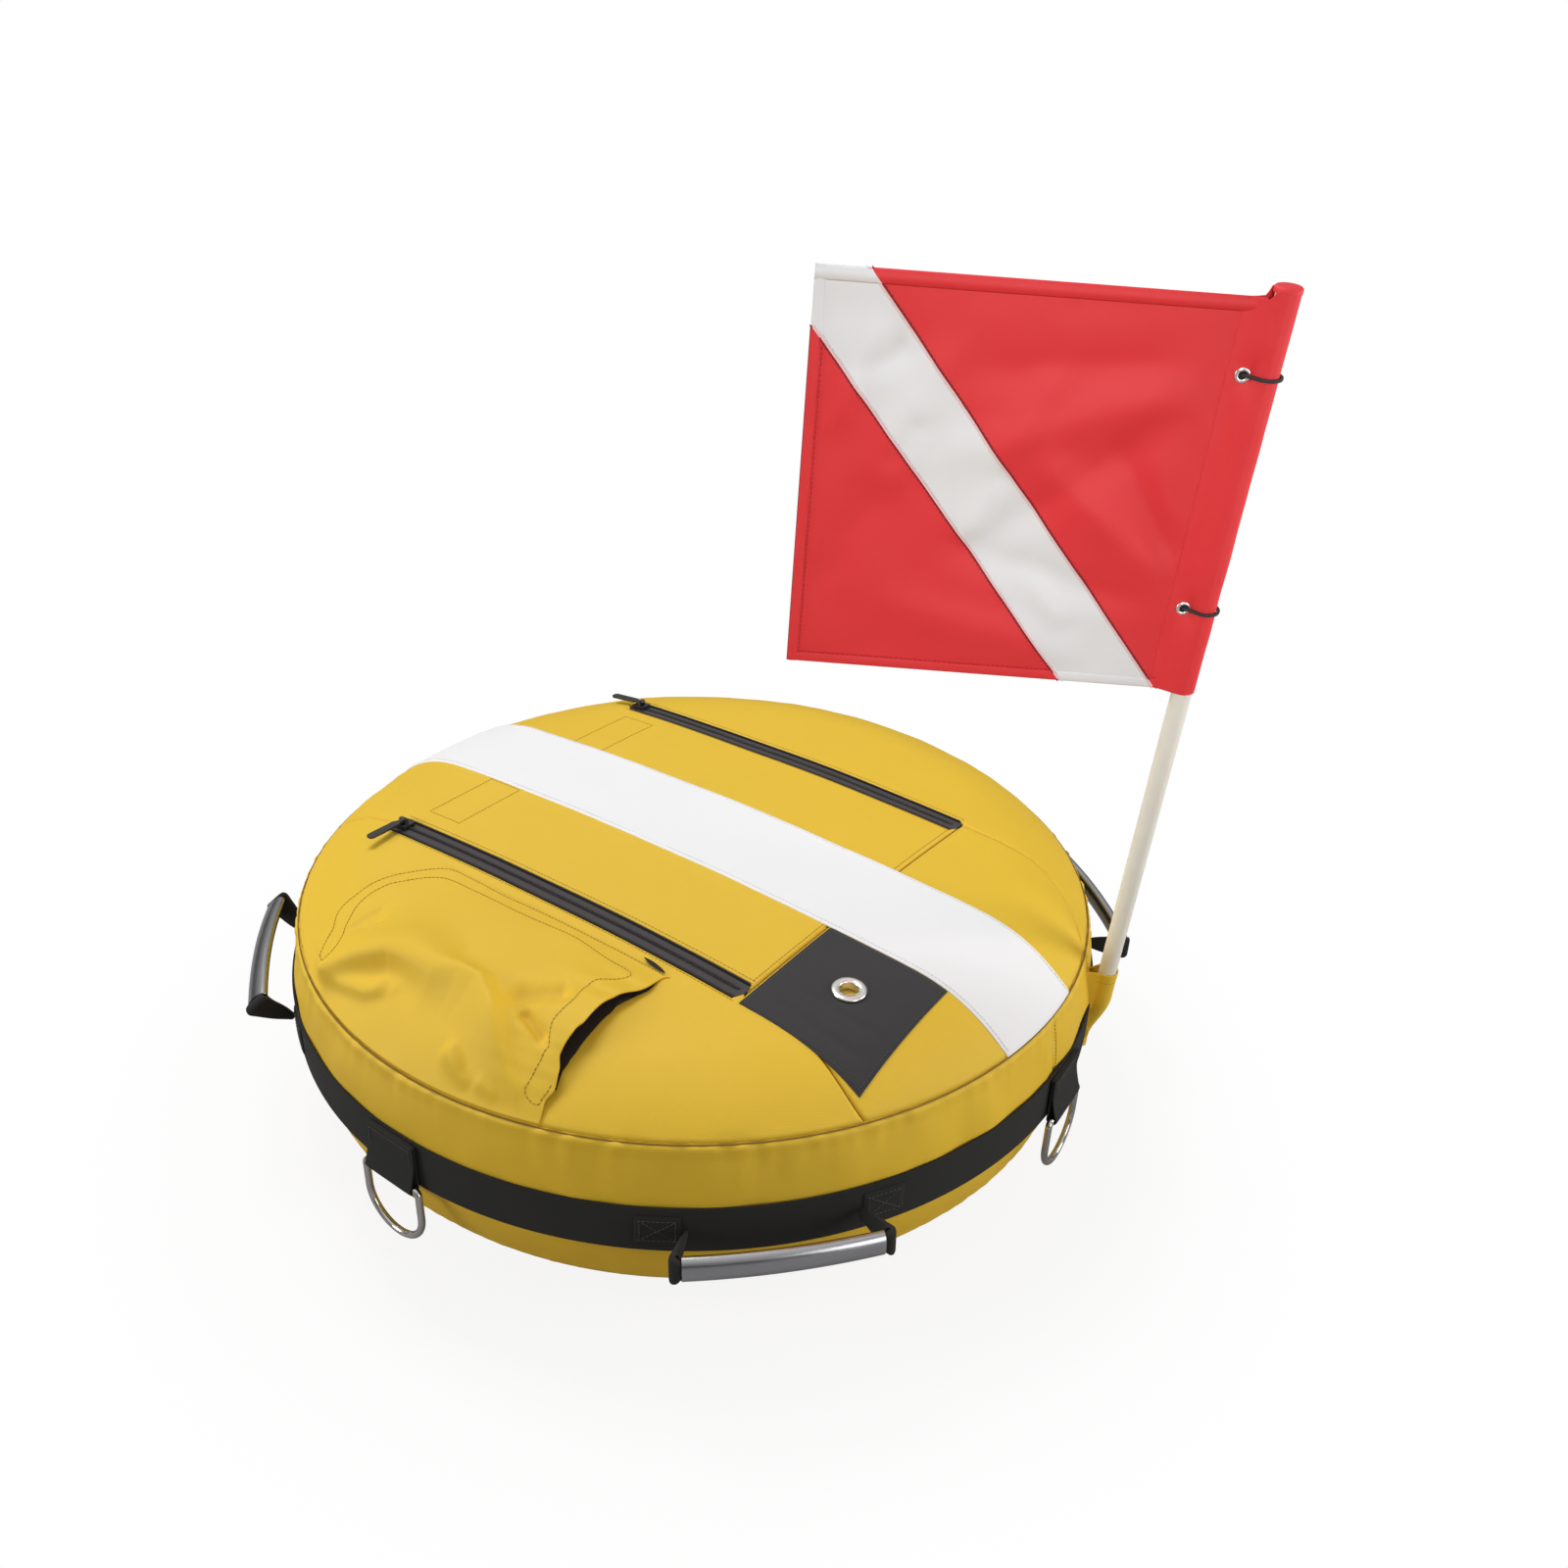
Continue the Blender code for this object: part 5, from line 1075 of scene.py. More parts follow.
def walk(places, cell):
    """Places along the straight lines through the given ones, about a cell apart."""
    path = []
    for (ax, ay), (bx, by) in zip(places, places[1:]):
        count = max(1, round(math.hypot(bx - ax, by - ay) / cell))
        path.extend((between(ax, bx, index / count), between(ay, by, index / count)) for index in range(count))
    return path + [places[-1]]


def on_top(places, rise=0.15 * MM):
    """A path on the cloth through plan places."""
    return [top_point(x, y, rise) for x, y in walk(places, 6 * MM)]


def rectangle(x0, y0, x1, y1):
    return [(x0, y0), (x1, y0), (x1, y1), (x0, y1), (x0, y0)]


ZIP_STITCH_OFFSET = ZIP_SLOT_HALF + 3.5 * MM
CROSS_STITCH_PLACE = CROSS_SEAM_PLACE - 4 * MM
# The stitch boxes that hold the loops inside the cover, by two opposite corners.
LOOP_BOXES = (
    (-205 * MM, -52 * MM, -168 * MM, -125 * MM),
    (-200 * MM, 51 * MM, -164 * MM, 125 * MM),
)
PATCH_STITCH_INSET = 3 * MM
STRIPE_STITCH_INSET = 3 * MM

cover_lines = [on_top(rectangle(*box)) for box in LOOP_BOXES]
for side in (-1, 1):
    for off in (-ZIP_STITCH_OFFSET, ZIP_STITCH_OFFSET):
        y = side * (ZIP_OFFSET + off)
        cover_lines.append(on_top([(ZIP_BACK, y), (ZIP_FRONT, y)]))
    ends = (STRIPE_HALF + 2 * MM, ZIP_OFFSET - 14 * MM)
    cover_lines.append(on_top([(CROSS_STITCH_PLACE, side * end) for end in ends]))
stitches("cover_stitches", cover_lines, COVER_THREAD, "float", "cover_cloth")

patch_box = rectangle(PATCH_START + PATCH_STITCH_INSET, PATCH_INNER - PATCH_STITCH_INSET,
                      PATCH_END - PATCH_STITCH_INSET, PATCH_OUTER + PATCH_STITCH_INSET)
stitches("patch_stitches", [on_top(patch_box, 1.3 * MM)], BLACK_THREAD, "float", "patch_cloth")
stripe_lines = [
    on_top([(-rim_x(y) + 4 * MM, y), (rim_x(y) - 4 * MM, y)], 1.4 * MM)
    for y in (-STRIPE_HALF + STRIPE_STITCH_INSET, STRIPE_HALF - STRIPE_STITCH_INSET)
]
stitches("stripe_stitches", stripe_lines, WHITE_THREAD, "float", "stripe_cloth")
print("top stitches made")

# %% [markdown]
# ## The side pocket
#
# A pocket is a flat piece of cloth sewn down on three sides. Its mouth stands open and its slack cloth
# falls in soft folds that run from its back bottom corner. Each fold is a bent line, gentle on one side and
# steep on the other, which is how cloth breaks over an edge.

# %% Pocket folds
POCKET_BACK = -127 * MM
POCKET_FRONT = 117 * MM
POCKET_TOP_OFFSET = 178 * MM
POCKET_BOTTOM_RADIUS = 337.5 * MM
POCKET_BACK_AZIMUTH = -115
POCKET_FRONT_AZIMUTH = -69.5
POCKET_BACK_BOW = 29 * MM
POCKET_MOUTH_BOW = 17 * MM
POCKET_FILL = 10 * MM
POCKET_EDGE = 1.0 * MM
POCKET_SKIN = 1.4 * MM

# The mouth's edge: share of the way down it, how far it stands out along the pocket, and its rise.
MOUTH_EDGE = (
    (0.00, 0.0, 0.2), (0.02, -2.0, 0.5), (0.17, 5.0, 4.5), (0.33, 4.5, 10.5), (0.44, 6.0, 14.5),
    (0.57, 7.5, 16.5), (0.63, 4.5, 15.5), (0.70, 2.5, 13.0), (0.74, 1.5, 10.0), (0.80, 5.0, 7.0),
    (0.86, 5.5, 4.0), (0.93, 0.5, 2.0), (1.00, 0.0, 0.3),
)

# Each fold is a line of (along, down) shares. With it come its height, and its widths above and below the
# line at its start and at its end.
MAIN_FOLD_SHARES = (
    (0.045, 0.975), (0.150, 0.890), (0.271, 0.765), (0.379, 0.668), (0.450, 0.650), (0.562, 0.638),
    (0.629, 0.600), (0.694, 0.597), (0.770, 0.672), (0.838, 0.800), (0.912, 0.925),
)
SECOND_FOLD_SHARES = ((0.079, 0.940), (0.227, 0.885), (0.353, 0.845), (0.432, 0.785))
MOUTH_CREASE_SHARES = ((0.840, 0.625), (0.890, 0.662), (0.955, 0.722))
HEM_HOLLOW_SHARES = ((0.764, 0.589), (0.831, 0.546), (0.883, 0.473), (0.907, 0.419))
FOOT_FOLD_SHARES = ((0.690, 0.840), (0.745, 0.930), (0.781, 0.975))
LAST_FOLD_SHARES = ((0.800, 0.930), (0.870, 0.975))
BACK_HOLLOW_SHARES = ((0.140, 0.560), (0.230, 0.590))
BACK_PUCKER_SHARES = ((0.030, 0.700), (0.110, 0.790))
POCKET_FOLDS = (
    (MAIN_FOLD_SHARES, 13.5 * MM, (27 * MM, 7 * MM), (7 * MM, 22 * MM)),
    (SECOND_FOLD_SHARES, 6.5 * MM, (9 * MM, 9 * MM), (4.5 * MM, 4.5 * MM)),
    (MOUTH_CREASE_SHARES, -7.5 * MM, (4.5 * MM, 5 * MM), (3.5 * MM, 3.5 * MM)),
    (HEM_HOLLOW_SHARES, -8.5 * MM, (11 * MM, 11 * MM), (8 * MM, 8 * MM)),
    (FOOT_FOLD_SHARES, 6.5 * MM, (5 * MM, 4 * MM), (10 * MM, 10 * MM)),
    (LAST_FOLD_SHARES, 5.0 * MM, (4 * MM, 4 * MM), (8 * MM, 8 * MM)),
    (BACK_HOLLOW_SHARES, -7.0 * MM, (12 * MM, 12 * MM), (14 * MM, 14 * MM)),
    (BACK_PUCKER_SHARES, -3.5 * MM, (5 * MM, 5 * MM), (4 * MM, 4 * MM)),
)


def table_value(table, share, column):
    """A value between the rows of a table, eased between them."""
    for first, second in zip(table, table[1:]):
        if share <= second[0]:
            way = smooth_share((share - first[0]) / (second[0] - first[0]))
            return between(first[column], second[column], way)
    return table[-1][column]


def pocket_plan(along, down):
    top_x = between(POCKET_BACK, POCKET_FRONT, along)
    foot_x, foot_y = polar(POCKET_BOTTOM_RADIUS, between(POCKET_BACK_AZIMUTH, POCKET_FRONT_AZIMUTH, along))
    bow = between(POCKET_BACK_BOW, POCKET_MOUTH_BOW, along) * math.sin(math.pi * down)
    bow -= table_value(MOUTH_EDGE, down, 1) * MM * along ** 12
    return between(top_x, foot_x, down) - bow, between(-POCKET_TOP_OFFSET, foot_y, down)


FOLD_LINES = [
    ([Vector(pocket_plan(*share)) for share in line], height, above, below)
    for line, height, above, below in POCKET_FOLDS
]


def line_offset(line, spot):
    """Distance of a place from a bent line, positive on its upper side, and the share of the way along it."""
    best = None
    for index, (first, second) in enumerate(zip(line, line[1:])):
        run = second - first
        share = min(1, max(0, (spot - first).dot(run) / run.length_squared))
        off = spot - first - run * share
        side = math.copysign(1, run.x * off.y - run.y * off.x)
        if best is None or off.length < abs(best[0]):
            best = (side * off.length, (index + share) / (len(line) - 1))
    return best


def fold_height(x, y):
    """Sum of the pocket's folds at a place: each is gentle above its line and steep below it."""
    spot = Vector((x, y))
    total = 0.0
    for line, height, above, below in FOLD_LINES:
        off, share = line_offset(line, spot)
        width = between(*(above if off > 0 else below), smooth_share(share * 3 - 1))
        ends = smooth_share(share * 5) * smooth_share((1 - share) * 5)
        total += height * math.exp(-((off / width) ** 2)) * between(0.25, 1, ends)
    return total


print("folds:", len(FOLD_LINES))

# %% Pocket


def pocket_rise(along, down, spot):
    bell = math.sin(math.pi * down)
    fill = POCKET_FILL * bell * math.sin(math.pi / 2 * min(1, along / 0.75))
    off, _ = line_offset(FOLD_LINES[0][0], Vector(spot))
    fill *= between(0.35, 1, smooth_share((off + 14 * MM) / (22 * MM)))
    mouth_rise = table_value(MOUTH_EDGE, down, 2) * MM
    rise = between(fill, mouth_rise, smooth_share((along - 0.72) / 0.28))
    edge = smooth_share(down * 9) * smooth_share((1 - down) * 9) * smooth_share(along * 10)
    ripple = 0.9 * MM * noise.noise(Vector((along * 5, down * 4, 2.2)))
    return POCKET_EDGE + rise + (fold_height(*spot) + ripple) * edge * smooth_share((1.06 - along) * 9)


def pocket_point(along, down, extra=0.0):
    spot = pocket_plan(along, down)
    return top_point(*spot, max(pocket_rise(along, down, spot), POCKET_EDGE * 0.6) + extra)


def pocket_place(row, column):
    return pocket_point(row, column), pocket_plan(row, column)


pocket = grid_piece("pocket", steps(250 * MM, 2 * MM), steps(148 * MM, 2 * MM), pocket_place, COVER,
                    towards=FLOAT_MIDDLE, skin=POCKET_SKIN)
settle(pocket, "float", "cover_cloth", "side_pocket")


# The painted shade inside the mouth reaches as far as this line: share of the way down, and share along.
MOUTH_FLOOR_SHARES = (
    (0.00, 0.985), (0.15, 1.003), (0.28, 1.008), (0.41, 1.029), (0.54, 1.035), (0.66, 1.033),
    (0.74, 1.026), (0.79, 1.019), (0.84, 1.004), (1.00, 0.990),
)


def mouth_shade_place(row, column):
    """Painted shade inside the mouth: a near-black sheet on the panel that runs back under the hem."""
    down = between(0.01, 0.86, column)
    if row <= 0.5:
        spot = pocket_plan(between(0.86, 1.0, row * 2), down)
    else:
        edge = pocket_plan(1.0, down)
        reach = (table_value(MOUTH_FLOOR_SHARES, down, 1) - 1.0) * (POCKET_FRONT - POCKET_BACK)
        straight = table_value(MOUTH_EDGE, down, 1) * MM
        spot = (edge[0] + (reach - straight) * (row - 0.5) * 2, edge[1])
    return top_point(*spot, 0.7 * MM), spot


SLIT_START = (88 * MM, -174 * MM)
SLIT_END = (113 * MM, -178 * MM)
SLIT_WIDTH = 4.0 * MM


def slit_shade_place(row, column):
    """Painted shade in the slit at the mouth's upper corner: a near-black strip."""
    x, y = (between(*ends, row) for ends in zip(SLIT_START, SLIT_END))
    y += SLIT_WIDTH * math.sin(math.pi * row) ** 0.7 * (column - 0.5)
    return top_point(x, y, 2.4 * MM), (x, y)


# A near-black sheet of painted shade where the open mouth is shaded inside.
mouth_shade = grid_piece("pocket_mouth_shade", even(24), even(90), mouth_shade_place, PAINTED_SHADE, towards=FLOAT_MIDDLE)
settle(mouth_shade, "float", "cover_cloth")
# A near-black strip of painted shade fills the slit at the mouth's corner.
slit = grid_piece("pocket_corner_slit_shade", even(16), even(4), slit_shade_place, PAINTED_SHADE, towards=FLOAT_MIDDLE)
settle(slit, "float", "cover_cloth")

# Lines of stitches on the pocket, as (along, down) shares.
OUTER_LINE_SHARES = (
    (0.985, 0.012), (0.85, 0.010), (0.72, 0.012), (0.616, 0.012), (0.45, 0.015), (0.314, 0.022),
    (0.15, 0.015), (0.04, 0.03), (0.018, 0.20), (0.015, 0.34), (0.022, 0.50), (0.018, 0.63),
    (0.043, 0.726), (0.059, 0.878),
)
INNER_LINE_SHARES = (
    (0.965, 0.730), (0.942, 0.629), (0.943, 0.492), (0.930, 0.409), (0.918, 0.300), (0.936, 0.222),
    (0.932, 0.125), (0.834, 0.105), (0.713, 0.075), (0.634, 0.070), (0.452, 0.089), (0.238, 0.092),
    (0.101, 0.115), (0.070, 0.293), (0.066, 0.362), (0.077, 0.545), (0.105, 0.662), (0.135, 0.778),
    (0.110, 0.873), (0.059, 0.878),
)
HEM_END_SHARES = ((0.965, 0.730), (0.950, 0.80), (0.940, 0.905), (0.985, 0.940), (0.990, 0.860))


def pocket_path(places, extra):
    """A smooth line of points on the pocket through places on it."""
    spots = spline([Vector((along, down, 0)) for along, down in places], 6)
    return [pocket_point(min(spot.x, 0.995), max(spot.y, 0.004), extra) for spot in spots]


pocket_lines = [
    pocket_path(line, 0.25 * MM) for line in (OUTER_LINE_SHARES, INNER_LINE_SHARES, HEM_END_SHARES)
]
stitches("pocket_stitches", pocket_lines, COVER_THREAD, "float", "cover_cloth")
print("pocket made")

# %% [markdown]
# ## Handles
#
# A handle is a bent steel tube with webbing run through it. The webbing leaves the belt edge-on, widens,
# and folds in half to enter the tube, which makes the small bulb at each end of the grip. Each end is
# sewn to the belt with a box of stitches.

# %% Handle sizes
HANDLE_AZIMUTHS = {"front_near": -42, "front_far": 48, "back_far": 137, "back_near": -132}
HANDLE_LIFTS = {"front_near": 8, "front_far": 0, "back_far": 0, "back_near": 48}
GRIP_REACH = 36 * MM
GRIP_LENGTH = 139 * MM
GRIP_BOW = 4.5 * MM
GRIP_HEIGHT = 19 * MM
GRIP_DEPTH = 10.5 * MM
GRIP_WALL = 1 * MM
GRIP_ROUNDNESS = 0.92
STRAP_THICKNESS = 2.2 * MM
STRAP_ROOT_WIDTH = 6.4 * MM
LEG_SPREAD = 61.9 * MM
PAD_LENGTH = 33 * MM
PAD_WIDTH = 26 * MM
PAD_SHOWN = 1.3 * MM
PAD_AZIMUTH = 13.35
PAD_STITCH_INSET = 4 * MM
ROOT_DEPTH = math.sqrt(FLOAT_RADIUS ** 2 - (LEG_SPREAD - STRAP_THICKNESS / 2) ** 2)
AXIS_RADIUS = ROOT_DEPTH + CLEARANCE + STRAP_ROOT_WIDTH / 2


def grip_station(along):
    half = GRIP_LENGTH / 2
    bow_radius = (half ** 2 + GRIP_BOW ** 2) / (2 * GRIP_BOW)
    turn = math.asin(along / bow_radius)
    reach = FLOAT_RADIUS + GRIP_REACH - AXIS_RADIUS
    centre = Vector((reach - bow_radius * (1 - math.cos(turn)), along, 0))
    return centre, Vector((math.cos(turn), math.sin(turn), 0))


def grip_rings(height, depth, place, inset=0.0):
    half = GRIP_LENGTH / 2 - inset
    rings = []
    for share in even(36):
        centre, outward = grip_station(between(-half, half, share))
        rings.append([
            place @ (centre + outward * across + Vector((0, 0, up)))
            for across, up in oval(depth, height, GRIP_ROUNDNESS, 40)
        ])
    return rings


def make_grip(name, place, body):
    outer = grip_rings(GRIP_HEIGHT, GRIP_DEPTH, place)
    shoulder = grip_rings(GRIP_HEIGHT - GRIP_WALL, GRIP_DEPTH - GRIP_WALL, place, -0.35 * MM)
    inner = grip_rings(GRIP_HEIGHT - 2 * GRIP_WALL, GRIP_DEPTH - 2 * GRIP_WALL, place)
    rings = [shoulder[0]] + outer + [shoulder[-1]] + inner[::-1]
    piece = loft_piece(f"grip_{name}", rings, GRIP_STEEL, closed=True)
    return settle(piece, body, "grip_steel", f"handle_{name}_grip")


print("handle axis radius:", round(AXIS_RADIUS / MM, 2), "mm")

# %% Handle webbing


def strap_path():
    """Half of the webbing's run, from its root to the middle of the grip: place, width and thickness."""
    half = GRIP_LENGTH / 2
    end, _ = grip_station(half)
    root = Vector((0, LEG_SPREAD, 0))
    mouth = Vector((end.x, half + 1 * MM, 0))
    bulb = Vector((end.x - 0.5 * MM, half + 5.0 * MM, 0))
    shoulder = Vector((end.x - 7.5 * MM, half + 3.5 * MM, 0))
    waist = root.lerp(shoulder, 0.45)
    deep, _ = grip_station(half - 8 * MM)
    return [
        (root + Vector((-2.4 * MM, 0, 0)), 4.2 * MM, 1.8 * MM),
        (root, 7.0 * MM, 2.0 * MM),
        (waist, 15 * MM, 2.6 * MM),
        (shoulder, 20 * MM, 4.0 * MM),
        (bulb, 21.5 * MM, 8.0 * MM),
        (mouth, 15 * MM, 7.5 * MM),
        (deep, 12 * MM, 5 * MM),
        (grip_station(half / 2)[0], 12 * MM, 4 * MM),
        (grip_station(0)[0], 12 * MM, 4 * MM),
    ]


def make_strap(name, place, body):
    half_path = strap_path()
    whole = half_path + [
        (Vector((point.x, -point.y, point.z)), width, thickness)
        for point, width, thickness in reversed(half_path[:-1])
    ]
    centres = spline([point for point, _, _ in whole], 6)
    sizes = spline([Vector((width, thickness, 0)) for _, width, thickness in whole], 6)
    up = (place.to_3x3() @ Vector((0, 0, 1))).normalized()
    path = [place @ point for point in centres]
    piece = ribbon(f"strap_{name}", path, up, [(size.x, size.y) for size in sizes], WEBBING)
    return settle(piece, body, "webbing", f"handle_{name}_strap")


PAD_CELL = 2 * MM
PAD_EDGE = 1.6 * MM
PAD_EDGE_STEPS = (0.3 * MM, 0.8 * MM, PAD_EDGE)


def belt_spot(azimuth, across, up, radius):
    """A point over the belt, by its distance along the belt from an azimuth and its height."""
    return Vector((*polar(radius, azimuth + math.degrees(across / FLOAT_RADIUS)), BELT_HEIGHT + up))


def make_pad(name, azimuth):
    """A rounded slab of webbing that follows the belt's curve, with its chart along the belt."""
    def place(row, column):
        across, up = PAD_LENGTH * (column - 0.5), PAD_WIDTH * (row - 0.5)
        edge = min(min(column, 1 - column) * PAD_LENGTH, min(row, 1 - row) * PAD_WIDTH)
        rise = PAD_SHOWN * between(0.55, 1, smooth_share(edge / PAD_EDGE))
        return belt_spot(azimuth, across, up, FLOAT_RADIUS + rise), (across, BELT_HEIGHT + up)

    rows, columns = (steps(size, PAD_CELL, PAD_EDGE_STEPS) for size in (PAD_WIDTH, PAD_LENGTH))
    return grid_piece(name, rows, columns, place, WEBBING, towards=FLOAT_MIDDLE, skin=PAD_SHOWN * 0.6)


def make_handle(name, azimuth):
    body = f"handle_{name}"
    lift = Matrix.Rotation(math.radians(-HANDLE_LIFTS[name]), 4, "Y")
    place = belt_frame(azimuth, AXIS_RADIUS) @ lift
    make_grip(name, place, body)
    make_strap(name, place, body)
    reach, rise = PAD_LENGTH / 2 - PAD_STITCH_INSET, PAD_WIDTH / 2 - PAD_STITCH_INSET
    crossed_box = (rectangle(-reach, -rise, reach, rise) + [(reach, rise)], [(reach, -rise), (-reach, rise)])
    lines = []
    for pad_name, side in (("left", -1), ("right", 1)):
        pad_azimuth = azimuth + side * PAD_AZIMUTH
        pad = make_pad(f"pad_{name}_{pad_name}", pad_azimuth)
        settle(pad, "float", "webbing", f"handle_{name}_{pad_name}_pad")
        for places in crossed_box:
            lines.append([
                belt_spot(pad_azimuth, across, up, FLOAT_RADIUS + PAD_SHOWN + 0.1 * MM)
                for across, up in walk(places, 3 * MM)
            ])
    stitches(f"pad_stitches_{name}", lines, BLACK_THREAD, "float", "webbing")


for name, azimuth in HANDLE_AZIMUTHS.items():
    make_handle(name, azimuth)
print("handles made:", len(HANDLE_AZIMUTHS))

# %% [markdown]
# ## Towing rings
#
# Each ring is a D of polished wire. Its straight side is the bar that the webbing tab folds round, so the
# tab is one long ribbon: down the front, under the bar and up behind it.

# %% Rings and tabs
RING_AZIMUTHS = {"front": 4.5, "far": 92, "back": 182, "near": -90}
RING_WIRE_RADIUS = 2.5 * MM
RING_WIRE_SHOWN = 2.8 * MM
RING_WIDTH = 63 * MM
RING_HEIGHT = 58 * MM
RING_CORNER_RADIUS = 4.5 * MM
TAB_WIDTH = 50 * MM
TAB_LAYER = 2.0 * MM
TAB_SHOWN = TAB_LAYER * 0.95
TAB_STITCH_INSET = 3.5 * MM
TAB_TOP = BELT_HEIGHT + BELT_WIDTH / 2 - 1 * MM
BAR_RADIUS = FLOAT_RADIUS + CLEARANCE + RING_WIRE_RADIUS + CLEARANCE + 2 * MM
BAR_HEIGHT = BELT_HEIGHT - BELT_WIDTH / 2 + 1 * MM


def ring_path():
    """The middle of the wire as (along, down) places: a straight bar, two corners and a round bow."""
    half = RING_WIDTH / 2 - RING_WIRE_RADIUS
    bow = RING_HEIGHT - RING_WIRE_RADIUS - half
    corner = RING_CORNER_RADIUS
    return (
        arc(half - corner, corner, corner, corner, -90, 0, 8) + arc(0, bow, half, half, 0, 180, 40)
        + arc(corner - half, corner, corner, corner, 180, 270, 8)
    )


def tab_path():
    """The middle of the folded tab, as (outwards, up) places from the bar."""
    radius = RING_WIRE_RADIUS + CLEARANCE + TAB_LAYER / 2
    rise = TAB_TOP - BAR_HEIGHT
    front = [(TAB_LAYER - radius, rise), (TAB_LAYER - radius, rise * 0.55), (radius - TAB_SHOWN, radius * 1.4)]
    return front + arc(0, 0, radius, radius, 25, -180, 14) + [(-radius, rise * 0.5), (-radius, rise)]


def make_ring(name, azimuth):
    place = belt_frame(azimuth, BAR_RADIUS, BAR_HEIGHT)
    path = [Vector((0, along, -down)) for along, down in ring_path()]
    section = oval(2 * RING_WIRE_SHOWN, 2 * RING_WIRE_SHOWN, 1, 20)
    rings = []
    for spot, run in zip(path, path_runs(path, True)):
        across = Vector((0, run.z, -run.y)).normalized()
        rings.append([place @ (spot + across * off + Vector((side, 0, 0))) for off, side in section])
    wire = loft_piece(f"ring_{name}", rings, RING_STEEL, closed=True)
    settle(wire, f"d_ring_{name}", "ring_steel", f"d_ring_{name}")
    folded = spline([Vector((outwards, 0, up)) for outwards, up in tab_path()], 3)
    folded = [place @ point for point in folded]
    along = place.to_3x3() @ Vector((0, 1, 0))
    tab = ribbon(f"tab_{name}", folded, along, (TAB_WIDTH, TAB_SHOWN), WEBBING, count=28)
    settle(tab, "float", "webbing", f"d_ring_{name}_tab")
    rise = TAB_TOP - BAR_HEIGHT
    face = TAB_LAYER * 1.5 - (RING_WIRE_RADIUS + CLEARANCE + TAB_LAYER / 2) + 0.1 * MM
    reach = TAB_WIDTH / 2 - TAB_STITCH_INSET
    box = rectangle(-reach, rise * 0.42, reach, rise - TAB_STITCH_INSET)
    line = [
        place @ Vector((face, between(ay, by, share), between(az, bz, share)))
        for (ay, az), (by, bz) in zip(box, box[1:]) for share in even(10)
    ]
    stitches(f"tab_stitches_{name}", [line], BLACK_THREAD, "float", "webbing")


for name, azimuth in RING_AZIMUTHS.items():
    make_ring(name, azimuth)
print("rings made:", len(RING_AZIMUTHS))

# %% [markdown]
# ## Pole and sleeve
#
# The sleeve is cloth from the cover that wraps the pole and lies against the side of the float. A tube of
# off-white plastic stands in it.

# %% Pole
SLEEVE_AZIMUTH = 19
SLEEVE_WALL = 1.6 * MM
SLEEVE_TOP_RISE = 55 * MM
SLEEVE_DEPTH = 80 * MM
SLEEVE_FLOOR = 3 * MM
SOCKET_DEPTH = 35 * MM
POLE_RADIUS = 7.2 * MM
POLE_WALL = 1.6 * MM
POLE_FREE_LENGTH = 553 * MM
POLE_LEAN_OUT = 3.3
POLE_LEAN_ALONG = -5.8


def pole_frame():
    reach = CLOTH_RADIUS + CLEARANCE * 2 + SLEEVE_WALL + POLE_RADIUS
    lean_out = math.tan(math.radians(POLE_LEAN_OUT))
    lean_along = math.tan(math.radians(POLE_LEAN_ALONG))
    mouth = belt_frame(SLEEVE_AZIMUTH, reach + lean_out * SOCKET_DEPTH, BELT_HEIGHT + SLEEVE_TOP_RISE)
    up = Vector((lean_out, lean_along, 1)).normalized()
    out = (Vector((1, 0, 0)) - up * up.x).normalized()
    axes = Matrix((out, up.cross(out), up)).transposed().to_4x4()
    return mouth @ axes


POLE_PLACE = pole_frame()


def make_pole():
    foot = SLEEVE_FLOOR + CLEARANCE - SOCKET_DEPTH
    inner = POLE_RADIUS - POLE_WALL
    section = [(inner, foot), (POLE_RADIUS, foot)]
    section += [(POLE_RADIUS, between(foot, POLE_FREE_LENGTH, share)) for share in even(12)[1:]]
    section += [(inner, POLE_FREE_LENGTH)]
    piece = turned("pole", section, POLE, 48, POLE_PLACE)
    return settle(piece, "pole", "pole_plastic", "flag_pole")


make_pole()
print("pole made")

# %% Sleeve


def side_radius(height):
    """Radius of the float's side at a height, over the belt where it is."""
    rise = height - BELT_HEIGHT
    if abs(rise) <= BELT_WIDTH / 2:
        return FLOAT_RADIUS
    upper = (UPPER_SEAM_RISE, UPPER_SEAM_RADIUS, UPPER_GUSSET_BULGE)
    lower = (LOWER_SEAM_DROP, LOWER_SEAM_RADIUS, LOWER_GUSSET_BULGE)
    reach, radius, bulge = upper if rise > 0 else lower
    share = abs(rise) / reach
    return between(CLOTH_RADIUS, radius, share) + bulge * 4 * share * (1 - share)


SLEEVE_TAPER = 11 * MM
SLEEVE_WRAP = 120
SLEEVE_FLANK_SHARE = 0.28
SLEEVE_FLANK_REACH = 24 * MM
SLEEVE_HEM = 9 * MM
SLEEVE_TAIL = 8 * MM
SLEEVE_FAR_DROP = 15 * MM
SLEEVE_NARROWING = 0.62
SLEEVE_SKIN = 1.0 * MM
SLEEVE_LIFT = 0.9 * MM


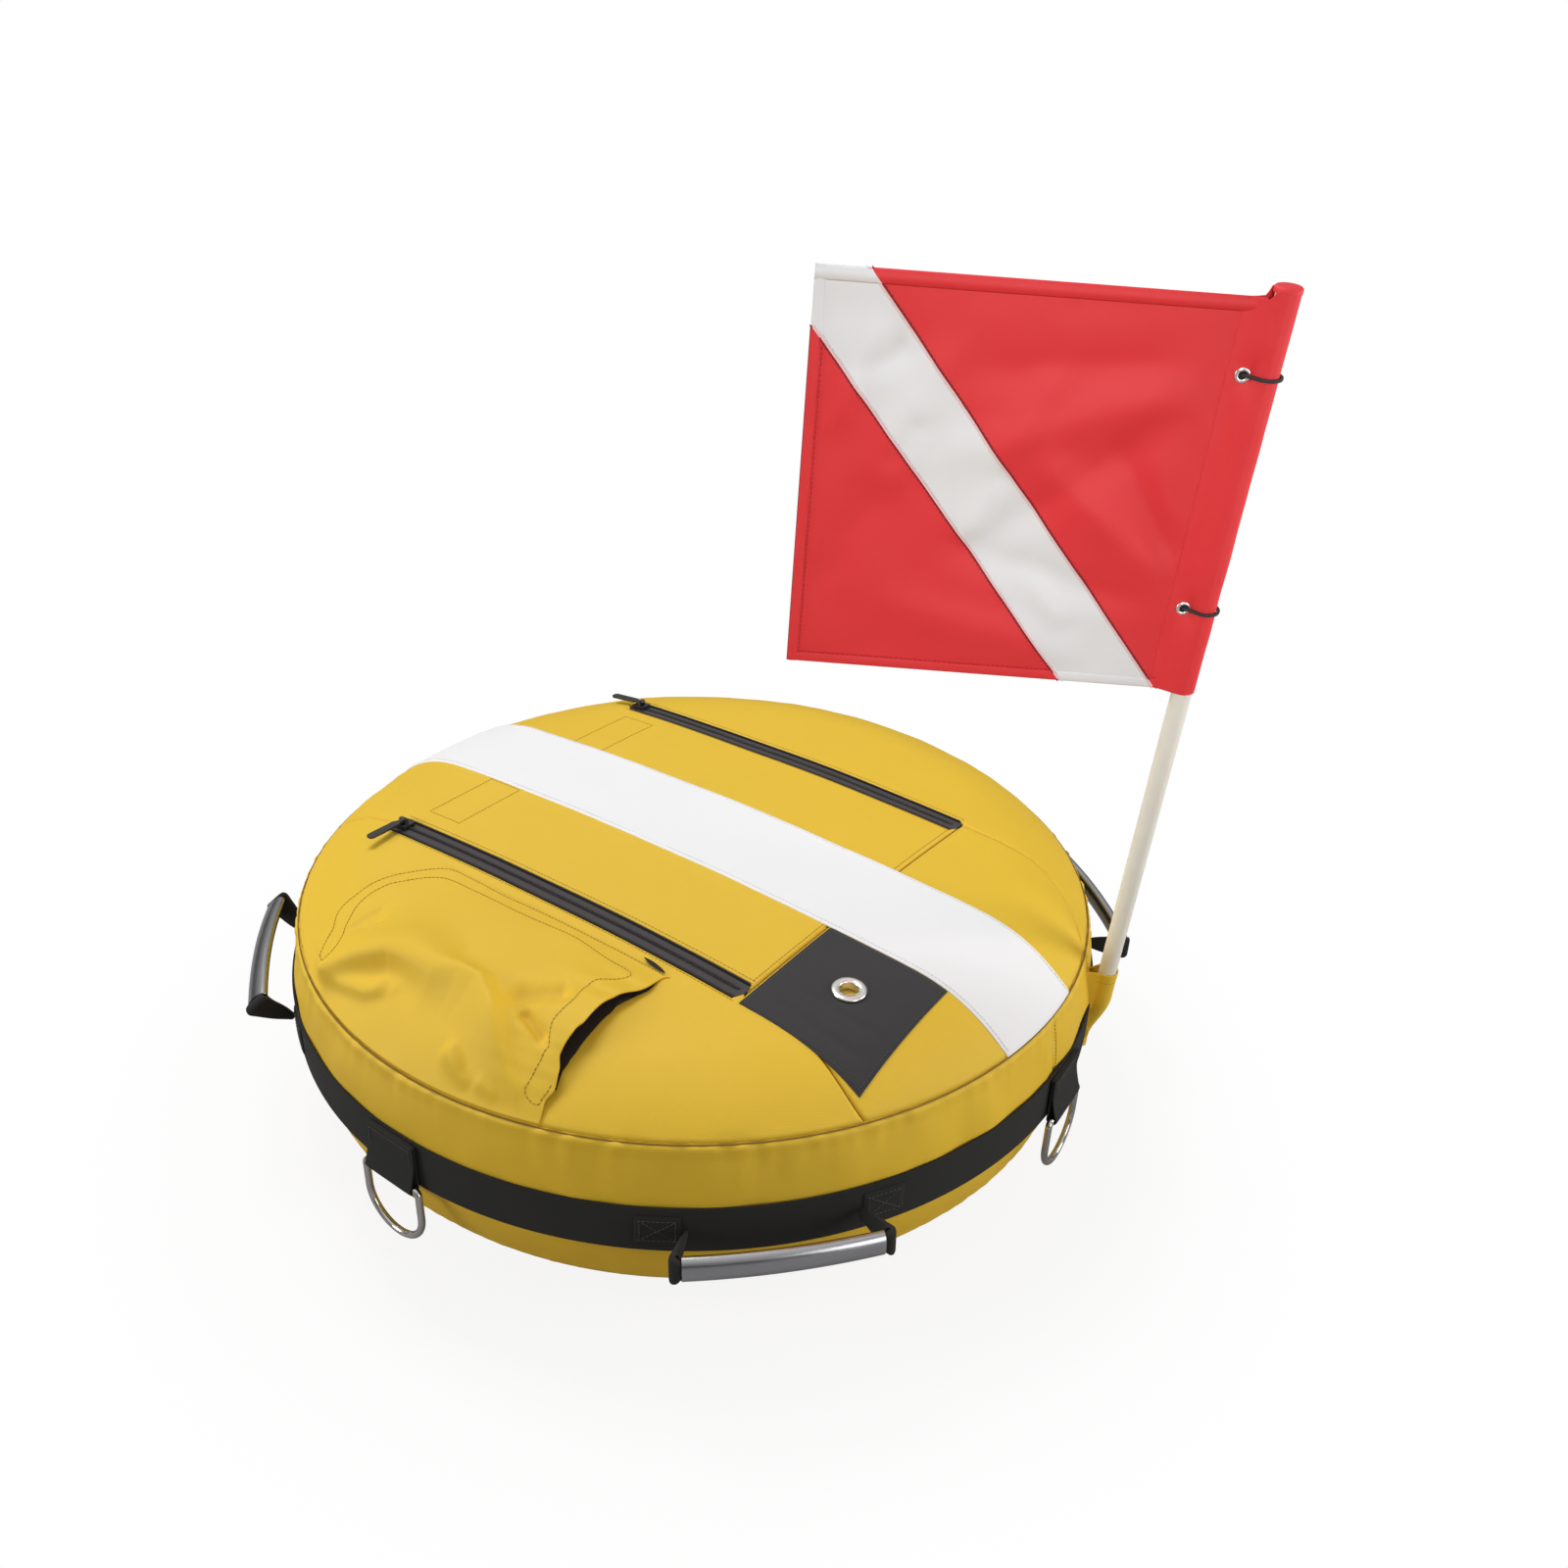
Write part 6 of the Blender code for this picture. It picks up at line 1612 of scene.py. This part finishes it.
def sleeve_place(row, column):
    """Cloth round the pole; below the pole's foot it narrows and comes in until it lies on the belt."""
    across = between(-1, 1, column)
    side = math.copysign(1, across)
    wrap = 1 - SLEEVE_FLANK_SHARE
    flank = max(0, (abs(across) - wrap) / SLEEVE_FLANK_SHARE)
    height = between(-SLEEVE_DEPTH - SLEEVE_TAIL, -SLEEVE_FAR_DROP * flank if across > 0 else 0, row)
    below = smooth_share((-SOCKET_DEPTH * 0.8 - height) / (SLEEVE_DEPTH - SOCKET_DEPTH * 0.8))
    radius = POLE_RADIUS + CLEARANCE + SLEEVE_WALL * 0.75
    radius += groove(height + SLEEVE_HEM, 0.45 * MM, 0.9 * MM)
    radius += 0.5 * MM * noise.noise(Vector((column * 3, row * 4, 4)))
    turn = math.radians(SLEEVE_WRAP) * min(1, abs(across) / wrap) * side
    x = radius * math.cos(turn) - SLEEVE_TAPER * below - flank * SLEEVE_FLANK_REACH * 0.6
    y = radius * math.sin(turn) * between(1, SLEEVE_NARROWING, below) + flank * 2.5 * MM * side
    spot = POLE_PLACE @ Vector((x, y, height))
    out = math.hypot(spot.x, spot.y)
    wall = side_radius(spot.z) + SLEEVE_LIFT
    if out < wall:
        spot.x, spot.y = spot.x * wall / out, spot.y * wall / out
    return spot, (across * 30 * MM, height)


sleeve = grid_piece("sleeve", steps(SLEEVE_DEPTH, 2.5 * MM), even(64), sleeve_place, COVER,
                    towards=POLE_PLACE @ Vector((-20 * MM, 0, -SLEEVE_DEPTH / 2)), skin=SLEEVE_SKIN)
settle(sleeve, "float", "cover_cloth", "pole_sleeve")
hem_row = 1 - SLEEVE_HEM / (SLEEVE_DEPTH + SLEEVE_TAIL)
hem_line = [sleeve_place(hem_row, share)[0] for share in even(40)[5:-7]]
stitches("sleeve_stitches", [hem_line], COVER_THREAD, "float", "cover_cloth")
print("sleeve made")

# %% [markdown]
# ## The flag
#
# The flag is three pieces of cloth sewn edge to edge, with turned hems. It hangs from a stiff top hem and
# is tied at two eyelets, so its folds fan out from those points and grow towards the free lower edge.

# %% Flag frame and folds
FLAG_HEADING = 214
FLAG_WIDTH = 283 * MM
FLAG_HEIGHT = 275 * MM
FLAG_POCKET_RISE = 6 * MM
FLAG_SKIN = 0.6 * MM
FLAG_START = POLE_RADIUS + CLEARANCE * 2 + 1.2 * MM
STRIPE_TOP_START = 249 * MM
STRIPE_FLY_DROP = 37 * MM
STRIPE_FOOT_START = 20.5 * MM
STRIPE_FOOT_END = 89 * MM
FLAG_EYELET_PLACE = 14.5 * MM
FLAG_EYELET_RISES = {"lower": 64.9 * MM, "upper": 227.7 * MM}


def flag_frame():
    up = POLE_PLACE.to_3x3() @ Vector((0, 0, 1))
    heading = Vector((*polar(1, FLAG_HEADING), 0))
    along = (heading - up * heading.dot(up)).normalized()
    axes = Matrix((along, up.cross(along), up)).transposed().to_4x4()
    foot = POLE_PLACE.translation + up * (POLE_FREE_LENGTH + CLEARANCE - FLAG_POCKET_RISE - FLAG_HEIGHT)
    return Matrix.Translation(foot) @ axes


FLAG_PLACE = flag_frame()
CREASE_GAIN = 1.5
FLAG_CREASES = (
    # Start and end of each soft ridge, as (along, up), then its height and its width.
    ((30, 222), (215, 150), 3.0, 15), ((32, 205), (190, 78), -2.4, 13), ((40, 232), (205, 214), -1.6, 12),
    ((26, 80), (150, 178), 3.2, 14), ((30, 60), (205, 105), -2.6, 13), ((24, 88), (90, 190), -2.2, 10),
    ((60, 18), (250, 60), 2.4, 16), ((190, 250), (240, 110), 2.0, 13), ((225, 150), (275, 40), -2.2, 15),
    ((120, 235), (170, 130), 1.8, 11), ((215, 235), (262, 205), -1.8, 9), ((90, 40), (130, 90), 2.0, 10),
    ((236, 250), (268, 160), 1.8, 8), ((205, 190), (232, 140), -1.6, 8), ((150, 150), (172, 96), 1.6, 9),
)


def crease_bow(along, up):
    """Soft ridges and hollows that run out from the eyelets across the cloth."""
    bow = 0.0
    spot = Vector((along, up)) / MM
    for start, end, height, width in FLAG_CREASES:
        off, share = line_offset([Vector(start), Vector(end)], spot)
        fade = smooth_share(share * 4) * smooth_share((1 - share) * 3)
        bow += CREASE_GAIN * height * MM * math.exp(-((off / width) ** 2)) * fade
    return bow


def flag_bow(along, up):
    """Bow of the cloth from its flat plane: straight at its hems, soft creases between them."""
    broad = 1.8 * MM * noise.noise(Vector((along / (62 * MM), up / (58 * MM), 6)))
    fine = 0.6 * MM * noise.noise(Vector((along / (19 * MM), up / (24 * MM), 2)))
    inside = smooth_share((FLAG_HEIGHT - 4 * MM - up) / (24 * MM)) * smooth_share(up / (18 * MM))
    inside *= smooth_share((along - FLAG_START) / (12 * MM))
    inside *= smooth_share((FLAG_WIDTH + 4 * MM - along) / (14 * MM))
    return (crease_bow(along, up) + broad + fine) * inside


def flag_point(along, up, side=0.0):
    return FLAG_PLACE @ Vector((along, flag_bow(along, up) + side, up))


print("flag top:", round(flag_point(FLAG_WIDTH, FLAG_HEIGHT).z / MM), "mm")

# %% Flag panels
FLY_TOP = FLAG_HEIGHT - STRIPE_FLY_DROP
HOIST_START = FLAG_START + 2 * MM
FLAG_CELL = 3 * MM
PANEL_RUN = 200 * MM


def hoist_seam(up):
    """How far along the hoist panel's seam with the stripe lies at a height."""
    return between(STRIPE_FOOT_START, STRIPE_TOP_START, up / FLAG_HEIGHT)


def fly_seam(up):
    """How far along the fly panel's seam with the stripe lies at a height."""
    return between(STRIPE_FOOT_END, FLAG_WIDTH, up / FLY_TOP)


# The edges of each panel at a height, then its height, material, slot and solid.
FLAG_PANELS = {
    "hoist": (lambda up: (HOIST_START, hoist_seam(up)), FLAG_HEIGHT, FLAG_RED, "flag_red", "flag_hoist_panel"),
    "stripe": (
        lambda up: (hoist_seam(up), min(fly_seam(up), FLAG_WIDTH)), FLAG_HEIGHT, FLAG_WHITE, "flag_white",
        "flag_white_stripe",
    ),
    "fly": (lambda up: (fly_seam(up), FLAG_WIDTH), FLY_TOP, FLAG_RED, "flag_red", "flag_fly_panel"),
}


def make_flag_panel(name, edges, top, material, slot, node):
    def place(row, column):
        along, up = between(*edges(top * row), column), top * row
        return flag_point(along, up), (along, up)

    rows, columns = steps(FLAG_HEIGHT, FLAG_CELL), steps(PANEL_RUN, FLAG_CELL)
    piece = grid_piece(f"flag_{name}", rows, columns, place, material)
    thicken(piece, FLAG_SKIN, 0)
    settle(piece, "flag", slot, node)


for name, panel in FLAG_PANELS.items():
    make_flag_panel(name, *panel)
print("flag panels made")

# %% Flag hems and seams
TOP_HEM_DEPTH = 9 * MM
TOP_HEM_LIFT = 2.0 * MM
HEM_DEPTH = 7 * MM
HEM_LIFT = 0.5 * MM
HEM_SKIN = 0.4 * MM
FACES = {"front": -1, "back": 1}


def hem_strip(name, flat, material, slot, run, lift=HEM_LIFT):
    """A turned hem: a second layer of cloth over the flag's edge, on both of its faces."""
    for face_name, face in FACES.items():
        def place(row, column):
            along, up = flat(row, column)
            swell = math.sin(math.pi * column)
            return flag_point(along, up, face * (FLAG_SKIN / 2 + lift * swell)), (along, up)

        piece = grid_piece(f"{name}_{face_name}", steps(run, FLAG_CELL), even(8), place, material)
        thicken(piece, HEM_SKIN, 0)
        settle(piece, "flag", slot)


def top_hem(white):
    def flat(row, column):
        up = FLAG_HEIGHT - TOP_HEM_DEPTH * (1 - column)
        seam = hoist_seam(up)
        return between(*((seam, FLAG_WIDTH) if white else (HOIST_START, seam)), row), up
    return flat


def foot_hem(edges):
    def flat(row, column):
        up = HEM_DEPTH * column
        return between(*edges(up), row), up
    return flat


def fly_hem(white):
    """The hem of the fly, split where the stripe's lower seam crosses it."""
    def flat(row, column):
        along = FLAG_WIDTH - HEM_DEPTH * (1 - column)
        crossing = FLY_TOP * (along - STRIPE_FOOT_END) / (FLAG_WIDTH - STRIPE_FOOT_END)
        return along, between(*((crossing, FLAG_HEIGHT) if white else (0, crossing)), row)
    return flat


hem_strip("hem_top_red", top_hem(False), FLAG_RED, "flag_red", 220 * MM, TOP_HEM_LIFT)
hem_strip("hem_top_white", top_hem(True), FLAG_WHITE, "flag_white", 34 * MM, TOP_HEM_LIFT)
for part, (edges, _, material, slot, _) in FLAG_PANELS.items():
    hem_strip(f"hem_foot_{part}", foot_hem(edges), material, slot, 190 * MM)
hem_strip("hem_fly_red", fly_hem(False), FLAG_RED, "flag_red", FLY_TOP)
hem_strip("hem_fly_white", fly_hem(True), FLAG_WHITE, "flag_white", STRIPE_FLY_DROP)


def flag_line(places, off):
    """A path over the flag's cloth, moved off its plane."""
    return [flag_point(along, up, off) for along, up in walk(places, 5 * MM)]


def flag_piping(name, places, radius, material, slot, off):
    """A thin rolled edge along a seam of the flag, on its front and its back."""
    across = FLAG_PLACE.to_3x3() @ Vector((0, 1, 0))
    for face_name, face in FACES.items():
        path = flag_line(places, face * off)
        piece = ribbon(f"{name}_{face_name}", path, across, (2 * radius, 2 * radius), material, count=8)
        settle(piece, "flag", slot)


def hoist_line(off):
    """The hoist seam, moved along the flag."""
    return [(hoist_seam(0) + off, 0), (hoist_seam(FLAG_HEIGHT) + off, FLAG_HEIGHT)]


HEM_STITCH = 8 * MM
STITCH_OFF = 0.55 * MM
HEM_STITCH_OFF = 0.8 * MM
# The two ends of each line of stitches, and how far it stands off the flag's plane.
RED_LINES = (
    (hoist_line(-1 * MM), STITCH_OFF),
    ([(fly_seam(0) + 1 * MM, 0), (FLAG_WIDTH, FLY_TOP - 1 * MM)], STITCH_OFF),
    ([(FLAG_START + HEM_STITCH, HEM_STITCH), (hoist_seam(HEM_STITCH), HEM_STITCH)], HEM_STITCH_OFF),
    ([(fly_seam(HEM_STITCH), HEM_STITCH), (FLAG_WIDTH - HEM_STITCH, HEM_STITCH)], HEM_STITCH_OFF),
    ([(FLAG_WIDTH - HEM_STITCH, HEM_STITCH), (FLAG_WIDTH - HEM_STITCH, FLY_TOP - 10 * MM)], HEM_STITCH_OFF),
)
WHITE_LINES = (
    (hoist_line(2.5 * MM), STITCH_OFF),
    ([(fly_seam(0) - 2.5 * MM, 0), (FLAG_WIDTH - 2 * MM, FLY_TOP + 2 * MM)], STITCH_OFF),
)
PIPING_RADIUS = 0.45 * MM
PIPING_OFF = 0.3 * MM
EDGE_INSET = 1.6 * MM
EDGE_RADIUS = 0.8 * MM
EDGE_OFF = 0.35 * MM

flag_piping("piping_hoist", hoist_line(0), PIPING_RADIUS, DARK_RED, "flag_red", PIPING_OFF)
flag_piping("piping_fly", [(fly_seam(0), 0), (FLAG_WIDTH, FLY_TOP)], PIPING_RADIUS, DARK_RED, "flag_red",
            PIPING_OFF)
flag_piping("edge_hoist", hoist_line(EDGE_INSET), EDGE_RADIUS, PINK, "flag_white", EDGE_OFF)
flag_piping("edge_fly", [(fly_seam(0) - EDGE_INSET, 0), (FLAG_WIDTH - EDGE_INSET, FLY_TOP)], EDGE_RADIUS, PINK,
            "flag_white", EDGE_OFF)
flag_piping("edge_outer", [(FLAG_WIDTH, 0), (FLAG_WIDTH, FLY_TOP)], PIPING_RADIUS, DARK_RED, "flag_red", 0.0)
for slot, lines, thread in (("flag_red", RED_LINES, RED_THREAD), ("flag_white", WHITE_LINES, WHITE_THREAD)):
    paths = [flag_line(places, face * off) for face in FACES.values() for places, off in lines]
    stitches(f"{slot}_stitches", paths, thread, "flag", slot)
print("hems made")

# %% Pole pocket, eyelets and ties
POCKET_JOIN = 25 * MM
POCKET_LOOP_RADIUS = POLE_RADIUS + CLEARANCE + 0.9 * MM
POCKET_WRAP_SHARE = 0.42
POCKET_CLOTH_SKIN = 0.7 * MM
PINCH_WIDTH = 11 * MM


def pocket_face(x, up):
    """How far the pocket's front or back stands off the flag's plane, pinched where an eyelet holds it."""
    pinch = max(-groove(up - rise, 1, PINCH_WIDTH) for rise in FLAG_EYELET_RISES.values())
    pinch *= smooth_share((x - 1 * MM) / (8 * MM))
    full = POCKET_LOOP_RADIUS * (1 - smooth_share(x / POCKET_JOIN)) ** 1.15
    clear = math.sqrt(max(0, POCKET_LOOP_RADIUS ** 2 - x ** 2))
    return max(clear, FLAG_SKIN * 0.9 + full * (1 - 0.94 * pinch))


def pole_pocket_place(row, column):
    """A loop of cloth round the pole that closes onto the flag's two faces."""
    across = between(-1, 1, column)
    x = POCKET_JOIN * (abs(across) - POCKET_WRAP_SHARE) / (1 - POCKET_WRAP_SHARE)
    raised = 1 - smooth_share((x - POLE_RADIUS) / (4 * MM))
    up = (FLAG_HEIGHT + FLAG_POCKET_RISE * raised) * row
    ripple = 0.5 * MM * noise.noise(Vector((column * 4, row * 9, 1)))
    if x <= 0:
        turn = 180 - 90 * across / POCKET_WRAP_SHARE
        point = Vector((*polar(POCKET_LOOP_RADIUS + ripple, turn), up))
    else:
        face = pocket_face(x, up) + ripple * (1 - x / POCKET_JOIN)
        bow = flag_bow(max(x, FLAG_START), min(up, FLAG_HEIGHT))
        point = Vector((x, math.copysign(1, across) * face + bow, up))
    return FLAG_PLACE @ point, (across * 30 * MM, up)


pole_pocket = grid_piece("pole_pocket", steps(FLAG_HEIGHT, 5 * MM), even(56), pole_pocket_place, FLAG_RED,
                         towards=FLAG_PLACE @ Vector((0, 0, FLAG_HEIGHT / 2)), skin=POCKET_CLOTH_SKIN)
settle(pole_pocket, "flag", "flag_red", "flag_pole_pocket")

CAP_RADIUS = POLE_RADIUS + CLEARANCE + 1.3 * MM
# The rings of the pocket's closed top: share of its radius, and height over the pocket.
CAP_RINGS = ((1.0, -2 * MM), (1.0, 0.6 * MM), (0.9, 1.5 * MM), (0.5, 2.0 * MM), (0.02, 2.0 * MM))
cap_rings = []
for share, rise in CAP_RINGS:
    radius, up = CAP_RADIUS * share, FLAG_HEIGHT + FLAG_POCKET_RISE + rise
    cap_rings.append([FLAG_PLACE @ Vector((radius * x, radius * y, up)) for x, y in circle(32)])
settle(loft_piece("pole_pocket_cap", cap_rings, FLAG_RED), "flag", "flag_red")


def flag_eyelet_frame(up):
    place = FLAG_EYELET_PLACE
    step = 1 * MM
    slope_along = (flag_bow(place + step, up) - flag_bow(place - step, up)) / (2 * step)
    slope_up = (flag_bow(place, up + step) - flag_bow(place, up - step)) / (2 * step)
    normal = Vector((-slope_along, 1, -slope_up)).normalized()
    turn = normal.to_track_quat("Z", "Y").to_matrix().to_4x4()
    return FLAG_PLACE @ Matrix.Translation((place, flag_bow(place, up), up)) @ turn


TIE_SIZE = 2.1 * MM
TIE_LOOP_RADIUS = POLE_RADIUS + CLEARANCE + 2.3 * MM
TIE_BEND_RADIUS = 1.7 * MM
FLAG_EYELET_MIDDLE = 3.8 * MM
FLAG_EYELET_HALF = 1.3 * MM
FLAG_EYELET_RISE = 1.5 * MM
FLAG_EYELET_DOME = 0.9 * MM
EYELET_SIZES = (FLAG_EYELET_HALF, FLAG_EYELET_DOME)
FLAG_EYELET_SECTION = (
    arc(FLAG_EYELET_MIDDLE, FLAG_EYELET_RISE, *EYELET_SIZES, 0, 180, 8)
    + arc(FLAG_EYELET_MIDDLE, -FLAG_EYELET_RISE, *EYELET_SIZES, -180, 0, 8)
)
# The section of a near-black ring of painted shade inside each eyelet's hole, round the cord.
HOLE_SHADE_SECTION = rectangle(0.2 * MM, -1.6 * MM, 2.6 * MM, 1.6 * MM)[:-1]


def tie_path(up):
    """A loop of cord round the pole pocket that closes through the eyelet, in the flag's frame."""
    bow = flag_bow(FLAG_EYELET_PLACE, up)
    bend = FLAG_EYELET_PLACE - TIE_BEND_RADIUS
    heading = math.degrees(math.atan2(bow, bend))
    leave = math.degrees(math.acos((TIE_LOOP_RADIUS - TIE_BEND_RADIUS) / math.hypot(bow, bend)))
    loop = arc(0, 0, TIE_LOOP_RADIUS, TIE_LOOP_RADIUS, heading + leave, heading + 360 - leave, 28)
    loop += arc(bend, bow, TIE_BEND_RADIUS, TIE_BEND_RADIUS, heading - leave, heading + leave, 12)
    return [Vector((x, y, up)) for x, y in loop]


for name, up in FLAG_EYELET_RISES.items():
    place = flag_eyelet_frame(up)
    eyelet = turned(f"flag_eyelet_{name}", FLAG_EYELET_SECTION, NICKEL, 40, place)
    settle(eyelet, "flag", "nickel", f"flag_{name}_eyelet")
    # Painted shade: a near-black ring inside the eyelet's hole.
    settle(turned(f"flag_eyelet_hole_shade_{name}", HOLE_SHADE_SECTION, PAINTED_SHADE, 24, place), "flag", "tie_cord")
    side = FLAG_PLACE.to_3x3() @ Vector((0, 0, 1))
    path = [FLAG_PLACE @ point for point in tie_path(up)]
    tie = ribbon(f"flag_tie_{name}", path, side, (TIE_SIZE, TIE_SIZE), CORD, count=10, closed=True)
    settle(tie, "flag", "tie_cord", f"flag_{name}_tie")
print("flag fittings made")

# %% [markdown]
# ## What each cloth was cut to
#
# Woven cloth hardly stretches, so each sheet was cut to the area that it has in place. The rectangle is the
# piece of flat cloth that it was cut from.

CLOTH_CUTS = {
    # The rectangle that each is cut from in millimetres, how it is held, and what carries it.
    "cover_centre": ((315, 530), "stretched", "inner_tube"),
    "cover_front": ((345, 190), "stretched", "inner_tube"),
    "cover_near": ((680, 215), "stretched", "inner_tube"),
    "cover_far": ((700, 215), "stretched", "inner_tube"),
    "upper_band": ((2190, 78), "stretched", "inner_tube"),
    "lower_band": ((2190, 76), "stretched", "inner_tube"),
    "base_panel": ((690, 690), "stretched", "inner_tube"),
    "stripe": ((101, 705), "laid", "cover_centre_panel"),
    "patch": ((108, 119), "laid", "cover_front_panel"),
    "pocket": ((265, 180), "laid", "cover_near_panel"),
    "sleeve": ((48, 90), "stretched", "flag_pole"),
    "flag_hoist": ((240, 275), "hung", "flag_pole"),
    "flag_stripe": ((53, 380), "hung", "flag_pole"),
    "flag_fly": ((195, 240), "hung", "flag_pole"),
    "pole_pocket": ((285, 86), "hung", "flag_pole"),
}


def declare_cloth(name):
    """Only measures a sheet's area. Its thickness is a modifier's, so its mesh is one face of the cloth."""
    piece = bpy.data.objects[name]
    area = sum(face.area for face in piece.data.polygons)
    return area


for name, (cut, held, carrier) in CLOTH_CUTS.items():
    area = declare_cloth(name)
    print(name, cut, round(area / (cut[0] * MM * cut[1] * MM), 3))

# %% [markdown]
# ## The inner tube
#
# The inflated tube hardly shows: only a spot of it is seen through the eyelet. It still gets a smooth
# skin in place of its plain solid.

# %% Inner tube


TUBE_INNER = 235 * MM
TUBE_CEILING_GAP = 4.2 * MM
TUBE_FLOOR_GAP = 2.2 * MM
TUBE_LOWER_GAP = 2.6 * MM
TUBE_SIDE_GAP = 5 * MM


def tube_section():
    """The tube's section: under the crown, down the side, over the base and up its round inner wall."""
    ceiling = crown_height(TUBE_INNER) - TUBE_CEILING_GAP
    floor = base_height(TUBE_INNER) + TUBE_FLOOR_GAP
    half = (ceiling - floor) / 2
    section = []
    for share in even(14):
        radius = between(TUBE_INNER, UPPER_SEAM_RADIUS - 4 * MM, share)
        section.append((radius, crown_height(radius) - TUBE_CEILING_GAP))
    section += [
        (CLOTH_RADIUS - TUBE_SIDE_GAP, BELT_HEIGHT + 40 * MM), (CLOTH_RADIUS - 4 * MM, BELT_HEIGHT),
        (CLOTH_RADIUS - TUBE_SIDE_GAP, BELT_HEIGHT - 30 * MM),
    ]
    for share in even(10):
        radius = between(LOWER_SEAM_RADIUS - TUBE_SIDE_GAP, TUBE_INNER, share)
        section.append((radius, base_height(radius) + TUBE_LOWER_GAP))
    return section + arc(TUBE_INNER, (ceiling + floor) / 2, half, half, 270, 90, 20)[1:-1]


settle(turned("tube", tube_section(), TUBE, 144), "float", "tube_vinyl", "inner_tube")
print("tube made")

# %% [markdown]
# ## Floor, backdrop and light
#
# The picture has a plain white ground. The floor is pale for the light, and further out it turns white to
# the camera, past the object's soft shadow. Large lamps give the broad light of a studio.

# %% Floor and light
FLOOR_SIZE = 12
FLOOR_DROP = 0.5 * MM
FLOOR_SHOWN = (0.90, 0.90, 0.90)
FLOOR_BOUNCE = (0.30, 0.24, 0.15)
FLOOR_MIRRORED = (0.40, 0.40, 0.42)
# Where the floor starts to turn white and where it is white, in metres from the middle, then both shares.
FLOOR_FADE = (0.36, 0.62, 0.87, 1.0)
# How bright the world is at its foot and how much brighter straight above, as light and as a reflection.
WORLD_LIGHT = (0.06, 0.30)
WORLD_MIRRORED = (0.05, 0.95)


def make_floor():
    mesh = bpy.data.meshes.new("floor")
    corners = [(x * FLOOR_SIZE / 2, y * FLOOR_SIZE / 2, 0) for x, y in ((-1, -1), (1, -1), (1, 1), (-1, 1))]
    mesh.from_pydata(corners, [], [(0, 1, 2, 3)])
    floor = bpy.data.objects.new("floor", mesh)
    bpy.context.scene.collection.objects.link(floor)
    floor.location.z = -FLOOR_DROP
    material, tree, shader = new_material("floor_white", 0.9)
    ray = add_node(tree, "ShaderNodeLightPath").outputs
    bounce = mix_node(tree, ray["Is Glossy Ray"], FLOOR_BOUNCE, FLOOR_MIRRORED)
    unseen = math_node(tree, "SUBTRACT", 1.0, ray["Is Camera Ray"])
    tree.links.new(mix_node(tree, unseen, FLOOR_SHOWN, bounce), shader.inputs["Base Color"])
    place = add_node(tree, "ShaderNodeTexCoord").outputs["Object"]
    away = add_node(tree, "ShaderNodeVectorMath", {0: place}, operation="LENGTH").outputs["Value"]
    reach = dict(enumerate((away, *FLOOR_FADE)))
    fade = add_node(tree, "ShaderNodeMapRange", reach, interpolation_type="SMOOTHSTEP").outputs[0]
    white = add_node(tree, "ShaderNodeEmission", {"Strength": 1.0}).outputs[0]
    share = math_node(tree, "MULTIPLY", ray["Is Camera Ray"], fade)
    blend = add_node(tree, "ShaderNodeMixShader", {0: share, 1: shader.outputs[0], 2: white})
    tree.links.new(blend.outputs[0], tree.nodes["Material Output"].inputs[0])
    mesh.materials.append(material)


def make_world():
    """White behind the object, dim from the sides and brighter from above as a light on it."""
    world = bpy.data.worlds.new("studio")
    bpy.context.scene.world = world
    world.use_nodes = True
    tree = world.node_tree
    ground = tree.nodes["Background"]
    ground.inputs["Color"].default_value = (1, 1, 1, 1)
    place = add_node(tree, "ShaderNodeTexCoord").outputs["Generated"]
    split = add_node(tree, "ShaderNodeSeparateXYZ", {0: place})
    height = math_node(tree, "MAXIMUM", split.outputs["Z"], 0.0)
    ray = add_node(tree, "ShaderNodeLightPath").outputs
    light, mirrored = (
        math_node(tree, "MULTIPLY_ADD", height, slope, base) for base, slope in (WORLD_LIGHT, WORLD_MIRRORED)
    )
    inputs = {0: ray["Is Glossy Ray"], 2: light, 3: mirrored}
    level = add_node(tree, "ShaderNodeMix", inputs, data_type="FLOAT").outputs[0]
    tree.links.new(math_node(tree, "MAXIMUM", ray["Is Camera Ray"], level), ground.inputs["Strength"])


LAMPS = {
    # The place of each round lamp in metres, its size in metres and its power in watts.
    "key": ((-0.95, 0.1, 2.3), 1.0, 26),
    "left": ((-1.19, -1.69, 0.9), 1.0, 18),
    "right": ((1.79, 1.03, 0.9), 1.0, 17),
    "front": ((1.75, -0.5, 0.55), 0.9, 6.2),
}
LAMP_TARGET = (0, 0, 0.2)
FLAG_LAMP = ((1.1, -1.27, 1.1), 0.12, 45)
FLAG_LAMP_TARGET = (0.25, 0.0, 0.61)
FLAG_LAMP_CONE = 27


def make_lamp(name, place, size, power, target=LAMP_TARGET, cone=None):
    """A round soft lamp aimed at the target; with a cone it is a spot lamp."""
    data = bpy.data.lights.new(name, "SPOT" if cone else "AREA")
    data.energy = power
    if cone:
        data.shadow_soft_size = size
        data.spot_size = math.radians(cone)
        data.spot_blend = 1.0
    else:
        data.shape = "DISK"
        data.size = size
    lamp = bpy.data.objects.new(name, data)
    bpy.context.scene.collection.objects.link(lamp)
    aim = (Vector(target) - Vector(place)).to_track_quat("-Z", "Y")
    lamp.matrix_world = Matrix.Translation(place) @ aim.to_matrix().to_4x4()


make_floor()
make_world()
for name, lamp in LAMPS.items():
    make_lamp(name, *lamp)
make_lamp("flag_light", *FLAG_LAMP, FLAG_LAMP_TARGET, FLAG_LAMP_CONE)
bpy.context.scene.view_settings.view_transform = "Standard"
print("studio made")
